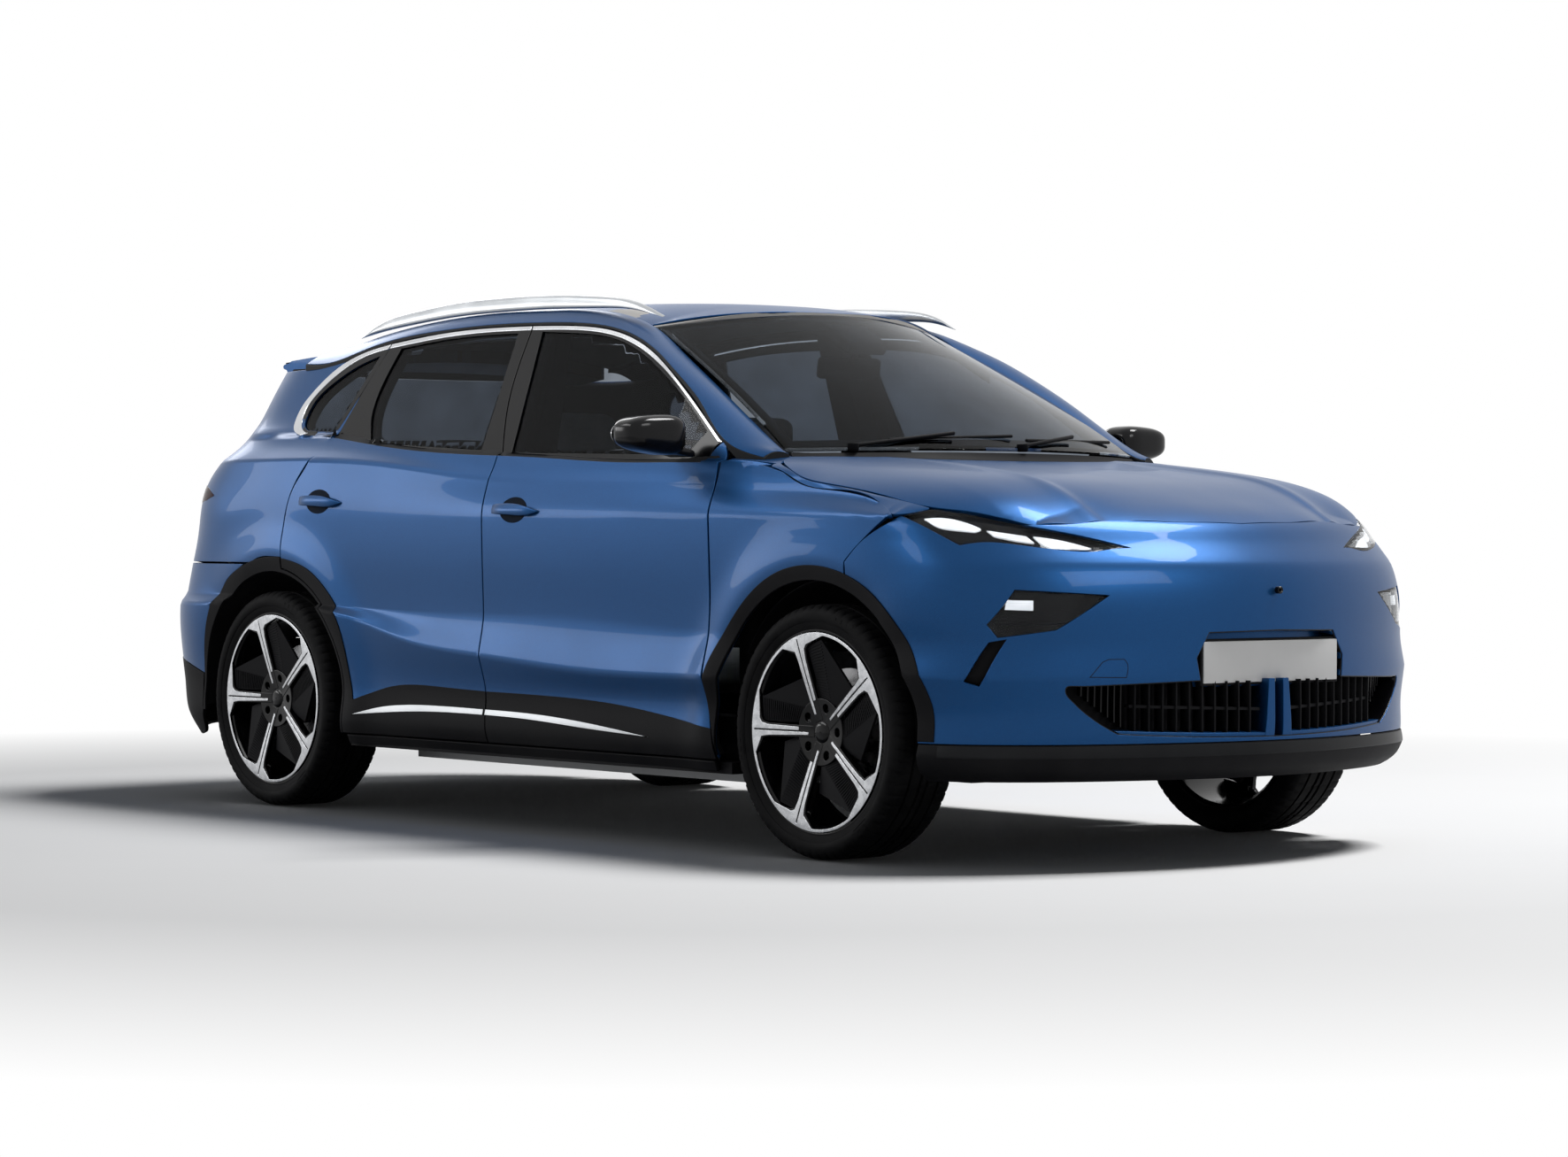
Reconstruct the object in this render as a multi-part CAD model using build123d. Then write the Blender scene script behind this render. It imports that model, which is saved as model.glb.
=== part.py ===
from build123d import *
import math
import os

import numpy as np

# Electric crossover car, millimetres. +X points forward, +Y to the car's left and +Z up.
# The origin is on the ground, half way along the car. Pieces are made on the left, and mirrored.

# Overall sizes
LENGTH = 4476.0
WHEELBASE = 2730.0
FRONT_AXLE_X = 1360.0
REAR_AXLE_X = FRONT_AXLE_X - WHEELBASE
NOSE_X = LENGTH / 2
TAIL_X = -LENGTH / 2

# How far cutting shapes reach at the nose, at its mouth and at the tail
NOSE_NEAR = NOSE_X - 738
NOSE_FAR = NOSE_X + 62
MOUTH_NEAR = NOSE_X - 338
TAIL_NEAR = TAIL_X + 738
TAIL_FAR = TAIL_X - 162

# Wheels
TYRE_RADIUS = 348.0
TYRE_WIDTH = 225.0
RIM_RADIUS = 279.0
RIM_WALL = 12.0
WHEEL_Y = 790.0
SPOKE_COUNT = 5
SPINDLE_RADIUS = 22.0
SPINDLE_GAP = 0.3
HUB_RADIUS = 72.0
BRAKE_DISC_RADIUS = 172.0
KINGPIN_Y = 690.0
ARCH_RADIUS = 414.0
LINER_GAP = 6.0
LINER_WALL = 4.0
LINER_INNER_Y = 430.0

# Body walls and gaps
SHUT_GAP = 6.0
SKIN = 22.0
DOOR_DEPTH = 62.0
DOOR_STEP = 13.0
CORE_SINK = 10.0
GLASS_SINK = 6.0
GLASS_THICKNESS = 5.0
GLASS_GAP = 0.4
SEAT_GAP = 0.4
PANEL = 20.0

# Heights
SILL_Z = 215.0
DOOR_BOTTOM_Z = 258.0
LIP_TOP_Z = 335.0
BUMPER_BOTTOM_Z = 232.0
FLOOR_Z = 300.0
FLOOR_THICKNESS = 12.0
BATTERY_BOTTOM_Z = 172.0
BATTERY_X = (-912.0, 860.0)
BATTERY_HALF_WIDTH = 640.0
BOOT_FLOOR_Z = 640.0
TAILGATE_BOTTOM_Z = 735.0

os.makedirs("parts", exist_ok=True)


def spline(points):
    """A smooth curve through hand-set points, straight beyond both ends."""
    xs, ys = np.array(sorted(map(tuple, points)), float).T
    count = len(xs)
    step = np.diff(xs)
    slope = np.diff(ys) / step
    matrix = np.eye(count)
    right = np.zeros(count)
    for i in range(1, count - 1):
        matrix[i, i - 1 : i + 2] = step[i - 1], 2 * (step[i - 1] + step[i]), step[i]
        right[i] = 6 * (slope[i] - slope[i - 1])
    bend = np.linalg.solve(matrix, right)
    first = slope[0] - step[0] * bend[1] / 6
    last = slope[-1] + step[-1] * bend[-2] / 6

    def value(x):
        x = np.asarray(x, float)
        i = np.clip(np.searchsorted(xs, x) - 1, 0, count - 2)
        a = (xs[i + 1] - x) / step[i]
        b = 1 - a
        curved = a * ys[i] + b * ys[i + 1]
        curved = curved + ((a**3 - a) * bend[i] + (b**3 - b) * bend[i + 1]) * step[i] ** 2 / 6
        before = ys[0] + first * (x - xs[0])
        after = ys[-1] + last * (x - xs[-1])
        return np.where(x < xs[0], before, np.where(x > xs[-1], after, curved))

    return value


def section(heights, widths, z):
    """A body section: a curve that never swings past its own points."""
    z = np.asarray(z, float)
    heights = [np.broadcast_to(h, z.shape).astype(float) for h in heights]
    widths = [np.broadcast_to(w, z.shape).astype(float) for w in widths]
    step = [b - a for a, b in zip(heights, heights[1:])]
    slope = [(b - a) / s for a, b, s in zip(widths, widths[1:], step)]
    bend = [slope[0]]
    for a, b in zip(slope, slope[1:]):
        total = np.where(a + b == 0, 1, a + b)
        bend.append(np.where(a * b > 0, 2 * a * b / total, 0))
    bend.append(slope[-1])
    result = widths[0] + slope[0] * (z - heights[0])
    for i, s in enumerate(step):
        t = (z - heights[i]) / s
        start = (2 * t**3 - 3 * t**2 + 1) * widths[i] + (t**3 - 2 * t**2 + t) * s * bend[i]
        end = (3 * t**2 - 2 * t**3) * widths[i + 1] + (t**3 - t**2) * s * bend[i + 1]
        result = np.where(z >= heights[i], start + end, result)
    return np.where(z > heights[-1], widths[-1] + bend[-1] * (z - heights[-1]), result)


# The lines that run along the body side: height or half width against x
belt_z = spline([(-1600, 1240), (-1200, 1204), (-772, 1158), (-387, 1133), (0, 1118), (416, 1098),
                 (900, 1090), (1250, 1062)])
belt_y = spline([(-1600, 775), (-1200, 800), (-800, 822), (-400, 832), (0, 836), (500, 836),
                 (900, 838), (1250, 835)])
shoulder_z = spline([(-1950, 1100), (-1650, 1123), (-1320, 1121), (-1000, 1116), (-560, 1084),
                     (-230, 1053), (440, 1034), (850, 1024), (1360, 1000), (1800, 935)])
shoulder_y = spline([(-1950, 820), (-1500, 872), (-1000, 872), (-500, 864), (0, 862), (500, 860),
                     (907, 856), (1360, 850), (1800, 862)])
crease_z = spline([(-1900, 640), (-836, 614), (-616, 563), (-164, 517), (298, 487), (851, 486),
                   (1800, 520)])
catch_z = spline([(-1900, 700), (-695, 650), (-196, 650), (267, 650), (647, 630), (1800, 610)])
swell_y = spline([(-1950, -12), (-1370, 8), (-900, 2), (0, 0), (900, 2), (1360, 8), (1800, 4)])

# The nose and the tail: x of the centreline against height, and how far the plan falls back
front_x = spline([(200, -75), (250, -40), (300, -14), (344, -3), (420, 0), (547, -3), (660, -11),
                  (737, -22), (801, -51), (872, -105), (922, -150), (985, -278), (1030, -438),
                  (1062, -638)])
rear_x = spline([(200, 86), (300, 36), (420, 3), (530, 0), (650, 12), (760, 40), (850, 70),
                 (950, 88), (1040, 108), (1090, 150), (1140, 215), (1300, 290), (1450, 350)])
FRONT_PLAN = ((0, 0), (-25, 250), (-103, 520), (-226, 745), (-345, 848), (-545, 905), (-700, 905))
REAR_PLAN = ((0, 0), (16, 250), (58, 500), (125, 720), (250, 850), (480, 905), (640, 905))

CREASE_Y, CATCH_Y, WAIST_Y, UPPER_Y = 912.0, 889.0, 892.0, 889.0
SILL_Y, CLADDING_Y, CLADDING_TOP_Y = 870.0, 902.0, 892.0
FLARE = 16.0


def glass_y(x, z):
    """Half width of the side windows' surface, which leans in and tapers to both ends."""
    rear = np.where(x < -1300, ((-1300 - x) / 450.0) ** 2 * 45, 0)
    front = np.where(x > 500, ((x - 500) / 500.0) ** 2 * 42, 0)
    return 1290 - 0.42 * z - rear - front


def side_y(x, z):
    """Half width of the whole body side at length x and height z."""
    x, z = np.broadcast_arrays(np.asarray(x, float), np.asarray(z, float))
    swell = swell_y(x)
    belt, shoulder, crease, catch = belt_z(x), shoulder_z(x), crease_z(x), catch_z(x)
    low = section([200, 300, 405, crease],
                  [SILL_Y + swell, CLADDING_Y + swell, CLADDING_TOP_Y + swell, CREASE_Y + swell], z)
    middle = section([crease, catch, 800, 930, shoulder],
                     [CREASE_Y + swell, CATCH_Y + swell, WAIST_Y + swell, UPPER_Y + swell,
                      shoulder_y(x)], z)
    ledge = 0.42 * shoulder_y(x) + 0.58 * belt_y(x)
    top = section([shoulder, 0.5 * (shoulder + belt), belt], [shoulder_y(x), ledge, belt_y(x)], z)
    body = np.where(z < crease, low, np.where(z < shoulder, middle, top))
    for axle in (FRONT_AXLE_X, REAR_AXLE_X + 25):
        ring = np.hypot(x - axle, z - TYRE_RADIUS)
        fade = np.clip((shoulder - z) / 120.0, 0, 1)
        body = body + fade * FLARE * np.exp(-(((ring - ARCH_RADIUS - 56) / 75.0) ** 2))
    return np.where(z > belt, glass_y(x, z), body)


def corner_points(z, end, count, reach=None):
    """Points of the plan curve at height z, from the centreline round to the side at x = reach."""
    plan = FRONT_PLAN if end > 0 else REAR_PLAN
    tip = NOSE_X + float(front_x(z)) if end > 0 else TAIL_X + float(rear_x(z))
    width = float(side_y(tip + plan[5][0], z)) / 905.0
    points = [(tip + back, half * width) for back, half in plan[:5]]
    points += [(tip + back, float(side_y(tip + back, z))) for back, _ in plan[5:]]
    if reach is not None:
        stations = np.linspace(points[-1][0], reach, 6)[1:]
        points += [(float(x), float(side_y(x, z))) for x in stations]
    points = np.array([(points[1][0], -points[1][1])] + points)
    along = np.concatenate([[0], np.cumsum(np.hypot(*np.diff(points, axis=0).T))])
    at = np.linspace(along[1], along[-1], count)
    xs = spline(np.c_[along, points[:, 0]])(at)
    ys = spline(np.c_[along, points[:, 1]])(at)
    return [(float(x), float(y), z) for x, y in zip(xs, ys)]


def slab(rows, shift):
    """A curved sheet: smooth rows of points, each carried through the wall by the same shift."""
    wires = []
    for row in rows:
        outer = [Vector(*[float(value) for value in point]) for point in row]
        inner = [point + Vector(*shift) for point in outer]
        wires.append(Wire([Edge.make_spline(outer), Edge.make_line(outer[-1], inner[-1]),
                           Edge.make_spline(inner[::-1]), Edge.make_line(inner[0], outer[0])]))
    return Solid.make_loft(wires)


def prism(face, direction):
    """The solid that a face sweeps along a straight direction."""
    return Solid.extrude(face, Vector(*direction))


def block(x, y, z):
    """A box between pairs of limits."""
    size = [max(pair) - min(pair) for pair in (x, y, z)]
    return Solid.make_box(*size, Plane((min(x), min(y), min(z))))


def tube_y(radius, y, x, z):
    """A cylinder that lies along Y between two places."""
    return Solid.make_cylinder(radius, max(y) - min(y), Plane((x, min(y), z), z_dir=(0, 1, 0)))


def rod(start, end, radius):
    """A round rod from one point to another."""
    along = Vector(*end) - Vector(*start)
    return Solid.make_cylinder(radius, along.length, Plane(Vector(*start), z_dir=along))


def outline(parts, place):
    """A closed flat face: each part is a run of points, smooth when it has three or more."""
    edges = []
    last = None
    for run in parts:
        points = [Vector(*place(a, b)) for a, b in run]
        if last is not None and (points[0] - last).length > 0.01:
            edges.append(Edge.make_line(last, points[0]))
        if len(points) == 2:
            edges.append(Edge.make_line(*points))
        else:
            edges.append(Edge.make_spline(points))
        last = points[-1]
    start = Vector(*place(*parts[0][0]))
    if (start - last).length > 0.01:
        edges.append(Edge.make_line(last, start))
    return Face(Wire(edges))


def side_prism(parts, near=400.0, far=1100.0):
    """An outline seen from the side, as a solid along Y."""
    return prism(outline(parts, lambda x, z: (x, near, z)), (0, far - near, 0))


def plan_prism(parts, low, high):
    """An outline seen from above, as a solid along Z."""
    return prism(outline(parts, lambda x, y: (x, y, low)), (0, 0, high - low))


def front_prism(parts, near, far):
    """An outline seen from the front, as a solid along X."""
    return prism(outline(parts, lambda y, z: (near, y, z)), (far - near, 0, 0))


def side_slab(x, z, depth, sink=0.0):
    """Part of the body side, as thick as depth, with its face sunk inwards."""
    rows = []
    for at in np.linspace(x[0], x[1], max(3, round((x[1] - x[0]) / 300) + 1)):
        belt = float(belt_z(at))
        lines = [SILL_Z, 300, 405, float(crease_z(at)), float(catch_z(at)) + 20, 800, 930,
                 float(shoulder_z(at)), belt - 4, belt + 6, 1250, 1400, 1560]
        heights = [z[0]] + [line for line in lines if z[0] + 15 < line < z[1] - 15] + [z[1]]
        rows.append([(at, side_y(at, height) - sink, height) for height in heights])
    return slab(rows, (0, -depth, 0))


def corner_slab(z, end, depth, reach=None, count=18):
    """Half of a wrap round the nose or the tail, from the centreline to the side."""
    rows = [corner_points(float(height), end, count, reach)
            for height in np.linspace(z[0], z[1], max(4, int((z[1] - z[0]) / 45)))]
    return slab(rows, (-end * depth, -depth, 0)) & block((-3000, 3000), (0, 1200), (0, 2000))


def both(left):
    """A left piece and its mirror image."""
    return [left, mirror(left, Plane.XZ)]


def one(shape):
    """The largest solid of a shape."""
    return max(shape.solids(), key=lambda solid: solid.volume)


def write(name, *shapes):
    """Writes one named piece."""
    solids = [solid for shape in shapes for solid in shape.solids()]
    shape = solids[0] if len(solids) == 1 else Compound(solids)
    export_step(shape, f"parts/{name}.step")


def write_pair(name, left):
    """Writes a left piece and its right mirror image under two names."""
    write(f"{name}_left", left)
    write(f"{name}_right", mirror(left, Plane.XZ))


# Door and window outlines, seen from the side
DOOR_FRONT = [(955, DOOR_BOTTOM_Z), (920, 398), (906, 596), (897, 844), (880, 1018), (868, 1112)]
DOOR_MIDDLE = [(-194, 1125), (-205, 1013), (-197, 839), (-192, 625), (-177, 412),
               (-158, DOOR_BOTTOM_Z)]
CHROME = [(838, 1148), (686, 1248), (512, 1356), (369, 1429), (188, 1486), (-47, 1514),
          (-263, 1522)]
CHROME_REAR = [(-263, 1522), (-512, 1524), (-748, 1516), (-1010, 1494)]
REAR_DOOR_BACK = [(-1010, 1494), (-1060, 1400), (-1145, 1196)]
REAR_DOOR_TAIL = [(-1145, 1196), (-1175, 1119), (-1250, 1030), (-1282, 940), (-1285, 860),
                  (-1276, 776)]
FRONT_DOOR = [DOOR_FRONT, [(868, 1112), (838, 1148)], CHROME, [(-263, 1522), (-258, 1298), (-194, 1125)],
              DOOR_MIDDLE, [(-158, DOOR_BOTTOM_Z), (955, DOOR_BOTTOM_Z)]]
FRONT_WINDOW = [[(700, 1112), (755, 1178)], [(755, 1178), (661, 1244), (483, 1349), (347, 1414),
                (187, 1465), (-35, 1492), (-205, 1502)], [(-205, 1502), (-150, 1130)],
                [(-150, 1130), (700, 1112)]]
REAR_WINDOW = [[(-312, 1140), (-330, 1502)], [(-330, 1502), (-600, 1501), (-732, 1495),
               (-950, 1476)], [(-950, 1476), (-986, 1262), (-934, 1172)],
               [(-934, 1172), (-312, 1140)]]
QUARTER_WINDOW = [[(-1172, 1212), (-1056, 1456)], [(-1056, 1456), (-1167, 1425), (-1286, 1367),
                  (-1358, 1291), (-1354, 1244), (-1310, 1218)], [(-1310, 1218), (-1172, 1212)]]


def shrink(runs, amount):
    """The same closed outline, smaller all round by a set amount."""
    loop = [np.array(run, float) for run in runs]
    closed = np.vstack([run[:-1] for run in loop])
    ahead = np.roll(closed, -1, axis=0)
    area = np.sum(closed[:, 0] * ahead[:, 1] - closed[:, 1] * ahead[:, 0])
    turn = amount if area > 0 else -amount
    moved, directions = [], []
    for run in loop:
        tangent = np.gradient(run, axis=0)
        tangent = tangent / np.linalg.norm(tangent, axis=1)[:, None]
        moved.append(run + turn * np.c_[-tangent[:, 1], tangent[:, 0]])
        directions.append(tangent)
    for i in range(len(moved)):
        j = (i + 1) % len(moved)
        ends = np.c_[directions[i][-1], -directions[j][0]]
        if abs(np.linalg.det(ends)) < 0.1:
            corner = (moved[i][-1] + moved[j][0]) / 2
        else:
            reach = np.linalg.solve(ends, moved[j][0] - moved[i][-1])
            corner = moved[i][-1] + reach[0] * directions[i][-1]
        moved[i][-1] = corner
        moved[j][0] = corner
    return [[tuple(point) for point in run] for run in moved]


def door_solid(runs, window, x, cuts=()):
    """A door: an outer skin to its full outline, and a thicker inside set in all round."""
    z = (DOOR_BOTTOM_Z - 8, 1560)
    skin = side_slab(x, z, SKIN) & side_prism(shrink(runs, SHUT_GAP / 2))
    core = side_slab(x, z, DOOR_DEPTH - CORE_SINK, CORE_SINK)
    core = core & side_prism(shrink(runs, SHUT_GAP / 2 + DOOR_STEP))
    door = skin + core
    door = door - side_prism(window)
    for cut in cuts:
        door = door - cut
    return one(door)


def window_glass(window, x, z=(1080, 1540)):
    """A pane that sits in its frame, a little below the outer surface."""
    pane = side_slab(x, z, GLASS_THICKNESS, GLASS_SINK)
    return one(pane & side_prism(shrink(window, GLASS_GAP)))


def arch_cut(axle, radius, near=LINER_INNER_Y):
    """The round space of a wheel arch."""
    return tube_y(radius, (near, 1100), axle, TYRE_RADIUS)


# ---------------------------------------------------------------- doors
REAR_ARCH_X = REAR_AXLE_X + 25
ARCH_DOOR_RADIUS = ARCH_RADIUS + 14
REAR_DOOR = [DOOR_MIDDLE[::-1], [(-194, 1125), (-258, 1298), (-263, 1522)], CHROME_REAR,
             REAR_DOOR_BACK, REAR_DOOR_TAIL, [(-1276, 776), (-1276, 640)],
             [(-1276, 640), (-870, DOOR_BOTTOM_Z)], [(-870, DOOR_BOTTOM_Z), (-158, DOOR_BOTTOM_Z)]]
FRONT_DOOR_X = (-300, 990)
REAR_DOOR_X = (-1320, -120)
rear_arch_space = arch_cut(REAR_ARCH_X, ARCH_DOOR_RADIUS, 400)
front_door = door_solid(FRONT_DOOR, FRONT_WINDOW, FRONT_DOOR_X)
rear_door = door_solid(REAR_DOOR, REAR_WINDOW, REAR_DOOR_X, [rear_arch_space])
write_pair("front_door", front_door)
write_pair("rear_door", rear_door)
write_pair("front_door_glass", window_glass(FRONT_WINDOW, FRONT_DOOR_X))
write_pair("rear_door_glass", window_glass(REAR_WINDOW, REAR_DOOR_X))
quarter_glass = window_glass(QUARTER_WINDOW, (-1420, -1000))
write("quarter_glass", *both(quarter_glass))

# Door mirrors: a rounded housing on a short foot that stands on the door's belt
MIRROR_MIDDLE = (715.0, 965.0, 1168.0)
MIRROR_SIZE = (150.0, 205.0, 128.0)
housing = Solid.make_box(*MIRROR_SIZE, Plane([m - s / 2 for m, s in zip(MIRROR_MIDDLE, MIRROR_SIZE)]))
housing = housing.fillet(42, housing.edges())
FOOT_Z = (1084.0, 1094.0)
FOOT_X = (665.0, 785.0)
foot_y = max(float(side_y(x, z)) for x in FOOT_X for z in FOOT_Z) + 4


def foot_section(y, low, high):
    """One end of the mirror's foot."""
    return Wire.make_polygon([Vector(FOOT_X[0], y, low), Vector(FOOT_X[1], y, low),
                              Vector(FOOT_X[1], y, high), Vector(FOOT_X[0], y, high)])


foot = Solid.make_loft([foot_section(foot_y + SEAT_GAP, *FOOT_Z),
                        foot_section(MIRROR_MIDDLE[1] - 40, 1120, 1160)])
write_pair("door_mirror", one(housing + foot))

# ---------------------------------------------------------------- body side
def lean_section(x, y, z):
    """A flat rectangle at height z, for a leaning pillar."""
    return Wire.make_polygon([Vector(x[0], y[0], z), Vector(x[1], y[0], z), Vector(x[1], y[1], z),
                              Vector(x[0], y[1], z)])


def seal_pad(x, z, depth, root_y, half=12.0):
    """A block on the body that ends just inside a closed door's inner face."""
    reach = min(float(side_y(x + a, z + b)) for a in (-half, half) for b in (-half, half))
    return block((x - half, x + half), (root_y, reach - depth - SEAT_GAP), (z - half, z + half))


# The side frame: the sill, the post at the front hinges and the post between the doors
B_PILLAR_X = (-285.0, -150.0)
PILLAR_INNER_Y = 690.0
PILLAR_OUTER_Y = 812.0
SILL_REAR_X = -924.0
POST_TOP_Z = 1537.0
side_frame = block((SILL_REAR_X, 985), (PILLAR_INNER_Y, 805), (SILL_Z + 5, 370))
for piece in (
    block((SILL_REAR_X, 985), (PILLAR_INNER_Y, 880), (SILL_Z, 248)),
    block((925, 985), (PILLAR_INNER_Y, 775), (240, 1050)),
    block((880, 930), (PILLAR_INNER_Y, 768), (240, 1096.4)),
    block(B_PILLAR_X, (PILLAR_INNER_Y, PILLAR_OUTER_Y), (240, 900)),
    Solid.make_loft([lean_section(B_PILLAR_X, (PILLAR_INNER_Y, 800), 880),
                     lean_section((-315, -215), (530, 581), POST_TOP_Z)]),
    seal_pad(-235, 800, DOOR_DEPTH, PILLAR_OUTER_Y - 5),
    seal_pad(-168, 800, DOOR_DEPTH + 0.4, PILLAR_OUTER_Y - 5),
    seal_pad(968, 800, PANEL - 4.4, 770, 10.0),
):
    side_frame = side_frame + piece


def steering_space():
    """The space that a steered front tyre sweeps about its kingpin, with its clearance."""
    overhang = WHEEL_Y + TYRE_WIDTH / 2 - KINGPIN_Y
    points = [(0.0, TYRE_RADIUS * 2 + STEER_CLEARANCE)]
    for step in range(STEER_STEPS + 1):
        angle = math.pi * step / STEER_STEPS
        reach = math.hypot(TYRE_RADIUS * math.sin(angle), overhang) + STEER_CLEARANCE
        points.append((reach, TYRE_RADIUS + (TYRE_RADIUS + STEER_CLEARANCE) * math.cos(angle)))
    points.append((0.0, -STEER_CLEARANCE))
    wire = Wire.make_polygon([Vector(FRONT_AXLE_X + reach, KINGPIN_Y, z) for reach, z in points])
    return Solid.revolve(Face(wire), 360, Axis((FRONT_AXLE_X, KINGPIN_Y, 0), (0, 0, 1)))


STEER_CLEARANCE = 8.0
STEER_STEPS = 14
side_frame = one(side_frame - steering_space())

# The strip above the doors: from the windscreen pillar over the cant rail to the rear roof corner
STRIP_OUTER = [(995, 772, 1098), (880, 800, 1134), (697, 762, 1257), (520, 724, 1364),
               (375, 694, 1437), (188, 668, 1494), (-47, 656, 1522), (-263, 653, 1530),
               (-512, 652, 1532), (-748, 655, 1524), (-1010, 664, 1503), (-1167, 676, 1474),
               (-1330, 690, 1440), (-1480, 690, 1440)]
STRIP_INNER = [(1022, 705, 1110), (985, 692, 1120), (780, 655, 1222), (585, 618, 1322),
               (400, 584, 1416), (232, 574, 1506), (-20, 574, 1562), (-240, 580, 1572),
               (-480, 585, 1574), (-720, 585, 1568), (-980, 580, 1548), (-1140, 575, 1532),
               (-1320, 570, 1506), (-1480, 565, 1480)]
STRIP_DEPTH = 34.0
STRIP_BULGE = 13.0
strip_rows = []
for low, high in zip(STRIP_OUTER, STRIP_INNER):
    row = []
    for part in (0, 0.3, 0.7, 1):
        point = Vector(*low) * (1 - part) + Vector(*high) * part
        row.append((point.X, point.Y, point.Z + STRIP_BULGE * 4 * part * (1 - part)))
    strip_rows.append(row)
roof_strip = slab(strip_rows, (0, 0, -STRIP_DEPTH))

# The rear quarter: from the rear door back round the corner to the tail
QUARTER_DEPTH = 46.0
QUARTER_CORNER_Z = 787.8
TAIL_CUT_Y = 640.0
QUARTER_RUNS = [[(-1016, 1482), (-1060, 1400), (-1145, 1196)], REAR_DOOR_TAIL,
                [(-1276, 776), (-1276, 560)], [(-1276, 560), (-1600, 560)],
                [(-1600, 560), (-1600, QUARTER_CORNER_Z)],
                [(-1600, QUARTER_CORNER_Z), (TAIL_FAR, QUARTER_CORNER_Z)],
                [(TAIL_FAR, QUARTER_CORNER_Z), (TAIL_FAR, 1425)], [(TAIL_FAR, 1425), (-1600, 1425)],
                [(-1600, 1425), (-1330, 1430), (-1016, 1482)]]
STRIP_SEAT = 0.8
door_top = [[(x, z + SHUT_GAP / 2) for x, z in line] for line in (CHROME, CHROME_REAR)]
door_space = side_prism([[(900, 1100), door_top[0][0]], *door_top, [door_top[1][-1], (-1064, 1402)],
                         [(-1064, 1402), (-1064, 1000)], [(-1064, 1000), (900, 1000)],
                         [(900, 1000), (900, 1100)]], 592)
quarter_space = side_prism(shrink(QUARTER_RUNS, SHUT_GAP / 2 - STRIP_SEAT), 500)
for space in (door_space, quarter_space):
    roof_strip = roof_strip - space
write("roof_sides", *both(one(roof_strip)))
write_pair("side_frame", one(side_frame))

RING_WALL = 8.0
RING_REAR_X = -1596.0


def arch_ring(axle, x, y):
    """The inner edge of a wheel arch: a band round the arch between two planes of y."""
    ring = tube_y(ARCH_RADIUS + 4 + RING_WALL, y, axle, TYRE_RADIUS)
    ring = ring - tube_y(ARCH_RADIUS + 4, (y[0] - 5, y[1] + 5), axle, TYRE_RADIUS)
    return one(ring & block(x, (0, 1100), (FLOOR_Z + 75, 1400)))


quarter = corner_slab((540, 1470), -1, QUARTER_DEPTH, reach=-960, count=34)
quarter = one(quarter & side_prism(shrink(QUARTER_RUNS, SHUT_GAP / 2)))
quarter = quarter - block((TAIL_FAR, TAIL_NEAR), (-10, TAIL_CUT_Y), (500, 1500))
quarter = quarter - side_prism(QUARTER_WINDOW) - arch_cut(REAR_ARCH_X, ARCH_RADIUS + 4, 400)
quarter = one(quarter)
for ring in (arch_ring(REAR_ARCH_X, (RING_REAR_X, -500), (600, 820)),
             arch_ring(REAR_ARCH_X, (RING_REAR_X, -1305), (600, 870))):
    quarter = quarter + ring

# The lamps at the tail: one band, whose side ends stay on the body
TAIL_LAMP_Z = (985.0, 1045.0)
TAIL_LAMP_DEPTH = 24.0
TAIL_LAMP_FRONT_X = -1760.0
POCKET_EDGE = 2.0
band_z = (TAIL_LAMP_Z[0] - POCKET_EDGE, TAIL_LAMP_Z[1] + POCKET_EDGE)
tail_lamp_band = corner_slab(band_z, -1, TAIL_LAMP_DEPTH)
tail_lamp_band = tail_lamp_band & block((TAIL_FAR, TAIL_NEAR), (-10, 1000), TAIL_LAMP_Z)
lamp_pocket = corner_slab(band_z, -1, TAIL_LAMP_DEPTH + SEAT_GAP)
lamp_pocket = lamp_pocket + corner_slab(band_z, -1, -TAIL_LAMP_DEPTH)
side_lamp = tail_lamp_band & block((TAIL_FAR, TAIL_LAMP_FRONT_X), (TAIL_CUT_Y, 1000), (0, 2000))
write("tail_lamps", *both(one(side_lamp)))
side_pocket = block((TAIL_FAR, TAIL_LAMP_FRONT_X + POCKET_EDGE), (TAIL_CUT_Y - 5, 1000), (0, 2000))
quarter = one(quarter - (lamp_pocket & side_pocket))

# The charging flap in the left rear quarter, with its pocket
FLAP_X = (-1520.0, -1395.0)
FLAP_Z = (905.0, 1025.0)
FLAP_GAP = 5.0
FLAP_WALL = 8.0
POCKET_FLOOR_Y = 858.0
flap_space = block((FLAP_X[0] - FLAP_GAP, FLAP_X[1] + FLAP_GAP), (POCKET_FLOOR_Y, 1000),
                   (FLAP_Z[0] - FLAP_GAP, FLAP_Z[1] + FLAP_GAP))
flap_pad = seal_pad(-1505, 930, FLAP_WALL, POCKET_FLOOR_Y - 3, 6.0)
write("rear_quarter_left", one(one(quarter - flap_space) + flap_pad))
write("rear_quarter_right", mirror(quarter, Plane.XZ))
flap = side_slab((-1560, -1360), (880, 1050), FLAP_WALL) & block(FLAP_X, (700, 1000), FLAP_Z)
write("charge_flap", one(flap))

# ---------------------------------------------------------------- roof and screens
ROOF_GAP = 0.9
roof_z = spline([(400, 1556), (200, 1584), (0, 1597), (-400, 1600), (-800, 1590), (-1200, 1563),
                 (-1480, 1526)])
roof_edge_x, roof_edge_y, roof_edge_z = np.array(STRIP_INNER[5:], float).T
roof_half = spline(np.c_[roof_edge_x, roof_edge_y][::-1])
roof_side_z = spline(np.c_[roof_edge_x, roof_edge_z][::-1])
ROOF_FRONT_X, ROOF_CORNER_X, ROOF_REAR_X = 400.0, 232.0, -1480.0


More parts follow.
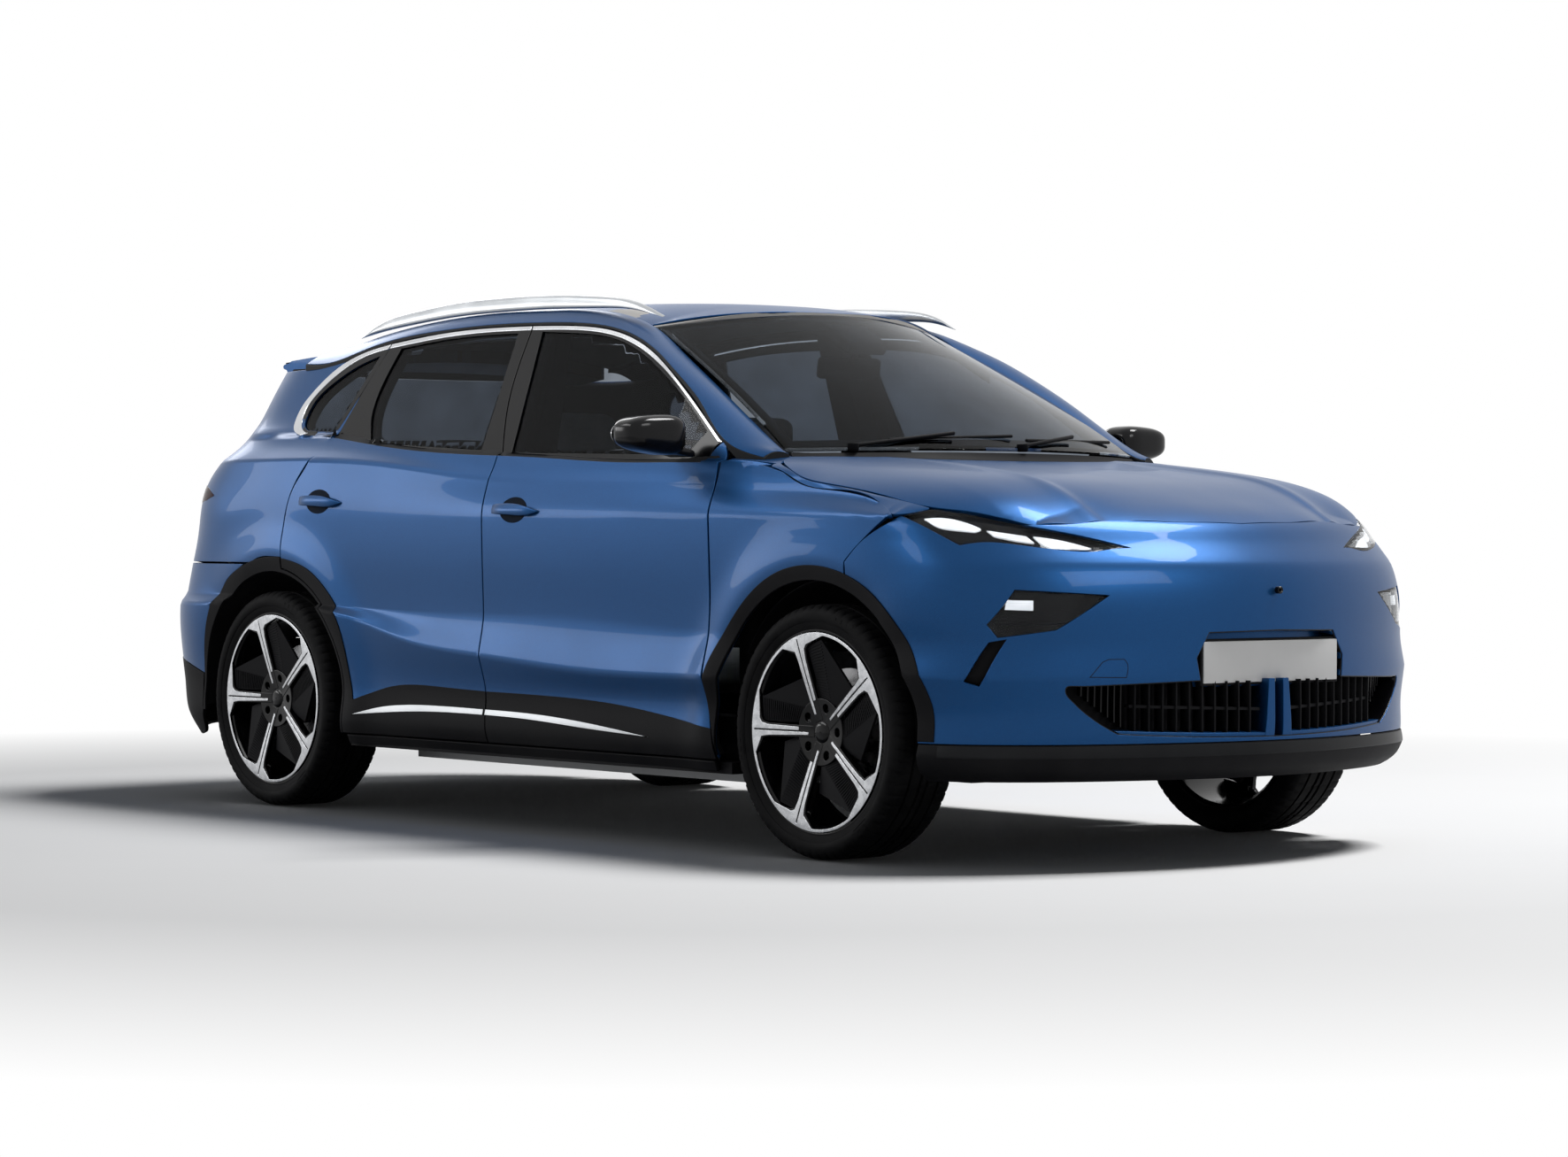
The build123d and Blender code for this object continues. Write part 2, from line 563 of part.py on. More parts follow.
def roof_row(x):
    """The roof's surface across the car at length x."""
    edge = min(x, ROOF_CORNER_X)
    half = float(roof_half(edge)) - ROOF_GAP
    top = float(roof_z(x))
    fall = float(roof_z(edge)) - float(roof_side_z(edge))
    return [(x, v * half, top - fall * abs(v) ** 2.6) for v in np.linspace(-1, 1, 15)]


front_half = float(roof_half(ROOF_CORNER_X))
ROOF_PLAN = [[(ROOF_CORNER_X, -front_half), (ROOF_FRONT_X - 42, -front_half / 2), (ROOF_FRONT_X, 0),
              (ROOF_FRONT_X - 42, front_half / 2), (ROOF_CORNER_X, front_half)],
             [(ROOF_CORNER_X, front_half), (ROOF_CORNER_X, 700)], [(ROOF_CORNER_X, 700), (-1700, 700)],
             [(-1700, 700), (-1700, -700)], [(-1700, -700), (ROOF_CORNER_X, -700)],
             [(ROOF_CORNER_X, -700), (ROOF_CORNER_X, -front_half)]]
roof = slab([roof_row(float(x)) for x in np.linspace(ROOF_REAR_X, ROOF_FRONT_X + 5, 9)],
            (0, 0, -PANEL))
roof = one(roof & plan_prism(ROOF_PLAN, 1300, 1700))
write("roof_panel", roof)

SCREEN_BASE = (1165.0, 985.0, 686.0, 1130.0, 1122.0)
SCREEN_TOP = (406.0, 242.0, 565.0, 1550.0, 1502.0)
SCREEN_WALL = 6.0


def screen_edge(edge, v):
    """A point on the windscreen's base or top edge, v from -1 right to 1 left."""
    middle_x, side_x, half, middle_z, side_z = edge
    return np.array([middle_x + (side_x - middle_x) * v * v, half * v,
                     middle_z + (side_z - middle_z) * v * v])


screen_rows = []
for v in np.linspace(-1, 1, 13):
    low, high = screen_edge(SCREEN_BASE, v), screen_edge(SCREEN_TOP, v)
    bulge = 16 * np.array([0.5, 0, 0.85])
    screen_rows.append([tuple(low * (1 - rise) + high * rise + bulge * 4 * rise * (1 - rise))
                        for rise in np.linspace(0, 1, 6)])
write("windscreen", slab(screen_rows, (-0.5 * SCREEN_WALL, 0, -0.85 * SCREEN_WALL)))

# ---------------------------------------------------------------- bonnet
bonnet_z = spline([(930, 1112), (1100, 1106), (1350, 1088), (1600, 1062), (1800, 1030),
                   (1960, 985), (2050, 950), (2099, 922)])
bonnet_edge_y = spline([(930, 800), (1150, 826), (1240, 842), (1400, 842), (1560, 830), (1726, 806),
                        (1856, 730), (1942, 640)])
bonnet_edge_z = spline([(930, 1104), (1154, 1068), (1240, 1040), (1361, 1018), (1560, 988),
                        (1726, 952), (1856, 933), (1942, 918)])
BONNET = [[(1035, 700), (1080, 775), (1154, 820), (1240, 838), (1361, 838), (1560, 826),
           (1726, 800), (1856, 722), (1942, 632), (2006, 455), (2070, 220), (2094, 0)],
          [(2094, 0), (2070, -220), (2006, -455), (1942, -632), (1856, -722), (1726, -800),
           (1560, -826), (1361, -838), (1240, -838), (1154, -820), (1080, -775), (1035, -700)],
          [(1035, -700), (1160, -420), (1212, 0), (1160, 420), (1035, 700)]]


def bonnet_height(x, y):
    """The bonnet's surface: nearly flat, then rolling down over the wing."""
    top = float(bonnet_z(x))
    half = float(bonnet_edge_y(min(x, 1942)))
    fall = top - float(bonnet_edge_z(min(x, 1942)))
    return top - fall * min(1.0, abs(y) / half) ** 7


bonnet_rows = []
for at in np.linspace(1015, 2110, 14):
    bonnet_rows.append([(at, y, bonnet_height(at, y))
                        for y in [860 * f for f in (-1, -.97, -.93, -.87, -.78, -.6, -.35, 0, .35, .6,
                                                    .78, .87, .93, .97, 1)]])
bonnet = slab(bonnet_rows, (0, 0, -PANEL)) & plan_prism(shrink(BONNET, SHUT_GAP / 2), 700, 1300)
write("bonnet", one(bonnet))

# ---------------------------------------------------------------- front wings
FENDER = [DOOR_FRONT[:-1], [(880, 1018), (880, 1098)], [(880, 1098), (1000, 1090), (1154, 1060)],
          [(1154, 1060), (1240, 1026), (1361, 1009), (1560, 979), (1668, 940)],
          [(1668, 940), (1560, 868), (1502, 811)], [(1502, 811), (1502, 500)],
          [(1502, 500), (955, DOOR_BOTTOM_Z)]]
fender = side_slab((870, 1720), (DOOR_BOTTOM_Z - 8, 1110), PANEL)
fender = fender & side_prism(shrink(FENDER, SHUT_GAP / 2))
fender = fender - plan_prism(shrink(BONNET, -SHUT_GAP), 960, 1300)
fender = one(fender - arch_cut(FRONT_AXLE_X, ARCH_RADIUS, 400))
write("front_fenders", *both(fender))

# ---------------------------------------------------------------- front bumper, lamps and grille
HEADLAMP = [[(866, 938), (799, 956), (730, 934), (600, 900), (414, 853)],
            [(414, 853), (457, 848), (560, 839), (679, 853), (767, 864), (813, 862), (866, 938)]]
LOWER_LAMP = [[(748, 742), (523, 727)], [(523, 727), (663, 636)], [(663, 636), (786, 616)],
              [(786, 616), (806, 650)], [(806, 650), (748, 742)]]
GRILLE = [[(600, 490), (300, 500), (0, 502)], [(0, 502), (-300, 500), (-600, 490)],
          [(-600, 490), (-500, 366)], [(-500, 366), (-300, 352), (0, 346)],
          [(0, 346), (300, 352), (500, 366)], [(500, 366), (600, 490)]]
LAMP_GAP = 0.8
LAMP_DEPTH = 60.0
BUMPER_SIDE = [[(1668, 940), (1560, 868), (1502, 811)], [(1502, 811), (1502, 200)],
               [(1502, 200), (NOSE_FAR, 200)], [(NOSE_FAR, 200), (NOSE_FAR, 940)],
               [(NOSE_FAR, 940), (1668, 940)]]


def left_of(shape):
    """The left half of a shape."""
    return shape & block((-3000, 3000), (0, 1300), (0, 2000))


def lamp_space(runs, gap):
    """The opening that a lamp leaves in the nose."""
    return front_prism(shrink(runs, -gap), NOSE_NEAR, NOSE_FAR)


nose = corner_slab((LIP_TOP_Z + SEAT_GAP, 935), 1, 26)
nose = nose & side_prism(shrink(BUMPER_SIDE, SHUT_GAP / 2), -10)
bonnet_space = plan_prism(shrink(BONNET, -SHUT_GAP), 880, 1300)
nose = nose - bonnet_space - lamp_space(HEADLAMP, LAMP_GAP) - lamp_space(LOWER_LAMP, LAMP_GAP)
nose = nose - arch_cut(FRONT_AXLE_X, ARCH_RADIUS, 400)
nose = nose - front_prism(shrink(GRILLE, -SEAT_GAP), MOUTH_NEAR, NOSE_FAR)
nose = one(nose)
front_bumper = nose + mirror(nose, Plane.XZ)
write("front_bumper", one(front_bumper))

lamp_body = corner_slab((820, 975), 1, LAMP_DEPTH) & lamp_space(HEADLAMP, 0)
lamp_body = lamp_body & block((1672, NOSE_FAR), (380, 1000), (0, 2000))
lamp_body = lamp_body - plan_prism(shrink(BONNET, -SHUT_GAP), 890, 1300)
write("headlamps", *both(one(lamp_body)))
lower_lamp = corner_slab((600, 760), 1, LAMP_DEPTH) & lamp_space(LOWER_LAMP, 0)
write("bumper_lamps", *both(one(lower_lamp)))

GRILLE_DEPTH = 40.0
GRILLE_BARS = 11
grille_back = corner_slab((340, 510), 1, GRILLE_DEPTH)
grille_frame = left_of(grille_back & front_prism(shrink(GRILLE, 0.5), MOUTH_NEAR, NOSE_FAR))
grille_hole = front_prism(shrink(GRILLE, 22), MOUTH_NEAR, NOSE_FAR)
grille = grille_frame - grille_hole
bars = block((MOUTH_NEAR, NOSE_FAR), (0, 26), (300, 520))
bars = bars + block((MOUTH_NEAR, NOSE_FAR), (0, 700), (424, 436))
for number in range(1, GRILLE_BARS + 1):
    at = number * 50.0
    bars = bars + block((MOUTH_NEAR, NOSE_FAR), (at - 4, at + 4), (300, 520))
grille = grille + (grille_back & front_prism(shrink(GRILLE, 1), MOUTH_NEAR, NOSE_FAR) & bars)
grille = one(grille)
write("lower_grille", one(grille + mirror(grille, Plane.XZ)))

lip = corner_slab((BUMPER_BOTTOM_Z, LIP_TOP_Z), 1, 36)
lip = lip & side_prism(shrink(BUMPER_SIDE, SHUT_GAP / 2), -10)
lip = one(lip - arch_cut(FRONT_AXLE_X, ARCH_RADIUS, 400))
write("front_lip", one(lip + mirror(lip, Plane.XZ)))

# ---------------------------------------------------------------- tail
REAR_BUMPER_TOP_Z = TAILGATE_BOTTOM_Z - SHUT_GAP
BUMPER_FRONT_X = -1597.8
tail = corner_slab((BUMPER_BOTTOM_Z, 790), -1, 28)
tail = tail - block((TAIL_FAR, TAIL_NEAR), (-10, TAIL_CUT_Y + 10), (REAR_BUMPER_TOP_Z, 900))
tail = tail & block((TAIL_FAR, BUMPER_FRONT_X), (0, 1100), (0, 2000))
tail = one(tail - arch_cut(REAR_ARCH_X, ARCH_RADIUS, 400))
write("rear_bumper", one(tail + mirror(tail, Plane.XZ)))

# The tailgate: its lower panel, the frame round the rear window, and the spoiler
TAILGATE_HALF = TAIL_CUT_Y - SHUT_GAP
WINDOW_LOW_Z, WINDOW_HIGH_Z = 1150.0, 1425.0
SPOILER_TIP_X = -1925.0
GATE_DEPTH = 46.0
gate = corner_slab((TAILGATE_BOTTOM_Z, 1462), -1, GATE_DEPTH)
gate = gate & front_prism([[(0, TAILGATE_BOTTOM_Z), (560, TAILGATE_BOTTOM_Z + 6)],
                           [(560, TAILGATE_BOTTOM_Z + 6), (TAILGATE_HALF, 800)],
                           [(TAILGATE_HALF, 800), (TAILGATE_HALF, 1130)],
                           [(TAILGATE_HALF, 1130), (590, 1300), (545, 1462)],
                           [(545, 1462), (0, 1462)], [(0, 1462), (0, TAILGATE_BOTTOM_Z)]],
                           TAIL_FAR, TAIL_NEAR)
window_side = [(540, WINDOW_LOW_Z + 6), (520, 1300), (480, WINDOW_HIGH_Z)]
gate_window = [[(-540, WINDOW_LOW_Z + 6), (0, WINDOW_LOW_Z), (540, WINDOW_LOW_Z + 6)], window_side,
               [(480, WINDOW_HIGH_Z), (-480, WINDOW_HIGH_Z)],
               [(-y, z) for y, z in reversed(window_side)]]
gate = one(gate)
gate = one(one(gate + mirror(gate, Plane.XZ)) - front_prism(gate_window, TAIL_FAR, TAIL_NEAR))
spoiler = Solid.make_loft([
    Wire.make_polygon([Vector(ROOF_REAR_X - SHUT_GAP, y, top), Vector(ROOF_REAR_X - SHUT_GAP, y, top - 60),
                       Vector(-1800, y, tip - 34), Vector(SPOILER_TIP_X + back, y, tip - 14),
                       Vector(SPOILER_TIP_X + back, y, tip)])
    for y, top, tip, back in ((-540, 1484, 1462, 90), (-300, 1514, 1480, 20), (0, 1526, 1485, 0),
                              (300, 1514, 1480, 20), (540, 1484, 1462, 90))])
tailgate = gate + spoiler
gate_lamp_half = TAILGATE_HALF - 20
gate_lamp = tail_lamp_band & block((TAIL_FAR, TAIL_NEAR), (0, gate_lamp_half), (0, 2000))
gate_pocket = lamp_pocket & block((TAIL_FAR, TAIL_NEAR), (-1, gate_lamp_half + POCKET_EDGE), (0, 2000))
tailgate = tailgate - gate_pocket - mirror(gate_pocket, Plane.XZ)
gate_lamp = one(gate_lamp)
write("tailgate", one(tailgate))
write("tailgate_lamp", one(gate_lamp + mirror(gate_lamp, Plane.XZ)))
glass = slab([[(x + 8, y, z) for x, y, z in corner_points(float(height), -1, 18)]
              for height in np.linspace(WINDOW_LOW_Z - 10, WINDOW_HIGH_Z + 10, 6)],
             (GLASS_THICKNESS, -0.01, 0))
glass = one(left_of(glass))
glass = one(glass + mirror(glass, Plane.XZ))
glass = glass & front_prism(shrink(gate_window, GLASS_GAP), TAIL_FAR, TAIL_NEAR)
write("rear_glass", one(glass))

# ---------------------------------------------------------------- floor, battery and running gear
FIREWALL_X = (950.0, 962.0)
REAR_WALL_X = (-1087.0, -1075.0)
BOOT_HALF = 572.0
BOOT_REAR_X = -2020.0
WHEELHOUSE_TOP_Z = 800.0
wall = FLOOR_THICKNESS
floor_half = 690 - SEAT_GAP
floor_pan = block((REAR_WALL_X[0], FIREWALL_X[1]), (-floor_half, floor_half), (FLOOR_Z, FLOOR_Z + wall))
rear_corner = block((-1100, -920), (560, 700), (FLOOR_Z - 5, FLOOR_Z + wall + 5))
floor_pan = floor_pan - rear_corner - mirror(rear_corner, Plane.XZ)
for piece in (
    block(FIREWALL_X, (-floor_half + 5, floor_half - 5), (FLOOR_Z, 1050)),
    block((FIREWALL_X[0], 1250), (-540, 540), (1038, 1050)),
    block(REAR_WALL_X, (-BOOT_HALF, BOOT_HALF), (FLOOR_Z, BOOT_FLOOR_Z + wall)),
    block((BOOT_REAR_X, REAR_WALL_X[1]), (-BOOT_HALF, BOOT_HALF), (BOOT_FLOOR_Z, BOOT_FLOOR_Z + wall)),
    block((BOOT_REAR_X, BOOT_REAR_X + wall), (-BOOT_HALF, BOOT_HALF), (560, 715)),
    block((-1780, REAR_WALL_X[1]), (BOOT_HALF - wall, BOOT_HALF), (BOOT_FLOOR_Z, WHEELHOUSE_TOP_Z)),
    block((-1780, REAR_WALL_X[1]), (wall - BOOT_HALF, -BOOT_HALF), (BOOT_FLOOR_Z, WHEELHOUSE_TOP_Z)),
):
    floor_pan = floor_pan + piece
buffer = block((-2172, BOOT_REAR_X + wall), (300, 340), (700, 765))
buffer = one(buffer - corner_slab((690, 790), -1, GATE_DEPTH + SEAT_GAP))
write("floor_pan", one(floor_pan + buffer + mirror(buffer, Plane.XZ)))
battery = block(BATTERY_X, (-BATTERY_HALF_WIDTH, BATTERY_HALF_WIDTH), (BATTERY_BOTTOM_Z, FLOOR_Z - SEAT_GAP))
write("battery_pack", battery.fillet(18, battery.edges().filter_by(Axis.Z)))

KNUCKLE_Z = (226.0, 460.0)
KNUCKLE_Y = (652.0, 735.0)
ARM_Z = (205.0, KNUCKLE_Z[0] - SEAT_GAP)
RAIL_Y = (340.0, 400.0)
RAIL_Z = (250.0, 330.0)
SPINDLE_END_Y = 800.0


def hub_carrier(axle):
    """The upright that carries a wheel, with its spindle."""
    upright = block((axle - 35, axle + 35), KNUCKLE_Y, KNUCKLE_Z)
    upright = upright.fillet(12, upright.edges().filter_by(Axis.Y))
    return upright + tube_y(SPINDLE_RADIUS, (KNUCKLE_Y[0], SPINDLE_END_Y), axle, TYRE_RADIUS)


write_pair("front_knuckle", one(hub_carrier(FRONT_AXLE_X)))
front_arm = block((FRONT_AXLE_X - 40, FRONT_AXLE_X + 40), (300, KINGPIN_Y + 24), ARM_Z)
rail = block((FIREWALL_X[1] + SEAT_GAP, 2060), RAIL_Y, RAIL_Z)
tower = block((2030, 2060), RAIL_Y, (RAIL_Z[0], 590))
LATCH_X = (2030.0, 2056.0)
latch_top = min(bonnet_height(x, 20) for x in LATCH_X) - PANEL + 0.9
cross = block((FRONT_AXLE_X - 120, FRONT_AXLE_X + 90), (-400, 400), (195, RAIL_Z[0] + 5))
beam = block((2030, 2090), (-480, 480), (520, 590))
latch = block(LATCH_X, (-20, 20), (580, latch_top))
front_subframe = cross + beam + latch
for piece in (front_arm, rail, tower):
    front_subframe = front_subframe + piece + mirror(piece, Plane.XZ)
write("front_subframe", one(front_subframe))

STRUT_TOP = (FRONT_AXLE_X - 30, 560.0, 900.0)
STRUT_FOOT = (FRONT_AXLE_X, 676.0, 466.8)
STRUT_RADIUS = 24.0
write("front_struts", *both(rod(STRUT_FOOT, STRUT_TOP, STRUT_RADIUS)))

rear_cross = block((REAR_AXLE_X + 90, REAR_AXLE_X + 210), (-430, 430), (200, 262))
rear_arm = block((REAR_AXLE_X - 30, REAR_AXLE_X + 30), (360, KNUCKLE_Y[0] + 20), (205, 228))
rear_link = block((REAR_AXLE_X - 30, REAR_AXLE_X + 150), (360, 430), (205, 228))
rear_mount = block((REAR_AXLE_X + 150, REAR_AXLE_X + 210), (350, 430), (230, BOOT_FLOOR_Z - SEAT_GAP))
rear_subframe = rear_cross
for piece in (rear_arm, rear_link, rear_mount, hub_carrier(REAR_AXLE_X)):
    rear_subframe = rear_subframe + piece + mirror(piece, Plane.XZ)
write("rear_subframe", one(rear_subframe))
MOTOR_X = (REAR_AXLE_X - 170, REAR_AXLE_X + 90 - SEAT_GAP)
motor = block(MOTOR_X, (-230, 230), (210, 470))
motor = motor.fillet(40, motor.edges().filter_by(Axis.Y))
shaft = tube_y(14, (200, KNUCKLE_Y[0] - SEAT_GAP), REAR_AXLE_X, TYRE_RADIUS)
write("drive_motor", one(motor + shaft + mirror(shaft, Plane.XZ)))


def arch_liner(axle, y):
    """The tunnel over a wheel."""
    outer = ARCH_RADIUS + 4 - SEAT_GAP
    liner = tube_y(outer, y, axle, TYRE_RADIUS)
    liner = liner - tube_y(outer - LINER_WALL, (y[0] - 5, y[1] + 5), axle, TYRE_RADIUS)
    return one(liner & block((-3000, 3000), (0, 1100), (268, 1400)))


front_liner = arch_liner(FRONT_AXLE_X, (RAIL_Y[1] + SEAT_GAP, 836))
front_liner = front_liner - rod(STRUT_FOOT, STRUT_TOP, STRUT_RADIUS + 8)
front_liner = one(front_liner - block((900, 1000), (380, 900), (200, 1060)))
rear_liner = arch_liner(REAR_ARCH_X, (BOOT_HALF + 4, 836))
write("arch_liners", *both(front_liner), *both(rear_liner))


def wheel(axle):
    """A left alloy wheel: barrel, five split spokes, hub and brake disc."""
    barrel = tube_y(RIM_RADIUS, (WHEEL_Y - 105, 897), axle, TYRE_RADIUS)
    barrel = barrel - tube_y(RIM_RADIUS - RIM_WALL, (0, 1000), axle, TYRE_RADIUS)
    result = barrel
    for number in range(SPOKE_COUNT):
        angle = 180 + 360 * number / SPOKE_COUNT
        for lean in (-7, 7):
            spoke = block((0, RIM_RADIUS - 6), (850, 880), (-13, 13))
            spoke = spoke.rotate(Axis.Y, -(angle + lean))
            result = result + spoke.moved(Location((axle, 0, TYRE_RADIUS)))
    result = result + tube_y(HUB_RADIUS, (KNUCKLE_Y[1] + 8, 880), axle, TYRE_RADIUS)
    result = result + tube_y(BRAKE_DISC_RADIUS, (KNUCKLE_Y[1] + 12, KNUCKLE_Y[1] + 34), axle, TYRE_RADIUS)
    bore = tube_y(SPINDLE_RADIUS + SPINDLE_GAP, (700, SPINDLE_END_Y + 4), axle, TYRE_RADIUS)
    return one(result - bore)


def tyre(axle):
    """A left tyre: a rounded band round the rim."""
    inner, outer = RIM_RADIUS + 0.3, TYRE_RADIUS
    low, high = WHEEL_Y - TYRE_WIDTH / 2, WHEEL_Y + TYRE_WIDTH / 2
    middle = (inner + outer) / 2
    profile = outline([[(low + 12, inner), (low, middle - 2), (low + 7, outer - 12)],
                       [(low + 7, outer - 12), (low + 24, outer)], [(low + 24, outer), (high - 24, outer)],
                       [(high - 24, outer), (high - 7, outer - 12)],
                       [(high - 7, outer - 12), (high, middle - 2), (high - 12, inner)],
                       [(high - 12, inner), (low + 12, inner)]],
                      lambda y, radius: (axle, y, TYRE_RADIUS + radius))
    return Solid.revolve(profile, 360, Axis((axle, 0, TYRE_RADIUS), (0, 1, 0)))


for end, axle in (("front", FRONT_AXLE_X), ("rear", REAR_AXLE_X)):
    write_pair(f"{end}_wheel", wheel(axle))
    write_pair(f"{end}_tyre", tyre(axle))

# ---------------------------------------------------------------- roof rails
RAIL_LIFT = 4.3
RAIL_LINE = [(300, 582, 1524, 1530), (200, 596, 1550, 1572), (20, 602, 1564, 1602), (-300, 604, 1571, 1619),
             (-480, 604, 1571, 1621), (-720, 603, 1567, 1617), (-980, 600, 1551, 1598),
             (-1180, 597, 1533, 1566), (-1290, 594, 1521, 1528)]
roof_rail = Solid.make_loft([
    Wire.make_polygon([Vector(x, y - 13, low + RAIL_LIFT), Vector(x, y + 13, low + RAIL_LIFT),
                       Vector(x, y + 10, high), Vector(x, y - 10, high)])
    for x, y, low, high in RAIL_LINE[1:-1]])
write("roof_rails", *both(roof_rail))

# ---------------------------------------------------------------- cabin
SEAT_Y = 365.0
COLUMN_TILT = 24.0
WHEEL_CENTRE = (345.0, -SEAT_Y, 965.0)
STEERING_RADIUS = 175.0
lean = math.radians(COLUMN_TILT)
column = Vector(math.cos(lean), 0, -math.sin(lean))


def seat_back(x_low, x_high, z, half, middle, thick):
    """A leaning backrest between two heights."""
    foot = lean_section((x_low - thick, x_low), (middle - half, middle + half), z[0])
    top = lean_section((x_high - thick, x_high), (middle - half + 20, middle + half - 20), z[1])
    return Solid.make_loft([foot, top])


def front_seat(middle):
    """One front seat: base, cushion, backrest and headrest."""
    base = block((-120, 260), (middle - 190, middle + 190), (FLOOR_Z + wall + SEAT_GAP, 420))
    cushion = block((-190, 320), (middle - 250, middle + 250), (400, 540))
    cushion = cushion.fillet(40, cushion.edges())
    rest = block((-455, -355), (middle - 130, middle + 130), (1110, 1270))
    rest = rest.fillet(30, rest.edges())
    post = block((-420, -390), (middle - 40, middle + 40), (1020, 1150))
    return one(base + cushion + seat_back(-120, -340, (460, 1070), 240, middle, 100) + rest + post)


write("front_seats", front_seat(SEAT_Y), front_seat(-SEAT_Y))
bench = block((-915, -500), (-600, 600), (FLOOR_Z + wall + SEAT_GAP, 520))
bench = bench.fillet(40, bench.edges().filter_by(Axis.Y))
rear_seat = bench + seat_back(-880, -1040, (440, 1060), 535, 0, 95)
for middle in (-330, 0, 330):
    rest = block((-1150, -1060), (middle - 120, middle + 120), (1040, 1200))
    rear_seat = rear_seat + rest.fillet(25, rest.edges())
write("rear_seat", one(rear_seat))

dash = block((480, FIREWALL_X[0] - SEAT_GAP), (-640, 640), (760, 1030))
dash = dash.fillet(60, dash.edges().filter_by(Axis.Y))
console = block((-140, 560), (-115, 115), (FLOOR_Z + wall + SEAT_GAP, 590))
console = console + block((520, 620), (-115, 115), (FLOOR_Z + wall + SEAT_GAP, 800))
column_start = Vector(*WHEEL_CENTRE) + column * (40 + SEAT_GAP)
column_end = Vector(*WHEEL_CENTRE) + column * 260
dash = dash + console + rod(tuple(column_start), tuple(column_end), 32)
write("dashboard", one(dash))
wheel_plane = Plane(Vector(*WHEEL_CENTRE), x_dir=(0, 1, 0), z_dir=column)
rim = Solid.make_torus(STEERING_RADIUS, 15, wheel_plane)
hub = Solid.make_cylinder(52, 50, Plane(Vector(*WHEEL_CENTRE) - column * 10, x_dir=(0, 1, 0), z_dir=column))
steering_wheel = rim + hub
for angle in (0, 180, 90):
    spoke = Solid.make_box(STEERING_RADIUS, 36, 16, Plane((0, -18, -2)))
    spoke = spoke.rotate(Axis.Z, angle)
    steering_wheel = steering_wheel + wheel_plane.location * spoke
write("steering_wheel", one(steering_wheel))
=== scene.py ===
import math

import bpy
import numpy as np
from mathutils import Matrix, Vector
from mathutils.geometry import delaunay_2d_cdt


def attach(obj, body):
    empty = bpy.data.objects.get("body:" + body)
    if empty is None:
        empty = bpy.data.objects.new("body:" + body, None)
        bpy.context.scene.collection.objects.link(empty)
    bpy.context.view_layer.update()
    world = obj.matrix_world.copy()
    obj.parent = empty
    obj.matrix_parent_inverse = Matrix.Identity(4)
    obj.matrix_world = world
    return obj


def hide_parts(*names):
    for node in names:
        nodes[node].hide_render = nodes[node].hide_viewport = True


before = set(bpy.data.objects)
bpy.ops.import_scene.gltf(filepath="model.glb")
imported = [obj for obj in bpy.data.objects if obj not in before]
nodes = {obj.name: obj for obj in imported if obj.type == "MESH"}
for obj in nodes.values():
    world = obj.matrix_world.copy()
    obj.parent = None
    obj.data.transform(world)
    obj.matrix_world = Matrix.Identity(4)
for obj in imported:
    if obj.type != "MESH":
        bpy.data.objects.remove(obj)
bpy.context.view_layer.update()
bpy.ops.object.select_all(action="DESELECT")
MM = 0.001

# Shapes below are worked out in millimetres, in the same frame as the CAD model
FRONT_AXLE_X, REAR_AXLE_X = 1360.0, -1370.0
NOSE_X, TAIL_X = 2238.0, -2238.0
TYRE_RADIUS, WHEEL_Y = 348.0, 790.0
ARCH_RADIUS = 414.0
REAR_ARCH_X = REAR_AXLE_X + 25
GAP_HALF = 2.4


# ------------------------------------------------------------------ curves and surfaces
def spline(points):
    """A smooth curve through given points, straight beyond both ends."""
    xs, ys = np.array(sorted(map(tuple, points)), float).T
    count = len(xs)
    step = np.diff(xs)
    slope = np.diff(ys) / step
    matrix = np.eye(count)
    right = np.zeros(count)
    for i in range(1, count - 1):
        matrix[i, i - 1 : i + 2] = step[i - 1], 2 * (step[i - 1] + step[i]), step[i]
        right[i] = 6 * (slope[i] - slope[i - 1])
    bend = np.linalg.solve(matrix, right)
    first = slope[0] - step[0] * bend[1] / 6
    last = slope[-1] + step[-1] * bend[-2] / 6

    def value(x):
        x = np.asarray(x, float)
        i = np.clip(np.searchsorted(xs, x) - 1, 0, count - 2)
        a = (xs[i + 1] - x) / step[i]
        b = 1 - a
        curved = a * ys[i] + b * ys[i + 1]
        curved = curved + ((a**3 - a) * bend[i] + (b**3 - b) * bend[i + 1]) * step[i] ** 2 / 6
        before = ys[0] + first * (x - xs[0])
        after = ys[-1] + last * (x - xs[-1])
        return np.where(x < xs[0], before, np.where(x > xs[-1], after, curved))

    return value


def section(heights, widths, z):
    """A body section: a curve that never swings past its own points."""
    z = np.asarray(z, float)
    heights = [np.broadcast_to(h, z.shape).astype(float) for h in heights]
    widths = [np.broadcast_to(w, z.shape).astype(float) for w in widths]
    step = [b - a for a, b in zip(heights, heights[1:])]
    slope = [(b - a) / s for a, b, s in zip(widths, widths[1:], step)]
    bend = [slope[0]]
    for a, b in zip(slope, slope[1:]):
        total = np.where(a + b == 0, 1, a + b)
        bend.append(np.where(a * b > 0, 2 * a * b / total, 0))
    bend.append(slope[-1])
    result = widths[0] + slope[0] * (z - heights[0])
    for i, s in enumerate(step):
        t = (z - heights[i]) / s
        start = (2 * t**3 - 3 * t**2 + 1) * widths[i] + (t**3 - 2 * t**2 + t) * s * bend[i]
        end = (3 * t**2 - 2 * t**3) * widths[i + 1] + (t**3 - t**2) * s * bend[i + 1]
        result = np.where(z >= heights[i], start + end, result)
    return np.where(z > heights[-1], widths[-1] + bend[-1] * (z - heights[-1]), result)


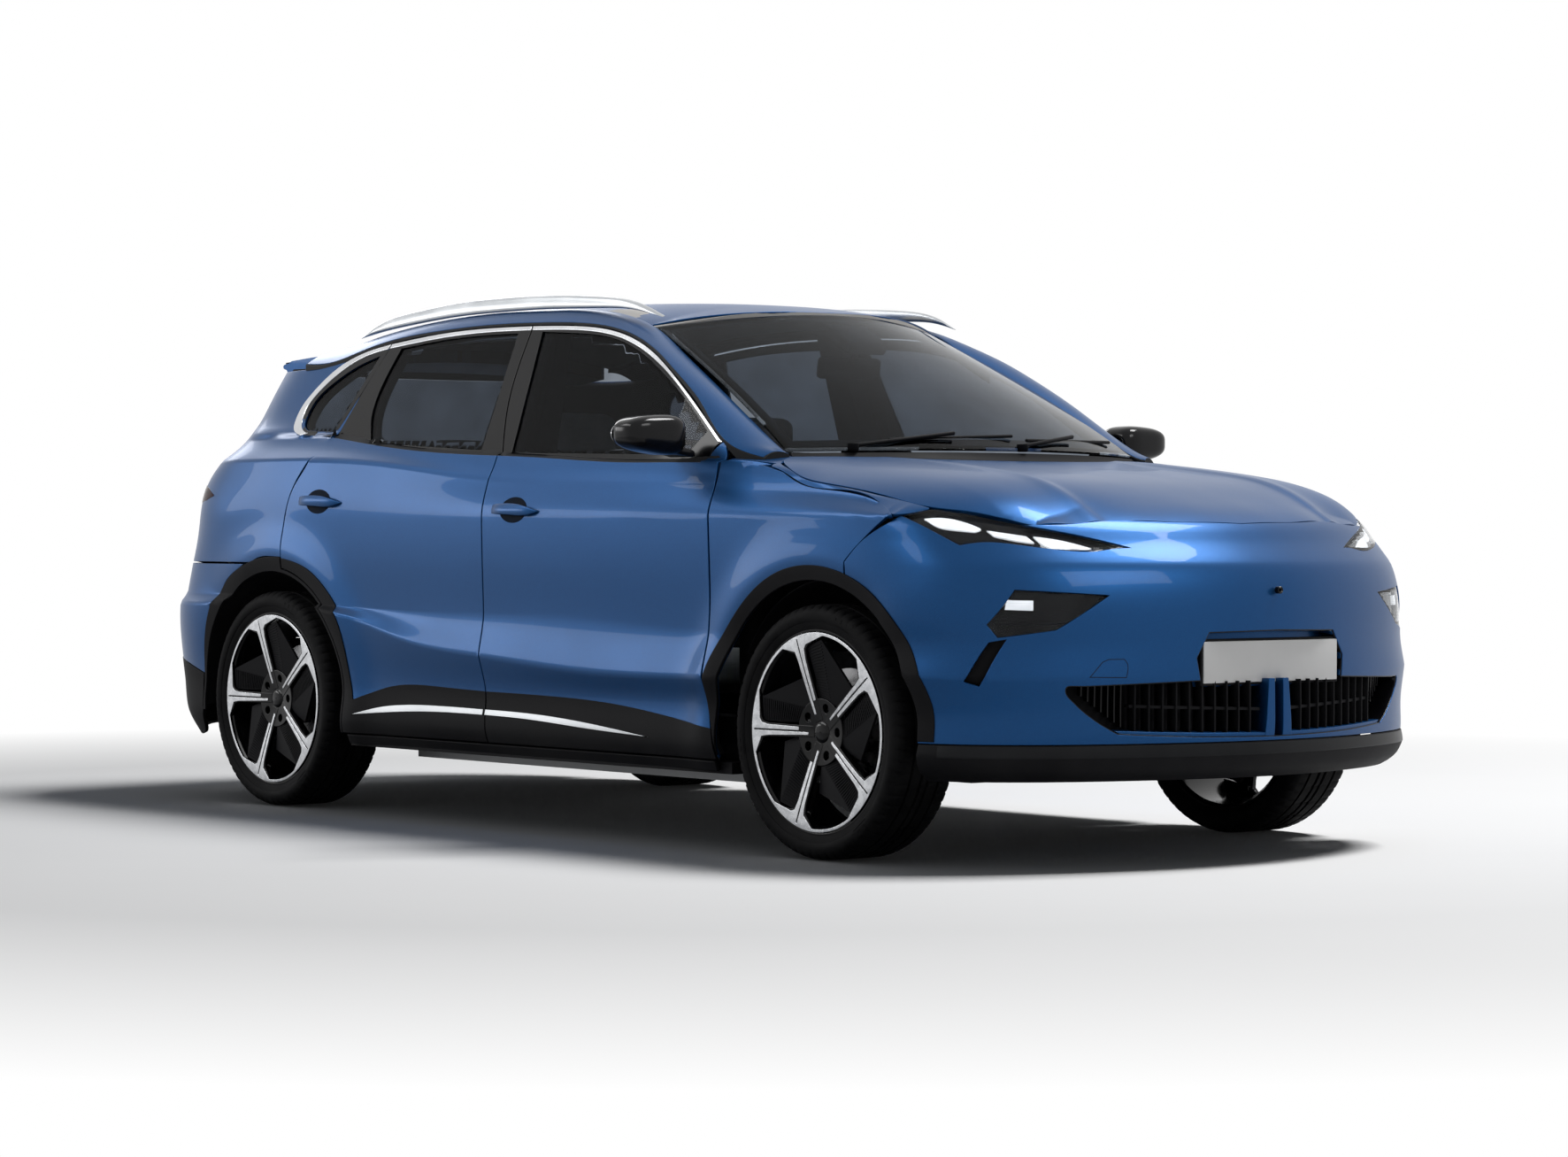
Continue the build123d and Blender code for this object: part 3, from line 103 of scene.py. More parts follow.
belt_z = spline([(-1600, 1240), (-1200, 1204), (-772, 1158), (-387, 1133), (0, 1118), (416, 1098),
                 (900, 1090), (1250, 1062)])
belt_y = spline([(-1600, 775), (-1200, 800), (-800, 822), (-400, 832), (0, 836), (500, 836),
                 (900, 838), (1250, 835)])
shoulder_z = spline([(-1950, 1100), (-1650, 1123), (-1320, 1121), (-1000, 1116), (-560, 1084),
                     (-230, 1053), (440, 1034), (850, 1024), (1360, 1000), (1800, 935)])
shoulder_y = spline([(-1950, 820), (-1500, 872), (-1000, 872), (-500, 864), (0, 862), (500, 860),
                     (907, 856), (1360, 850), (1800, 862)])
crease_z = spline([(-1900, 640), (-836, 614), (-616, 563), (-164, 517), (298, 487), (851, 486),
                   (1800, 520)])
catch_z = spline([(-1900, 700), (-695, 650), (-196, 650), (267, 650), (647, 630), (1800, 610)])
swell_y = spline([(-1950, -12), (-1370, 8), (-900, 2), (0, 0), (900, 2), (1360, 8), (1800, 4)])
front_x = spline([(200, -75), (250, -40), (300, -14), (344, -3), (420, 0), (547, -3), (660, -11),
                  (737, -21), (790, -36), (806, -44), (822, -57), (872, -103), (922, -150), (985, -278),
                  (1030, -438), (1062, -638)])
rear_x = spline([(200, 86), (300, 36), (420, 3), (530, 0), (650, 12), (760, 40), (850, 70),
                 (950, 88), (1040, 108), (1090, 150), (1140, 215), (1300, 290), (1450, 350)])
FRONT_PLAN = ((0, 0), (-25, 250), (-103, 520), (-226, 745), (-345, 848), (-545, 905), (-700, 905))
REAR_PLAN = ((0, 0), (16, 250), (58, 500), (125, 720), (250, 850), (480, 905), (640, 905))
CREASE_Y, CATCH_Y, WAIST_Y, UPPER_Y = 912.0, 889.0, 892.0, 889.0
SILL_Y, CLADDING_Y, CLADDING_TOP_Y = 870.0, 902.0, 892.0
FLARE = 16.0


def glass_y(x, z):
    """Half width of the side windows' surface, which leans in and tapers to both ends."""
    rear = np.where(x < -1300, ((-1300 - x) / 450.0) ** 2 * 45, 0)
    front = np.where(x > 500, ((x - 500) / 500.0) ** 2 * 42, 0)
    return 1290 - 0.42 * z - rear - front


def side_y(x, z):
    """Half width of the whole body side at length x and height z."""
    x, z = np.broadcast_arrays(np.asarray(x, float), np.asarray(z, float))
    swell = swell_y(x)
    belt, shoulder, crease, catch = belt_z(x), shoulder_z(x), crease_z(x), catch_z(x)
    lower = section([200, 300, 405, crease],
                    [SILL_Y + swell, CLADDING_Y + swell, CLADDING_TOP_Y + swell, CREASE_Y + swell], z)
    middle = section([crease, catch, 800, 930, shoulder],
                     [CREASE_Y + swell, CATCH_Y + swell, WAIST_Y + swell, UPPER_Y + swell,
                      shoulder_y(x)], z)
    ledge = 0.42 * shoulder_y(x) + 0.58 * belt_y(x)
    top = section([shoulder, 0.5 * (shoulder + belt), belt], [shoulder_y(x), ledge, belt_y(x)], z)
    body = np.where(z < crease, lower, np.where(z < shoulder, middle, top))
    for axle in (FRONT_AXLE_X, REAR_ARCH_X):
        ring = np.hypot(x - axle, z - TYRE_RADIUS)
        fade = np.clip((shoulder - z) / 120.0, 0, 1)
        body = body + fade * FLARE * np.exp(-(((ring - ARCH_RADIUS - 56) / 75.0) ** 2))
    ease = np.clip((-1150 - x) / 150.0, 0, 1) * (belt_y(x) - glass_y(x, belt))
    upper = glass_y(x, z) + ease * np.exp(-np.abs(z - belt) / 40.0)
    return np.where(z > belt, upper, body)


class Wrap:
    """The body's plan curve at each height, round the nose (end 1) or the tail (end -1).

    A place on it is its distance along the curve from the centreline, and its height.
    """

    def __init__(self, end, reach):
        self.end, self.reach, self.known = end, reach, {}

    def curve(self, z):
        key = round(float(z), 2)
        if key not in self.known:
            end = self.end
            plan = FRONT_PLAN if end > 0 else REAR_PLAN
            tip = NOSE_X + float(front_x(key)) if end > 0 else TAIL_X + float(rear_x(key))
            width = float(side_y(tip + plan[5][0], key)) / 905.0
            points = [(tip + back, half * width) for back, half in plan[:5]]
            points += [(tip + back, float(side_y(tip + back, key))) for back, _ in plan[5:]]
            stations = np.linspace(points[-1][0], self.reach, 6)[1:]
            points += [(float(x), float(side_y(x, key))) for x in stations]
            points = np.array([(points[1][0], -points[1][1])] + points)
            along = np.concatenate([[0], np.cumsum(np.hypot(*np.diff(points, axis=0).T))])
            along = along - along[1]
            xs = spline(np.c_[along, points[:, 0]])
            ys = spline(np.c_[along, points[:, 1]])
            table = np.linspace(0, along[-1], 240)
            self.known[key] = (xs, ys, table, xs(table), ys(table))
        return self.known[key]

    def point(self, s, z):
        s, z = np.asarray(s, float), np.round(np.asarray(z, float), 2)
        result = np.zeros((len(s), 3))
        for height in np.unique(z):
            pick = z == height
            xs, ys = self.curve(height)[:2]
            at = np.abs(s[pick])
            result[pick] = np.c_[xs(at), np.sign(s[pick] + 1e-9) * ys(at), np.full(len(at), height)]
        return result

    def at_y(self, y, z):
        """Distance along the curve where its half width is y."""
        _, _, table, _, ys = self.curve(z)
        top = int(np.argmax(ys))
        return float(np.sign(y) * np.interp(abs(y), ys[: top + 1], table[: top + 1]))

    def at_x(self, x, z):
        """Distance along the curve where its length is x, on the left side."""
        _, _, table, xs, _ = self.curve(z)
        order = -self.end
        return float(np.interp(order * x, order * xs, table))


nose, tail = Wrap(1, 1300.0), Wrap(-1, -960.0)


# ------------------------------------------------------------------ outlines
def sample_run(run, spacing):
    """A run of an outline as close points: smooth when it has three or more."""
    run = np.array(run, float)
    along = np.concatenate([[0], np.cumsum(np.hypot(*np.diff(run, axis=0).T))])
    at = np.linspace(0, along[-1], max(2, int(math.ceil(along[-1] / spacing)) + 1))
    if len(run) == 2:
        return run[0] + (run[1] - run[0]) * (at / along[-1])[:, None]
    return np.c_[spline(np.c_[along, run[:, 0]])(at), spline(np.c_[along, run[:, 1]])(at)]


def loop(runs, spacing=9.0, inset=0.0):
    """A closed outline from its runs, as close points, moved inwards by an amount."""
    parts = [sample_run(run, spacing) for run in runs if len(run) > 1]
    points = np.vstack([part[:-1] if np.hypot(*(part[-1] - parts[(i + 1) % len(parts)][0])) < 0.5
                        else part for i, part in enumerate(parts)])
    return offset_loop(points, inset) if inset else points


def area(points):
    """The signed area inside a closed outline."""
    ahead = np.roll(points, -1, axis=0)
    return 0.5 * float(np.sum(points[:, 0] * ahead[:, 1] - ahead[:, 0] * points[:, 1]))


def offset_loop(points, inset):
    """Moves each edge of a closed outline inwards, with the corners where the edges then meet."""
    turn = 1.0 if area(points) > 0 else -1.0
    before, ahead = np.roll(points, 1, axis=0), np.roll(points, -1, axis=0)
    first, second = points - before, ahead - points
    first = first / np.maximum(np.hypot(*first.T), 1e-9)[:, None]
    second = second / np.maximum(np.hypot(*second.T), 1e-9)[:, None]
    inward_a = turn * np.c_[-first[:, 1], first[:, 0]]
    inward_b = turn * np.c_[-second[:, 1], second[:, 0]]
    both = inward_a + inward_b
    size = np.maximum(np.sum(both * both, axis=1), 0.6)
    return points + both * (2 * inset / size)[:, None]


def inside(points, loops):
    """Which points lie inside the first loop and outside the others."""
    result = None
    for polygon in loops:
        x0, y0 = polygon.T
        x1, y1 = np.roll(polygon, -1, axis=0).T
        hit = np.zeros(len(points), bool)
        for a, b, c, d in zip(x0, y0, x1, y1):
            if b == d:
                continue
            cross = (points[:, 1] < b) != (points[:, 1] < d)
            hit ^= cross & (points[:, 0] < a + (points[:, 1] - b) * (c - a) / (d - b))
        result = hit if result is None else result & ~hit
    return result


def far_from(points, loops, distance):
    """Which points are at least this far from every outline."""
    keep = np.ones(len(points), bool)
    for polygon in loops:
        ahead = np.roll(polygon, -1, axis=0)
        for a, b in zip(polygon, ahead):
            near = (np.abs(points[:, 0] - (a[0] + b[0]) / 2) < distance + abs(a[0] - b[0])) & (
                np.abs(points[:, 1] - (a[1] + b[1]) / 2) < distance + abs(a[1] - b[1])) & keep
            if not near.any():
                continue
            edge = b - a
            t = np.clip(((points[near] - a) @ edge) / max(edge @ edge, 1e-9), 0, 1)
            gap = np.hypot(*(points[near] - a - t[:, None] * edge).T)
            keep[np.flatnonzero(near)[gap < distance]] = False
    return keep


def even_grid(loops, step):
    """Square grid points over an outline, and no fixed lines."""
    low, high = loops[0].min(axis=0), loops[0].max(axis=0)
    counts = np.maximum(np.ceil((high - low) / step).astype(int), 1) + 1
    u, v = np.meshgrid(np.linspace(low[0], high[0], counts[0]), np.linspace(low[1], high[1], counts[1]))
    return np.c_[u.ravel(), v.ravel()], []


def line_grid(lines):
    """A grid maker whose rows follow the body's lines; each line gives a height for a place u."""
    def make(loops, step):
        low, high = loops[0].min(axis=0), loops[0].max(axis=0)
        stations = np.linspace(low[0], high[0], max(2, int((high[0] - low[0]) / step) + 1))
        levels = [np.full(len(stations), low[1])]
        levels += [np.clip(line(stations), low[1], high[1]) for line in lines]
        levels += [np.full(len(stations), high[1])]
        rows, fixed = [], []
        for number, (a, b) in enumerate(zip(levels, levels[1:])):
            count = max(1, int(round(float(np.max(b - a)) / step)))
            for part in range(count):
                if part == 0 and number > 0:
                    fixed.append(len(rows))
                rows.append(a + (b - a) * part / count)
        rows.append(levels[-1])
        points = np.vstack([np.c_[stations, row] for row in rows])
        links = [(row * len(stations) + i, row * len(stations) + i + 1)
                 for row in fixed for i in range(len(stations) - 1)]
        return points, links

    return make


def split_at_lines(points, lines):
    """Adds a point wherever an outline crosses one of the body's lines."""
    for line in lines:
        value = points[:, 1] - line(points[:, 0])
        ahead = np.roll(value, -1)
        following = np.roll(points, -1, axis=0)
        result = []
        for i, point in enumerate(points):
            result.append(point)
            if value[i] * ahead[i] < 0 and min(abs(value[i]), abs(ahead[i])) > 1.0:
                t = value[i] / (value[i] - ahead[i])
                result.append(point + t * (following[i] - point))
        points = np.array(result)
    return points


# ------------------------------------------------------------------ making meshes
def finish_piece(obj, body, material, replaces=()):
    """Gives a piece its material, its body and the CAD nodes that it stands for."""
    obj.data.materials.clear()
    obj.data.materials.append(material)
    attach(obj, body)
    if replaces:
        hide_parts(*replaces)
    return obj


def mesh_object(name, vertices, faces, normals=None):
    """A mesh object in metres from points in millimetres."""
    mesh = bpy.data.meshes.new(name)
    mesh.from_pydata([tuple(point * MM) for point in np.asarray(vertices, float)], [], faces)
    mesh.validate()
    mesh.polygons.foreach_set("use_smooth", np.ones(len(mesh.polygons), bool))
    if normals is not None:
        mesh.normals_split_custom_set_from_vertices([tuple(n) for n in normals])
    mesh.update()
    obj = bpy.data.objects.new(name, mesh)
    bpy.context.scene.collection.objects.link(obj)
    return obj


def unit(vectors):
    """Each vector at length 1."""
    return vectors / np.maximum(np.linalg.norm(vectors, axis=1), 1e-9)[:, None]


CORE = np.array([0.0, 0.0, 650.0])


def panel_arrays(loops, surface, depth, step=14.0, edge=1.3, lines=(), lift=0.0, core=CORE):
    """A closed curved panel: its outer face, rounded edges, side walls and inner face."""
    loops = [split_at_lines(np.array(points), lines) for points in loops]
    grid, links = (line_grid(lines) if lines else even_grid)(loops, step)
    keep = inside(grid, loops) & far_from(grid, loops, step * 0.42)
    index = -np.ones(len(grid), int)
    index[keep] = np.arange(keep.sum())
    points = [grid[keep]]
    edges = [(int(index[a]), int(index[b])) for a, b in links if keep[a] and keep[b]]
    count = int(keep.sum())
    for polygon in loops:
        size = len(polygon)
        points.append(polygon)
        edges += [(count + i, count + (i + 1) % size) for i in range(size)]
        count += size
    flat = np.vstack(points)
    found = delaunay_2d_cdt([Vector(p) for p in flat], edges, [], 0, 1e-4, False)
    plan = np.array([tuple(p) for p in found[0]])
    faces = np.array([face for face in found[2] if len(face) == 3], int)
    faces = faces[inside(plan[faces].mean(axis=1), loops)]
    corners = plan[faces]
    turn = np.cross(corners[:, 1] - corners[:, 0], corners[:, 2] - corners[:, 0])
    faces[turn < 0] = faces[turn < 0][:, ::-1]
    faces = faces[np.abs(turn) > 1e-6]
    used = np.unique(faces)
    renumber = -np.ones(len(plan), int)
    renumber[used] = np.arange(len(used))
    plan, faces = plan[used], renumber[faces]

    tiny = 0.4
    place = surface(plan[:, 0], plan[:, 1])
    along_u = surface(plan[:, 0] + tiny, plan[:, 1]) - surface(plan[:, 0] - tiny, plan[:, 1])
    along_v = surface(plan[:, 0], plan[:, 1] + tiny) - surface(plan[:, 0], plan[:, 1] - tiny)
    normal = unit(np.cross(along_u, along_v))
    if float(np.sum(normal * (place - core))) < 0:
        normal = -normal
        faces = faces[:, ::-1]
    place = place + lift * normal

    links = {}
    for face in faces:
        for a, b in zip(face, np.roll(face, -1)):
            links[(int(a), int(b))] = True
    border = {a: b for a, b in links if (b, a) not in links}
    rim = np.array(sorted(border))
    order = {vertex: i for i, vertex in enumerate(rim)}
    following = np.array([border[vertex] for vertex in rim])
    previous = np.zeros(len(plan), int)
    for a, b in border.items():
        previous[b] = a
    tangent = unit(place[following] - place[previous[rim]])
    outward = unit(np.cross(tangent, normal[rim]))
    base = place[rim]
    inner = place - normal * depth
    place[rim] = base - outward * edge
    ring_one = base - outward * edge * 0.3 - normal[rim] * edge * 0.3
    ring_two = base - normal[rim] * edge
    count, size = len(place), len(rim)
    vertices = np.vstack([place, ring_one, ring_two, inner])
    normals = np.vstack([normal, unit(normal[rim] + outward), unit(outward + 0.2 * normal[rim]), -normal])
    normals[count + size * 2 + rim] = unit(outward - normal[rim])
    solid = [tuple(face) for face in faces]
    for a, b in border.items():
        i, j = order[a], order[b]
        solid.append((b, a, count + i, count + j))
        solid.append((count + j, count + i, count + size + i, count + size + j))
        solid.append((count + size + j, count + size + i, count + 2 * size + a, count + 2 * size + b))
    solid += [tuple(count + 2 * size + face[::-1]) for face in faces]
    return vertices, solid, normals


def flip(arrays):
    """The right-hand image of a left-hand shape."""
    vertices, faces, normals = arrays
    mirror = np.array([1, -1, 1])
    return vertices * mirror, [tuple(face[::-1]) for face in faces], normals * mirror


def join(*shapes):
    """Several shapes as one."""
    vertices, faces, normals, start = [], [], [], 0
    for place, sides, directions in shapes:
        vertices.append(place)
        normals.append(directions)
        faces += [tuple(int(start + i) for i in face) for face in sides]
        start += len(place)
    return np.vstack(vertices), faces, np.vstack(normals)


def build(name, arrays):
    """A mesh object from its vertices, faces and normals."""
    return mesh_object(name, *arrays)


def side_surface(sink=0.0):
    """The body side's surface, a sink below the paint, for places given by length and height."""
    return lambda x, z: np.c_[x, side_y(x, z) - sink, z]


SIDE_LINES = (crease_z, catch_z, shoulder_z, lambda x: belt_z(x) - 1.0)


# ------------------------------------------------------------------ shared material effects
def new_group(name, inputs, outputs):
    """An empty shader node group with named sockets."""
    group = bpy.data.node_groups.new(name, "ShaderNodeTree")
    for label, kind, value in inputs:
        socket = group.interface.new_socket(label, in_out="INPUT", socket_type=kind)
        socket.default_value = value
    for label, kind in outputs:
        group.interface.new_socket(label, in_out="OUTPUT", socket_type=kind)
    return group, group.nodes.new("NodeGroupInput"), group.nodes.new("NodeGroupOutput")


def add_node(tree, kind, links=(), **settings):
    """Adds a node, sets its fields and sockets, and links its inputs."""
    node = tree.nodes.new(kind)
    for key, value in settings.items():
        if hasattr(node, key):
            setattr(node, key, value)
        else:
            node.inputs[key.replace("_", " ")].default_value = value
    for socket, source in links:
        tree.links.new(source, node.inputs[socket])
    return node


def map_range(tree, source, low, high, to_low, to_high):
    """A node that maps a value from one range to another."""
    node = tree.nodes.new("ShaderNodeMapRange")
    for socket, value in (("From Min", low), ("From Max", high), ("To Min", to_low), ("To Max", to_high)):
        node.inputs[socket].default_value = value
    tree.links.new(source, node.inputs["Value"])
    return node.outputs["Result"]


def make_cloudy_group():
    """Soft uneven tone: a mask from 0 to 1, and a fine roughness change."""
    group, start, end = new_group(
        "cloudy_tone", [("Vector", "NodeSocketVector", (0, 0, 0)), ("Scale", "NodeSocketFloat", 5.0),
                        ("Low", "NodeSocketFloat", 0.3), ("High", "NodeSocketFloat", 0.4)],
        [("Mask", "NodeSocketFloat"), ("Roughness", "NodeSocketFloat")])
    noise = add_node(group, "ShaderNodeTexNoise", [("Vector", start.outputs["Vector"]),
                                                  ("Scale", start.outputs["Scale"])], Detail=4.0)
    mask = map_range(group, noise.outputs["Fac"], 0.35, 0.65, 0.0, 1.0)
    group.links.new(mask, end.inputs["Mask"])
    spread = group.nodes.new("ShaderNodeMapRange")
    group.links.new(mask, spread.inputs["Value"])
    group.links.new(start.outputs["Low"], spread.inputs["To Min"])
    group.links.new(start.outputs["High"], spread.inputs["To Max"])
    group.links.new(spread.outputs["Result"], end.inputs["Roughness"])
    return group


def make_grain_group():
    """Moulded plastic or leather grain: small rounded cells as a height."""
    group, start, end = new_group(
        "moulded_grain", [("Vector", "NodeSocketVector", (0, 0, 0)), ("Scale", "NodeSocketFloat", 600.0)],
        [("Height", "NodeSocketFloat")])
    cells = add_node(group, "ShaderNodeTexVoronoi", [("Vector", start.outputs["Vector"]),
                                                    ("Scale", start.outputs["Scale"])],
                     feature="SMOOTH_F1")
    noise = add_node(group, "ShaderNodeTexNoise", [("Vector", start.outputs["Vector"]),
                                                  ("Scale", start.outputs["Scale"])], Detail=2.0)
    total = add_node(group, "ShaderNodeMath", [(0, cells.outputs["Distance"]), (1, noise.outputs["Fac"])],
                     operation="ADD")
    group.links.new(total.outputs[0], end.inputs["Height"])
    return group


def make_weave_group():
    """Woven cloth: crossed threads as a height and a tone."""
    group, start, end = new_group(
        "cloth_weave", [("Vector", "NodeSocketVector", (0, 0, 0)), ("Scale", "NodeSocketFloat", 300.0)],
        [("Height", "NodeSocketFloat"), ("Tone", "NodeSocketFloat")])
    bands = []
    for direction in ("X", "Y", "Z"):
        wave = add_node(group, "ShaderNodeTexWave", [("Vector", start.outputs["Vector"]),
                                                    ("Scale", start.outputs["Scale"])],
                        bands_direction=direction, Distortion=1.5)
        bands.append(wave.outputs["Fac"])
    first = add_node(group, "ShaderNodeMath", [(0, bands[0]), (1, bands[1])], operation="MULTIPLY")
    second = add_node(group, "ShaderNodeMath", [(0, first.outputs[0]), (1, bands[2])], operation="ADD")
    group.links.new(second.outputs[0], end.inputs["Height"])
    group.links.new(second.outputs[0], end.inputs["Tone"])
    return group


cloudy, grain, weave = make_cloudy_group(), make_grain_group(), make_weave_group()


def new_material(name):
    """A material with an empty Principled BSDF; gives its tree, shader and object coordinates."""
    material = bpy.data.materials.new(name)
    material.use_nodes = True
    tree = material.node_tree
    shader = tree.nodes["Principled BSDF"]
    place = tree.nodes.new("ShaderNodeTexCoord").outputs["Object"]
    return material, tree, shader, place


def group_node(tree, group, place, **values):
    """A shared effect placed in a material, with its own values."""
    node = tree.nodes.new("ShaderNodeGroup")
    node.node_tree = group
    tree.links.new(place, node.inputs["Vector"])
    for key, value in values.items():
        node.inputs[key].default_value = value
    return node


def mixed_colour(tree, mask, first, second):
    """Two colours mixed by a mask."""
    mix = tree.nodes.new("ShaderNodeMix")
    mix.data_type = "RGBA"
    mix.inputs[6].default_value = (*first, 1)
    mix.inputs[7].default_value = (*second, 1)
    tree.links.new(mask, mix.inputs["Factor"])
    return mix.outputs[2]


def add_bump(tree, shader, height, strength, distance):
    """A fine relief on a material's surface."""
    bump = add_node(tree, "ShaderNodeBump", [("Height", height)], Strength=strength, Distance=distance)
    tree.links.new(bump.outputs["Normal"], shader.inputs["Normal"])


def plain_finish(name, dark, light, rough=(0.3, 0.45), metal=0.0, tone_scale=4.0, grain_scale=0.0,
                 bump=0.1, depth=0.0002, coat=0.0, coat_rough=0.03, specular=0.5):
    """A finish with an uneven tone, an uneven gloss and, where asked, a grain."""
    material, tree, shader, place = new_material(name)
    tone = group_node(tree, cloudy, place, Scale=tone_scale, Low=rough[0], High=rough[1])
    tree.links.new(mixed_colour(tree, tone.outputs["Mask"], dark, light), shader.inputs["Base Color"])
    tree.links.new(tone.outputs["Roughness"], shader.inputs["Roughness"])
    shader.inputs["Metallic"].default_value = metal
    shader.inputs["Specular IOR Level"].default_value = specular
    shader.inputs["Coat Weight"].default_value = coat
    shader.inputs["Coat Roughness"].default_value = coat_rough
    if grain_scale:
        height = group_node(tree, grain, place, Scale=grain_scale).outputs["Height"]
        add_bump(tree, shader, height, bump, depth)
    return material


def make_paint():
    """Metallic blue: flakes of slightly different tone under a clear coat."""
    material, tree, shader, place = new_material("metallic_blue_paint")
    flakes = add_node(tree, "ShaderNodeTexVoronoi", [("Vector", place)], Scale=1600.0)
    tone = mixed_colour(tree, map_range(tree, flakes.outputs["Distance"], 0.0, 0.6, 0.0, 1.0),
                        PAINT_BRIGHT, PAINT_DEEP)
    tree.links.new(tone, shader.inputs["Base Color"])
    soft = group_node(tree, cloudy, place, Scale=3.0, Low=0.33, High=0.37)
    tree.links.new(soft.outputs["Roughness"], shader.inputs["Roughness"])
    shader.inputs["Metallic"].default_value = 0.6
    shader.inputs["Specular IOR Level"].default_value = 0.1
    shader.inputs["Coat Weight"].default_value = 0.12
    shader.inputs["Coat Roughness"].default_value = 0.02
    shader.inputs["Coat IOR"].default_value = 1.5
    return material


def make_glass(name, colour, rough=0.0, alpha=1.0):
    """Clear or tinted glass, with a trace of dust in its gloss."""
    material, tree, shader, place = new_material(name)
    dust = group_node(tree, cloudy, place, Scale=7.0, Low=rough, High=rough + 0.02)
    tree.links.new(dust.outputs["Roughness"], shader.inputs["Roughness"])
    edge = tuple(0.8 * value for value in colour)
    tree.links.new(mixed_colour(tree, dust.outputs["Mask"], colour, edge), shader.inputs["Base Color"])
    shader.inputs["Transmission Weight"].default_value = 1.0
    shader.inputs["IOR"].default_value = 1.12
    shader.inputs["Alpha"].default_value = alpha
    return material


def make_cloth(name, dark, light, scale):
    """A woven cloth in two tones of one colour."""
    material, tree, shader, place = new_material(name)
    threads = group_node(tree, weave, place, Scale=scale)
    tone = group_node(tree, cloudy, place, Scale=9.0, Low=0.8, High=0.92)
    tree.links.new(mixed_colour(tree, threads.outputs["Tone"], dark, light), shader.inputs["Base Color"])
    tree.links.new(tone.outputs["Roughness"], shader.inputs["Roughness"])
    shader.inputs["Sheen Weight"].default_value = 0.25
    add_bump(tree, shader, threads.outputs["Height"], 0.35, 0.0006)
    return material


def make_light(name, colour, strength):
    """A lit lamp element, with fine ribs across it."""
    material, tree, shader, place = new_material(name)
    ribs = add_node(tree, "ShaderNodeTexWave", [("Vector", place)], Scale=60.0, bands_direction="Z")
    low = tuple(0.82 * value for value in colour)
    tone = mixed_colour(tree, ribs.outputs["Fac"], low, colour)
    tree.links.new(tone, shader.inputs["Base Color"])
    tree.links.new(tone, shader.inputs["Emission Color"])
    shader.inputs["Emission Strength"].default_value = strength
    shader.inputs["Roughness"].default_value = 0.25
    return material


PAINT_BRIGHT = (0.013, 0.1, 0.28)
PAINT_DEEP = (0.004, 0.038, 0.125)
paint = make_paint()
black_plastic = plain_finish("grained_black_plastic", (0.005, 0.005, 0.006), (0.01, 0.01, 0.011),
                             (0.5, 0.6), grain_scale=900.0, bump=0.2, specular=0.05)
gloss_black = plain_finish("gloss_black", (0.002, 0.002, 0.0025), (0.004, 0.004, 0.005), (0.1, 0.16),
                           specular=0.18)
chrome = plain_finish("satin_chrome", (0.55, 0.56, 0.58), (0.64, 0.65, 0.67), (0.12, 0.2), metal=1.0)
silver = plain_finish("satin_silver", (0.36, 0.375, 0.39), (0.46, 0.475, 0.49), (0.3, 0.38), metal=1.0)
machined = plain_finish("machined_alloy", (0.46, 0.47, 0.49), (0.58, 0.59, 0.61), (0.2, 0.3), metal=1.0,
                        tone_scale=60.0)
satin_grey = plain_finish("satin_grey_plastic", (0.008, 0.0085, 0.0095), (0.013, 0.0135, 0.015), (0.3, 0.38),
                          specular=0.08)
rubber = plain_finish("tyre_rubber", (0.004, 0.004, 0.0045), (0.009, 0.009, 0.0095), (0.55, 0.7),
                      tone_scale=18.0, grain_scale=700.0, bump=0.15, specular=0.04)
seal_rubber = plain_finish("seal_rubber", (0.003, 0.003, 0.003), (0.006, 0.006, 0.006), (0.5, 0.65),
                           grain_scale=1200.0, specular=0.1)
coated_steel = plain_finish("coated_steel", (0.03, 0.03, 0.032), (0.055, 0.055, 0.058), (0.35, 0.55),
                            metal=0.5, grain_scale=300.0, bump=0.12)
cast_case = plain_finish("cast_aluminium", (0.2, 0.205, 0.21), (0.3, 0.305, 0.31), (0.4, 0.55), metal=0.8,
                         grain_scale=350.0, bump=0.2)
disc_steel = plain_finish("turned_steel", (0.3, 0.3, 0.31), (0.45, 0.45, 0.46), (0.22, 0.35), metal=1.0,
                          tone_scale=40.0)
trim_dark = plain_finish("dark_cabin_trim", (0.01, 0.0105, 0.0115), (0.018, 0.0185, 0.02), (0.6, 0.72),
                         grain_scale=700.0, bump=0.25, specular=0.15)
trim_light = plain_finish("pale_headlining", (0.3, 0.29, 0.28), (0.38, 0.37, 0.355), (0.8, 0.92),
                          grain_scale=1400.0, bump=0.2)
carpet = plain_finish("floor_carpet", (0.014, 0.014, 0.016), (0.03, 0.03, 0.033), (0.85, 0.97),
                      tone_scale=30.0, grain_scale=800.0, bump=0.6, depth=0.001)
plate_white = plain_finish("plate_plastic", (0.46, 0.46, 0.46), (0.5, 0.5, 0.497), (0.3, 0.4), specular=0.2)
seat_cloth = make_cloth("seat_cloth_pale", (0.26, 0.245, 0.225), (0.38, 0.36, 0.335), 260.0)
seat_side = plain_finish("seat_leather_dark", (0.03, 0.03, 0.033), (0.05, 0.05, 0.054), (0.45, 0.6),
                         grain_scale=500.0, bump=0.3)
window_glass = make_glass("tinted_window", (0.19, 0.215, 0.25))
screen_glass = make_glass("windscreen_glass", (0.2, 0.235, 0.28))
lamp_glass = make_glass("clear_lamp_cover", (0.92, 0.94, 0.96))
red_glass = make_glass("red_lamp_cover", (0.55, 0.02, 0.025), 0.05)
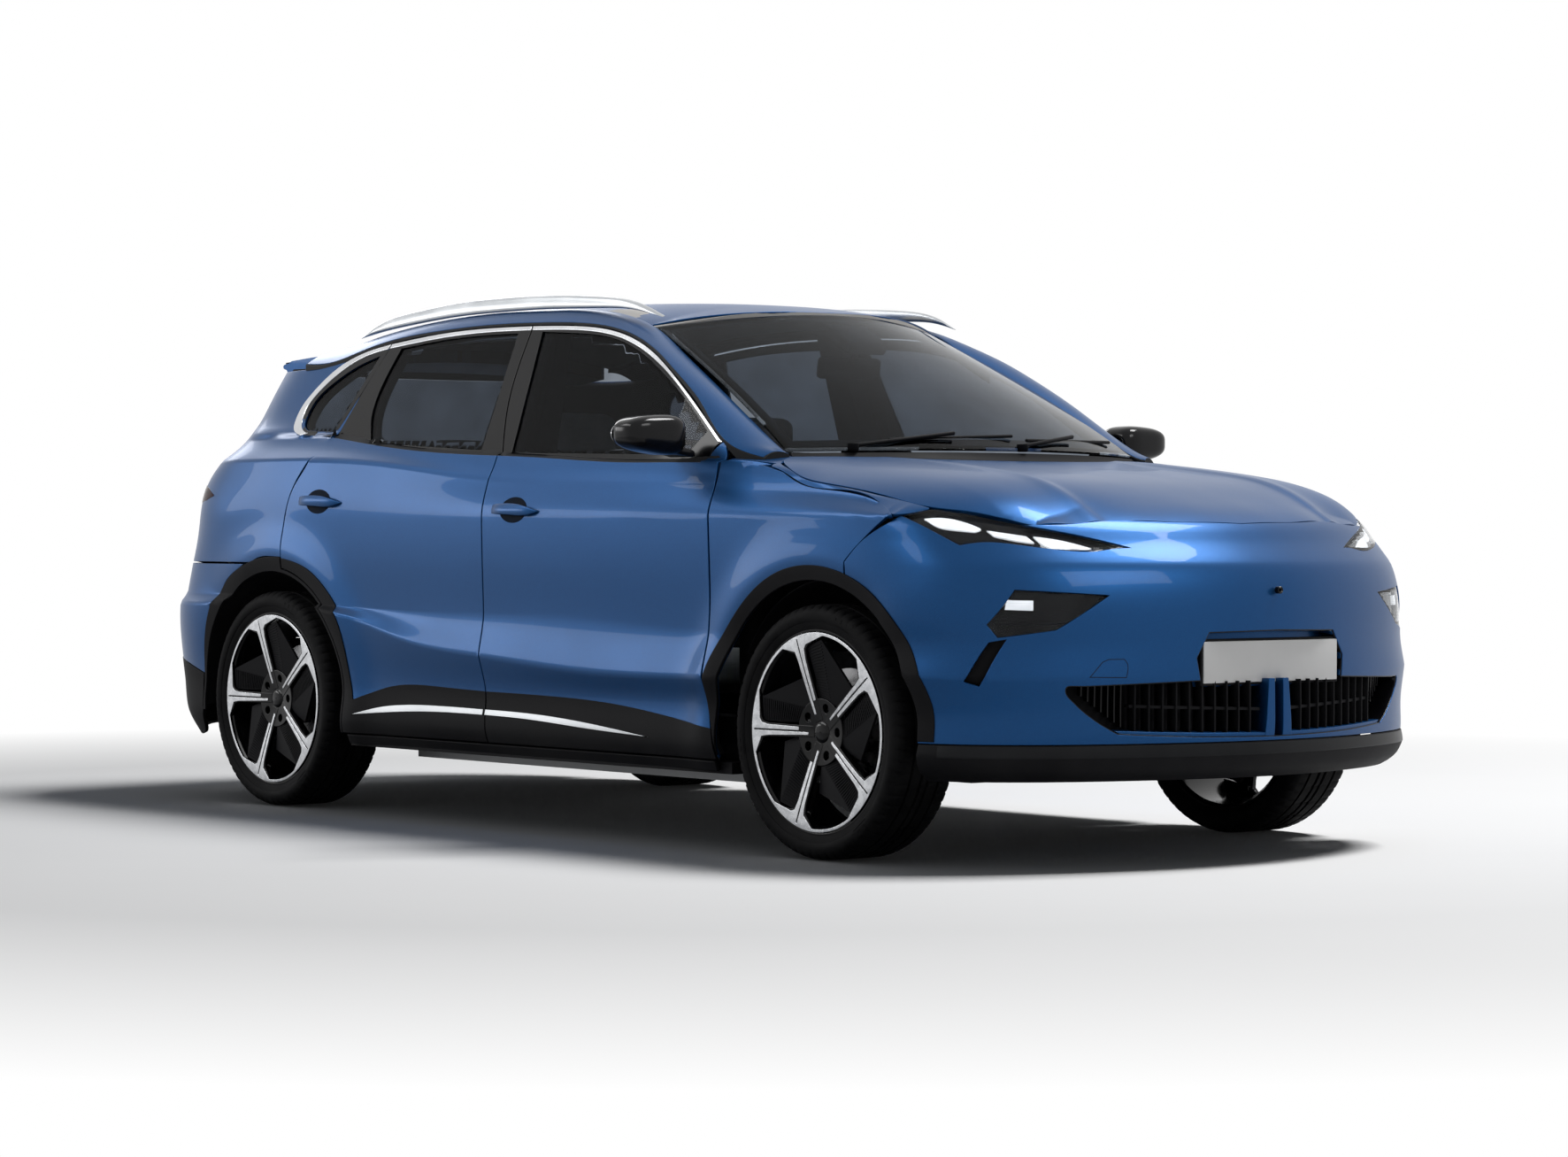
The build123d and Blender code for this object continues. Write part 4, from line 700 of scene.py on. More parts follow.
white_light = make_light("white_light", (0.82, 0.84, 0.86), 0.7)
amber_light = make_light("amber_lens", (0.75, 0.3, 0.03), 0.1)


# ------------------------------------------------------------------ outlines of the body panels
DOOR_BOTTOM_Z = 258.0
DOOR_FRONT = [(955, DOOR_BOTTOM_Z), (920, 398), (906, 596), (897, 844), (880, 1018), (868, 1112)]
DOOR_MIDDLE = [(-194, 1125), (-205, 1013), (-197, 839), (-192, 625), (-177, 412),
               (-158, DOOR_BOTTOM_Z)]
CHROME = [(838, 1148), (686, 1248), (512, 1356), (369, 1429), (188, 1486), (-47, 1514),
          (-263, 1522)]
CHROME_REAR = [(-263, 1522), (-512, 1524), (-748, 1516), (-1010, 1494)]
REAR_DOOR_BACK = [(-1010, 1494), (-1060, 1400), (-1145, 1196)]
REAR_DOOR_TAIL = [(-1145, 1196), (-1175, 1119), (-1250, 1030), (-1282, 940), (-1285, 860),
                  (-1276, 776)]
FRONT_WINDOW = [[(700, 1112), (755, 1178)], [(755, 1178), (661, 1244), (483, 1349), (347, 1414),
                (187, 1465), (-35, 1492), (-205, 1502)], [(-205, 1502), (-150, 1130)],
                [(-150, 1130), (700, 1112)]]
REAR_WINDOW = [[(-312, 1140), (-330, 1502)], [(-330, 1502), (-600, 1501), (-732, 1495),
               (-950, 1476)], [(-950, 1476), (-986, 1262), (-934, 1172)],
               [(-934, 1172), (-312, 1140)]]
QUARTER_WINDOW = [[(-1172, 1212), (-1056, 1456)], [(-1056, 1456), (-1167, 1425), (-1286, 1367),
                  (-1358, 1291), (-1354, 1244), (-1310, 1218)], [(-1310, 1218), (-1172, 1212)]]


def sides(*corners):
    """The straight runs of a closed outline, from its corners."""
    return [[corner, following] for corner, following in zip(corners, corners[1:] + corners[:1])]


def line_run(line, start, end, offset=0.0, count=12):
    """A run of an outline along one of the body's lines."""
    return [(float(x), float(line(x)) + offset) for x in np.linspace(start, end, count)]


def arch_run(centre, radius, start, end, count=14):
    """A run along a wheel arch between two angles in degrees, from +X towards +Z."""
    turns = np.radians(np.linspace(start, end, count))
    return [(centre + radius * math.cos(t), TYRE_RADIUS + radius * math.sin(t)) for t in turns]


def arch_angle(centre, x, z):
    """The angle at which a wheel arch's centre sees a place."""
    return math.degrees(math.atan2(z - TYRE_RADIUS, x - centre))


DOOR_ARCH = ARCH_RADIUS + 14
door_arch_top = arch_angle(REAR_ARCH_X, -1276, TYRE_RADIUS + math.sqrt(DOOR_ARCH**2 - 69.0**2))
door_arch_low = arch_angle(REAR_ARCH_X, REAR_ARCH_X + math.sqrt(DOOR_ARCH**2 - 90.0**2), DOOR_BOTTOM_Z)
FRONT_SKIN = [DOOR_FRONT, [DOOR_FRONT[-1], (838, 1148), (806, float(belt_z(806)) + 30)],
              [(806, float(belt_z(806)) + 30), (790, float(belt_z(790)) - 2)],
              line_run(belt_z, 790, -194, -2.0), [(-194, float(belt_z(-194)) - 2)] +
              DOOR_MIDDLE[1:], [(-158, DOOR_BOTTOM_Z), (955, DOOR_BOTTOM_Z)]]
REAR_SKIN = [[(-194, float(belt_z(-194)) - 2)] + DOOR_MIDDLE[1:],
             [(-158, DOOR_BOTTOM_Z), (REAR_ARCH_X + math.sqrt(DOOR_ARCH**2 - 90.0**2), DOOR_BOTTOM_Z)],
             arch_run(REAR_ARCH_X, DOOR_ARCH, door_arch_low, door_arch_top),
             [(-1276, TYRE_RADIUS + math.sqrt(DOOR_ARCH**2 - 69.0**2)), (-1276, 776)],
             REAR_DOOR_TAIL[::-1],
             [(-1145, 1196), (-1150, float(belt_z(-1150)) - 2)],
             line_run(belt_z, -1150, -194, -2.0)]
FENDER = [DOOR_FRONT[:-1], [(880, 1018), (880, 1098)], [(880, 1098), (1000, 1090), (1154, 1060)],
          [(1154, 1060), (1240, 1026), (1361, 1009), (1560, 979), (1668, 940)],
          [(1668, 940), (1560, 868), (1502, 811)],
          [(1502, 811), (1502, TYRE_RADIUS + math.sqrt(ARCH_RADIUS**2 - 142.0**2))],
          arch_run(FRONT_AXLE_X, ARCH_RADIUS, arch_angle(FRONT_AXLE_X, 1502, 737), 192.5),
          [(FRONT_AXLE_X + ARCH_RADIUS * math.cos(math.radians(192.5)), DOOR_BOTTOM_Z),
           (955, DOOR_BOTTOM_Z)]]
SIDE_STEP = 13.0


def side_panel(runs, depth, sink=0.0, inset=GAP_HALF, step=SIDE_STEP, edge=1.3, holes=(), lines=SIDE_LINES):
    """A panel of the left body side from its outline."""
    loops = [loop(runs, 8.0, inset)] + [loop(hole, 6.0) for hole in holes]
    return panel_arrays(loops, side_surface(sink), depth, step, edge, lines)


def pair(name, arrays, material, body, replaces=()):
    """A left piece and its right-hand image; body and replaced nodes end in left or right."""
    made = []
    for side, shape in (("left", arrays), ("right", flip(arrays))):
        nodes_there = [node.format(side=side) for node in replaces]
        made.append(finish_piece(build(f"{name}_{side}", shape), body.format(side=side), material,
                                 nodes_there))
    return made


def both_sides(name, arrays, material, body="body", replaces=()):
    """One piece that holds a left shape and its right-hand image."""
    return finish_piece(build(name, join(arrays, flip(arrays))), body, material, replaces)


# Doors: a painted skin over an inner shell, which also frames the window
FRONT_DOOR = [DOOR_FRONT, [DOOR_FRONT[-1], (838, 1148)], CHROME, [CHROME[-1], (-258, 1298), (-194, 1125)],
              DOOR_MIDDLE, [(-158, DOOR_BOTTOM_Z), (955, DOOR_BOTTOM_Z)]]
REAR_DOOR = [DOOR_MIDDLE, [(-158, DOOR_BOTTOM_Z), (REAR_ARCH_X + math.sqrt(DOOR_ARCH**2 - 90.0**2),
                                                   DOOR_BOTTOM_Z)],
             arch_run(REAR_ARCH_X, DOOR_ARCH, door_arch_low, door_arch_top),
             [(-1276, TYRE_RADIUS + math.sqrt(DOOR_ARCH**2 - 69.0**2)), (-1276, 776)],
             REAR_DOOR_TAIL[::-1], REAR_DOOR_BACK[::-1], CHROME_REAR[::-1],
             [CHROME[-1], (-258, 1298), (-194, 1125)]]
SHELL_SINK, SHELL_DEPTH = 8.0, 38.0
SHELL_BACK = 14.0
FRONT_SHELL = ([[(x - SHELL_BACK, z) for x, z in DOOR_FRONT[:-1]] + DOOR_FRONT[-1:]] + FRONT_DOOR[1:-1] +
               [[(-158, DOOR_BOTTOM_Z), (955 - SHELL_BACK, DOOR_BOTTOM_Z)]])
for door, runs, window in (("front_door", FRONT_SHELL, FRONT_WINDOW), ("rear_door", REAR_DOOR, REAR_WINDOW)):
    shell = side_panel(runs, SHELL_DEPTH, SHELL_SINK, GAP_HALF, 26.0, 2.0, [window], SIDE_LINES)
    pair(door + "_shell", shell, trim_dark, door + "_{side}", [door + "_{side}"])
SKIN_LIFT = -1.6
pair("front_door_skin", side_panel(FRONT_SKIN, 9.0, SKIN_LIFT), paint,
     "front_door_{side}")
pair("rear_door_skin", side_panel(REAR_SKIN, 9.0, SKIN_LIFT), paint, "rear_door_{side}")
both_sides("front_fender_skin", side_panel(FENDER, 12.0), paint, "body", ["front_fenders"])

# Side windows
for name, window, body, node in (("front_door_window", FRONT_WINDOW, "front_door_{side}",
                                  "front_door_glass_{side}"),
                                 ("rear_door_window", REAR_WINDOW, "rear_door_{side}",
                                  "rear_door_glass_{side}")):
    pane = side_panel(window, 4.0, 5.0, 0.6, 30.0, 0.6, lines=())
    pair(name, pane, window_glass, body, [node])
both_sides("quarter_window", side_panel(QUARTER_WINDOW, 4.0, 5.0, 0.6, 30.0, 0.6, lines=()), window_glass,
           "body", ["quarter_glass"])

# ------------------------------------------------------------------ bonnet
bonnet_z = spline([(930, 1112), (1100, 1106), (1350, 1088), (1600, 1062), (1800, 1030),
                   (1960, 985), (2050, 950), (2099, 922)])
bonnet_edge_y = spline([(930, 800), (1150, 826), (1240, 842), (1400, 842), (1560, 830), (1726, 806),
                        (1856, 730), (1942, 640)])
bonnet_edge_z = spline([(930, 1104), (1154, 1068), (1240, 1040), (1361, 1018), (1560, 988),
                        (1726, 952), (1856, 933), (1942, 918)])
BONNET_SIDE = [(1035, 700), (1080, 775), (1154, 820), (1240, 838), (1361, 838), (1560, 826),
               (1726, 800), (1856, 722), (1942, 632), (2006, 455), (2070, 220), (2094, 0)]
BONNET_BACK = [(1035, -700), (1160, -420), (1212, 0), (1160, 420), (1035, 700)]
bonnet_crest = spline([(1100, 462), (1324, 436), (1700, 446), (2007, 466), (2100, 470)])
CREST_HEIGHT, CREST_WIDTH, CREST_DIP = 4.0, 30.0, 5.0


def bonnet_crown(x, y):
    """The bonnet's height before its front edge is brought down to the nose."""
    top = bonnet_z(x)
    capped = np.minimum(x, 1942)
    fall = top - bonnet_edge_z(capped)
    z = top - fall * np.minimum(1.0, np.abs(y) / bonnet_edge_y(capped)) ** 7
    away = (np.abs(y) - bonnet_crest(x)) / CREST_WIDTH
    fade = np.clip((x - 1080) / 250, 0, 1)
    return z + fade * (CREST_HEIGHT * np.exp(-(away**2)) - CREST_DIP / (1 + np.exp(4 * (away + 0.8))))


bonnet_front_x = spline([(abs(y), x) for x, y in BONNET_SIDE[6:]])


def nose_height(y, x):
    """Height at which the nose's surface reaches length x at half width y."""
    low, high = 860.0, 1000.0
    for _ in range(30):
        middle = (low + high) / 2
        if nose.point([nose.at_y(y, middle)], [middle])[0][0] > x:
            low = middle
        else:
            high = middle
    return (low + high) / 2


EDGE_REACH = 330.0
edge_half = np.array([0.0, 120.0, 240.0, 360.0, 455.0, 540.0, 620.0, 680.0])
edge_x = bonnet_front_x(edge_half)
edge_drop = [float(bonnet_crown(np.array([x]), np.array([y]))[0]) - nose_height(y, float(x) + 1.5) + 0.5
             for x, y in zip(edge_x, edge_half)]
edge_drop = spline(np.c_[edge_half, edge_drop])


def bonnet_surface(x, y):
    """The bonnet's crown, drawn down to the nose along its front edge."""
    half = np.abs(y)
    behind = np.clip((bonnet_front_x(np.minimum(half, 722.0)) - x) / EDGE_REACH, -0.2, 1)
    lower = edge_drop(np.minimum(half, 680.0)) * np.clip((760 - half) / 80, 0, 1) * (1 - behind) ** 2.2
    return np.c_[x, y, bonnet_crown(x, y) - lower]


BONNET = [BONNET_SIDE, [(x, -y) for x, y in reversed(BONNET_SIDE)], BONNET_BACK]
bonnet_arrays = panel_arrays([loop(BONNET, 10.0, GAP_HALF)], bonnet_surface, 16.0, 16.0)
finish_piece(build("bonnet_skin", bonnet_arrays), "bonnet", paint, ["bonnet"])

# ------------------------------------------------------------------ nose
def nose_run(points):
    """Front-view points (y, z) as places on the nose."""
    return [(nose.at_y(y, z), z) for y, z in points]


def nose_side_run(points):
    """Side-view points (x, z) as places on the nose's left."""
    return [(nose.at_x(x, z), z) for x, z in points]


LIP_TOP_Z = 335.0
LAMP_UPPER = [(658, 911), (600, 898), (520, 880), (414, 851)]
LAMP_LOWER = [(414, 851), (457, 850), (520, 842), (600, 845), (679, 856), (767, 866), (813, 858)]
nose_top = [(nose.at_y(y, nose_height(y, float(bonnet_front_x(y)) + 1.5)),
             nose_height(y, float(bonnet_front_x(y)) + 1.5)) for y in (0, 120, 240, 360, 455, 540, 620)]
NOSE_SIDE_X, NOSE_SIDE_TOP_Z = 1502.0, 811.0
nose_half = [
    nose_top,
    [nose_top[-1], nose_run(LAMP_UPPER)[0]],
    nose_run(LAMP_UPPER),
    nose_run(LAMP_LOWER),
    nose_run(LAMP_LOWER[-1:]) + nose_side_run([(1672, 936)]),
    nose_side_run([(1672, 936), (1560, 868), (NOSE_SIDE_X, NOSE_SIDE_TOP_Z)]),
    nose_side_run([(NOSE_SIDE_X, NOSE_SIDE_TOP_Z), (NOSE_SIDE_X, 738)]),
    nose_side_run([(x, z) for x, z in arch_run(FRONT_AXLE_X, ARCH_RADIUS, 70.0, -1.5)]),
    nose_side_run([(FRONT_AXLE_X + ARCH_RADIUS, LIP_TOP_Z + 1)]) + [(0, LIP_TOP_Z + 1)],
]


def full_width(half):
    """A whole outline from the runs of its left half, which start and end on the centreline."""
    left = loop_open(half)
    right = left[::-1] * np.array([-1, 1])
    return np.vstack([left[:-1], right[:-1]])


def loop_open(runs, spacing=8.0):
    """Runs joined into one line of points that stays open."""
    parts = [sample_run(run, spacing) for run in runs if len(run) > 1]
    kept = [parts[0]]
    for part in parts[1:]:
        kept.append(part[1:] if np.hypot(*(part[0] - kept[-1][-1])) < 0.5 else part)
    return np.vstack(kept)


LOWER_LAMP = sides((748, 742), (523, 727), (663, 636), (786, 616), (806, 650))
GRILLE_HALF = [[(0, 502), (300, 500), (600, 490)], [(600, 490), (647, 486), (600, 420), (512, 361)],
               [(512, 361), (300, 350), (0, 345)]]
PLATE_HALF_Y, PLATE_LOW_Z, PLATE_TOP_Z = 285.0, 484.0, 632.0
PLATE_SPACE = [[(0, PLATE_TOP_Z), (242, PLATE_TOP_Z - 4)], [(242, PLATE_TOP_Z - 4), (PLATE_HALF_Y, 560)],
               [(PLATE_HALF_Y, 560), (268, PLATE_LOW_Z)], [(268, PLATE_LOW_Z), (0, PLATE_LOW_Z)]]
SLOT = [[(1984, 612), (1962, 550), (1938, 488)], [(1938, 488), (1905, 500)],
        [(1905, 500), (1930, 560), (1950, 604)], [(1950, 604), (1984, 612)]]


def nose_hole(runs, spacing=8.0, inset=0.0):
    """An opening in the nose given by its front view, on the left."""
    fine = [[tuple(point) for point in sample_run(run, 25.0)] for run in runs]
    return loop([nose_run(run) for run in fine], spacing, inset)


lower_lamp_loop = nose_hole(LOWER_LAMP)
slot_loop = loop([nose_side_run(run) for run in SLOT], 8.0)
nose_loops = [full_width(nose_half), lower_lamp_loop, lower_lamp_loop * [-1, 1], slot_loop,
              slot_loop * [-1, 1]]
mouth_half = [PLATE_SPACE[0], PLATE_SPACE[1], [(PLATE_HALF_Y, 560), (276, 501)],
              [(276, 501), (600, 490)], GRILLE_HALF[1], GRILLE_HALF[2]]
mouth_loop = full_width([nose_run([tuple(p) for p in sample_run(run, 25.0)]) for run in mouth_half])
nose_loops.append(mouth_loop)
nose_arrays = panel_arrays(nose_loops, nose.point, 9.0, 15.0)
finish_piece(build("nose_skin", nose_arrays), "body", paint, ["front_bumper"])

FENDER_TOP = [(884, 1098), (1000, 1090), (1154, 1060), (1240, 1026), (1361, 1009), (1560, 979), (1668, 940),
              (1722, 951)]
fender_top_z = spline(FENDER_TOP)
bonnet_side_y = spline([(884, 702), (960, 705)] + [(x, y + 1.5) for x, y in BONNET_SIDE[:7]])


def fender_top_surface(x, v):
    """The fender's upper face, from the body side in to the bonnet's edge."""
    high = fender_top_z(x)
    outer_y = np.minimum(side_y(x, high) - 1.0, np.interp(x, [1664, 1724], [880, 803]))
    outer = np.c_[x, outer_y, high]
    inner_y = np.minimum(bonnet_side_y(x), outer[:, 1] - 2.0)
    inner = np.c_[x, inner_y, bonnet_surface(x, inner_y)[:, 2] - 1.0]
    part = (v / 60.0)[:, None]
    place = outer * (1 - part) + inner * part
    place[:, 2] += 5.0 * part[:, 0] * (1 - part[:, 0])
    return place


top_runs = sides((884, 0), (1720, 0), (1720, 60), (884, 60))
both_sides("fender_top", panel_arrays([loop(top_runs, 10.0)], fender_top_surface, 9.0, 12.0, 0.8), paint)

# ------------------------------------------------------------------ roof, windscreen, strip over the doors
STRIP_OUTER = [(995, 772, 1098), (880, 800, 1134), (697, 762, 1257), (520, 724, 1364),
               (375, 694, 1437), (188, 668, 1494), (-47, 656, 1522), (-263, 653, 1530),
               (-512, 652, 1532), (-748, 655, 1524), (-1010, 664, 1503), (-1167, 676, 1474),
               (-1330, 690, 1440), (-1480, 690, 1440)]
STRIP_INNER = [(1022, 705, 1110), (985, 692, 1120), (780, 655, 1222), (585, 618, 1322),
               (400, 584, 1416), (232, 574, 1506), (-20, 574, 1562), (-240, 580, 1572),
               (-480, 585, 1574), (-720, 585, 1568), (-980, 580, 1548), (-1140, 575, 1532),
               (-1320, 570, 1506), (-1480, 565, 1480)]
STRIP_BULGE = 13.0
strip_along = np.concatenate([[0], np.cumsum(np.linalg.norm(np.diff(STRIP_OUTER, axis=0), axis=1))])
strip_low = [spline(np.c_[strip_along, np.array(STRIP_OUTER, float)[:, i]]) for i in range(3)]
strip_high = [spline(np.c_[strip_along, np.array(STRIP_INNER, float)[:, i]]) for i in range(3)]
STRIP_WIDTH = 92.0


def strip_surface(u, v):
    """The strip over the doors, between its lower and its upper edge."""
    part = v / STRIP_WIDTH
    low = np.c_[strip_low[0](u), strip_low[1](u), strip_low[2](u)]
    high = np.c_[strip_high[0](u), strip_high[1](u), strip_high[2](u)]
    place = low * (1 - part)[:, None] + high * part[:, None]
    place[:, 2] += STRIP_BULGE * 4 * part * (1 - part)
    return place


strip_runs = sides((6, 2), (strip_along[-1] - 4, 2), (strip_along[-1] - 4, 89), (6, 89))
strip_arrays = panel_arrays([loop(strip_runs, 14.0)], strip_surface, 7.0, 13.0, lift=1.2,
                            core=np.array([-300.0, 0.0, 900.0]))
both_sides("roof_side_skin", strip_arrays, paint)

roof_z = spline([(400, 1556), (200, 1584), (0, 1597), (-400, 1600), (-800, 1590), (-1200, 1563),
                 (-1480, 1526)])
roof_edge_x, roof_edge_y, roof_edge_z = np.array(STRIP_INNER[5:], float).T
roof_half = spline(np.c_[roof_edge_x, roof_edge_y])
roof_side_z = spline(np.c_[roof_edge_x, roof_edge_z])


def roof_surface(x, y):
    """The roof, which falls off towards its sides."""
    edge = np.minimum(x, 232.0)
    half = roof_half(edge) - 0.9
    fall = roof_z(edge) - roof_side_z(edge)
    return np.c_[x, y, roof_z(x) - fall * (np.abs(y) / half) ** 2.6]


roof_line = [(float(x), float(roof_half(x)) - 1.5) for x in np.linspace(230, -1478, 12)]
ROOF = [[(228, -566), (358, -287), (398, 0), (358, 287), (228, 566)], roof_line,
        [roof_line[-1], (-1478, -roof_line[-1][1])], [(x, -y) for x, y in reversed(roof_line)]]
roof_arrays = panel_arrays([loop(ROOF, 14.0)], roof_surface, 6.0, 22.0, lift=1.2)
finish_piece(build("roof_skin", roof_arrays), "body", paint)

SCREEN_BASE = (1165.0, 985.0, 686.0, 1130.0, 1122.0)
SCREEN_TOP = (406.0, 242.0, 565.0, 1550.0, 1502.0)
SCREEN_HALF, SCREEN_RISE = 640.0, 860.0


def screen_surface(u, v):
    """The windscreen, curved across and up between its base and its top."""
    across, rise = u / SCREEN_HALF, (v / SCREEN_RISE)[:, None]
    edges = []
    for middle_x, side_x, half, middle_z, side_z in (SCREEN_BASE, SCREEN_TOP):
        edges.append(np.c_[middle_x + (side_x - middle_x) * across**2, half * across,
                           middle_z + (side_z - middle_z) * across**2])
    bulge = 16 * np.array([0.5, 0, 0.85])
    return edges[0] * (1 - rise) + edges[1] * rise + bulge * 4 * rise * (1 - rise)


def screen_loop(margin, low=None):
    """An outline on the windscreen, a margin inside the glass's edge."""
    low = margin if low is None else low
    u, v = SCREEN_HALF - margin, SCREEN_RISE - margin
    return loop(sides((-u, low), (u, low), (u, v), (-u, v)), 16.0)


screen_pane = panel_arrays([screen_loop(2.0)], screen_surface, 5.0, 30.0, 0.6)
finish_piece(build("windscreen_pane", screen_pane), "body", screen_glass, ["windscreen"])
frit = panel_arrays([screen_loop(2.5), screen_loop(38.0, 60.0)], screen_surface, 1.0, 26.0, 0.2, lift=-6.0)
finish_piece(build("windscreen_border", frit), "body", gloss_black)
# ------------------------------------------------------------------ making pieces with mesh tools
def pick(obj):
    """Selects one object and makes it the active one."""
    bpy.ops.object.select_all(action="DESELECT")
    obj.select_set(True)
    bpy.context.view_layer.objects.active = obj


def settle(obj, name, angle=35.0):
    """Names a piece, applies its modifiers and its place, and smooths its soft edges."""
    pick(obj)
    for modifier in list(obj.modifiers):
        bpy.ops.object.modifier_apply(modifier=modifier.name)
    bpy.ops.object.transform_apply(location=True, rotation=True, scale=True)
    bpy.ops.object.shade_smooth_by_angle(angle=math.radians(angle))
    obj.name = obj.data.name = name
    obj.select_set(False)
    return obj


def rounded_block(name, low, high, radius, segments=4, turn=(0, 0, 0)):
    """A block between two corners, in millimetres, with rounded edges."""
    middle = [(a + b) / 2 * MM for a, b in zip(low, high)]
    bpy.ops.mesh.primitive_cube_add(size=1.0, location=middle, rotation=[math.radians(t) for t in turn])
    block = bpy.context.object
    block.scale = [(b - a) * MM for a, b in zip(low, high)]
    bpy.ops.object.transform_apply(location=False, rotation=False, scale=True)
    bevel = block.modifiers.new("bevel", "BEVEL")
    bevel.width, bevel.segments = radius * MM, segments
    return settle(block, name, 50)


def turned(name, profile, place, axis="Y", vertices=96, angle=35.0):
    """A closed ring or disc turned from its profile of (along, radius) in millimetres."""
    first_along, first_radius = profile[0]
    bpy.ops.mesh.primitive_circle_add(vertices=vertices, radius=first_radius * MM,
                                      location=(0, 0, first_along * MM))
    ring = bpy.context.object
    bpy.ops.object.transform_apply(location=True)
    bpy.ops.object.mode_set(mode="EDIT")
    bpy.ops.mesh.select_all(action="SELECT")
    last_along, last_radius = profile[0]
    for along, radius in list(profile[1:]) + [profile[0]]:
        bpy.ops.mesh.extrude_edges_move(
            TRANSFORM_OT_translate={"value": (0, 0, (along - last_along) * MM)})
        bpy.ops.transform.resize(value=(radius / last_radius, radius / last_radius, 1))
        last_along, last_radius = along, radius
    bpy.ops.mesh.select_all(action="SELECT")
    bpy.ops.mesh.remove_doubles(threshold=0.00002)
    bpy.ops.mesh.normals_make_consistent(inside=False)
    bpy.ops.object.mode_set(mode="OBJECT")
    if axis == "Y":
        ring.rotation_euler = (math.radians(-90), 0, 0)
    elif axis == "X":
        ring.rotation_euler = (0, math.radians(90), 0)
    ring.location = [value * MM for value in place]
    return settle(ring, name, angle)


def mirrored(obj, name):
    """A right-hand image of a piece, with its own mesh."""
    copy = obj.copy()
    copy.data = obj.data.copy()
    bpy.context.scene.collection.objects.link(copy)
    copy.scale = (1, -1, 1)
    pick(copy)
    bpy.ops.object.transform_apply(location=True, rotation=True, scale=True)
    bpy.ops.object.mode_set(mode="EDIT")
    bpy.ops.mesh.select_all(action="SELECT")
    bpy.ops.mesh.normals_make_consistent(inside=False)
    bpy.ops.object.mode_set(mode="OBJECT")
    copy.name = copy.data.name = name
    copy.select_set(False)
    return copy


def merged(name, *objects):
    """Several objects as one piece."""
    bpy.ops.object.select_all(action="DESELECT")
    for obj in objects:
        obj.select_set(True)
    bpy.context.view_layer.objects.active = objects[0]
    bpy.ops.object.join()
    objects[0].name = objects[0].data.name = name
    objects[0].select_set(False)
    return objects[0]


def dress(material, *names):
    """Gives CAD nodes that stay in view their finish."""
    for name in names:
        for slot in nodes[name].material_slots:
            slot.material = material


# ------------------------------------------------------------------ trims on the body side
FRONT_FRAME = [CHROME, [(-263, 1522), (-258, 1298), (-194, 1126)], line_run(belt_z, -194, 806, 2.0),
               [(806, float(belt_z(806)) + 2), (806, float(belt_z(806)) + 32), (838, 1148)]]
REAR_FRAME = [CHROME_REAR, REAR_DOOR_BACK, [(-1145, 1196), (-1150, float(belt_z(-1150)) + 2)],
              line_run(belt_z, -1150, -194, 2.0), [(-194, 1127), (-258, 1298), (-263, 1522)]]
pair("front_window_frame", side_panel(FRONT_FRAME, 5.0, -1.6, holes=[FRONT_WINDOW], lines=()), gloss_black,
     "front_door_{side}")
pair("rear_window_frame", side_panel(REAR_FRAME, 5.0, -1.6, holes=[REAR_WINDOW], lines=()), gloss_black,
     "rear_door_{side}")

CHROME_FRONT_TRIM = [[(833, 1146), (686, 1248), (512, 1356), (369, 1429), (188, 1486), (-47, 1514),
                      (-260, 1522)], [(-260, 1522), (-259, 1509)],
                     [(-259, 1509), (-40, 1501), (188, 1473), (357, 1420), (496, 1354), (672, 1247),
                      (815, 1147)], [(815, 1147), (833, 1146)]]
CHROME_DOOR_TRIM = [[(-267, 1522), (-512, 1524), (-748, 1516), (-1008, 1493)], [(-1008, 1493), (-1015, 1478)],
                    [(-1015, 1478), (-742, 1502), (-506, 1511), (-266, 1509)], [(-266, 1509), (-267, 1522)]]
CHROME_QUARTER_TRIM = [[(-1015, 1492), (-1167, 1466), (-1291, 1417), (-1379, 1347), (-1420, 1283),
                        (-1412, 1239), (-1336, 1204)], [(-1336, 1204), (-1301, 1210)],
                       [(-1301, 1210), (-1370, 1244), (-1382, 1290), (-1345, 1345), (-1278, 1396),
                        (-1163, 1450), (-1024, 1477)], [(-1024, 1477), (-1015, 1492)]]
TRIM_SINK = -4.5
for name, runs, body in (("front_door_chrome", CHROME_FRONT_TRIM, "front_door_{side}"),
                         ("rear_door_chrome", CHROME_DOOR_TRIM, "rear_door_{side}"),
                         ("quarter_chrome", CHROME_QUARTER_TRIM, "body")):
    pair(name, side_panel(runs, 6.0, TRIM_SINK, 0.0, 10.0, 2.2, lines=()), chrome, body)
QUARTER_BORDER = [[(-1018, 1476), (-1165, 1452), (-1284, 1398), (-1352, 1346), (-1388, 1290),
                   (-1376, 1240), (-1318, 1204)], [(-1318, 1204), (-1158, 1197)],
                  [(-1158, 1197), (-1018, 1476)]]
both_sides("quarter_window_border", side_panel(QUARTER_BORDER, 4.0, -2.0, 0.0, 12.0, 0.8,
                                               holes=[QUARTER_WINDOW], lines=()), gloss_black)

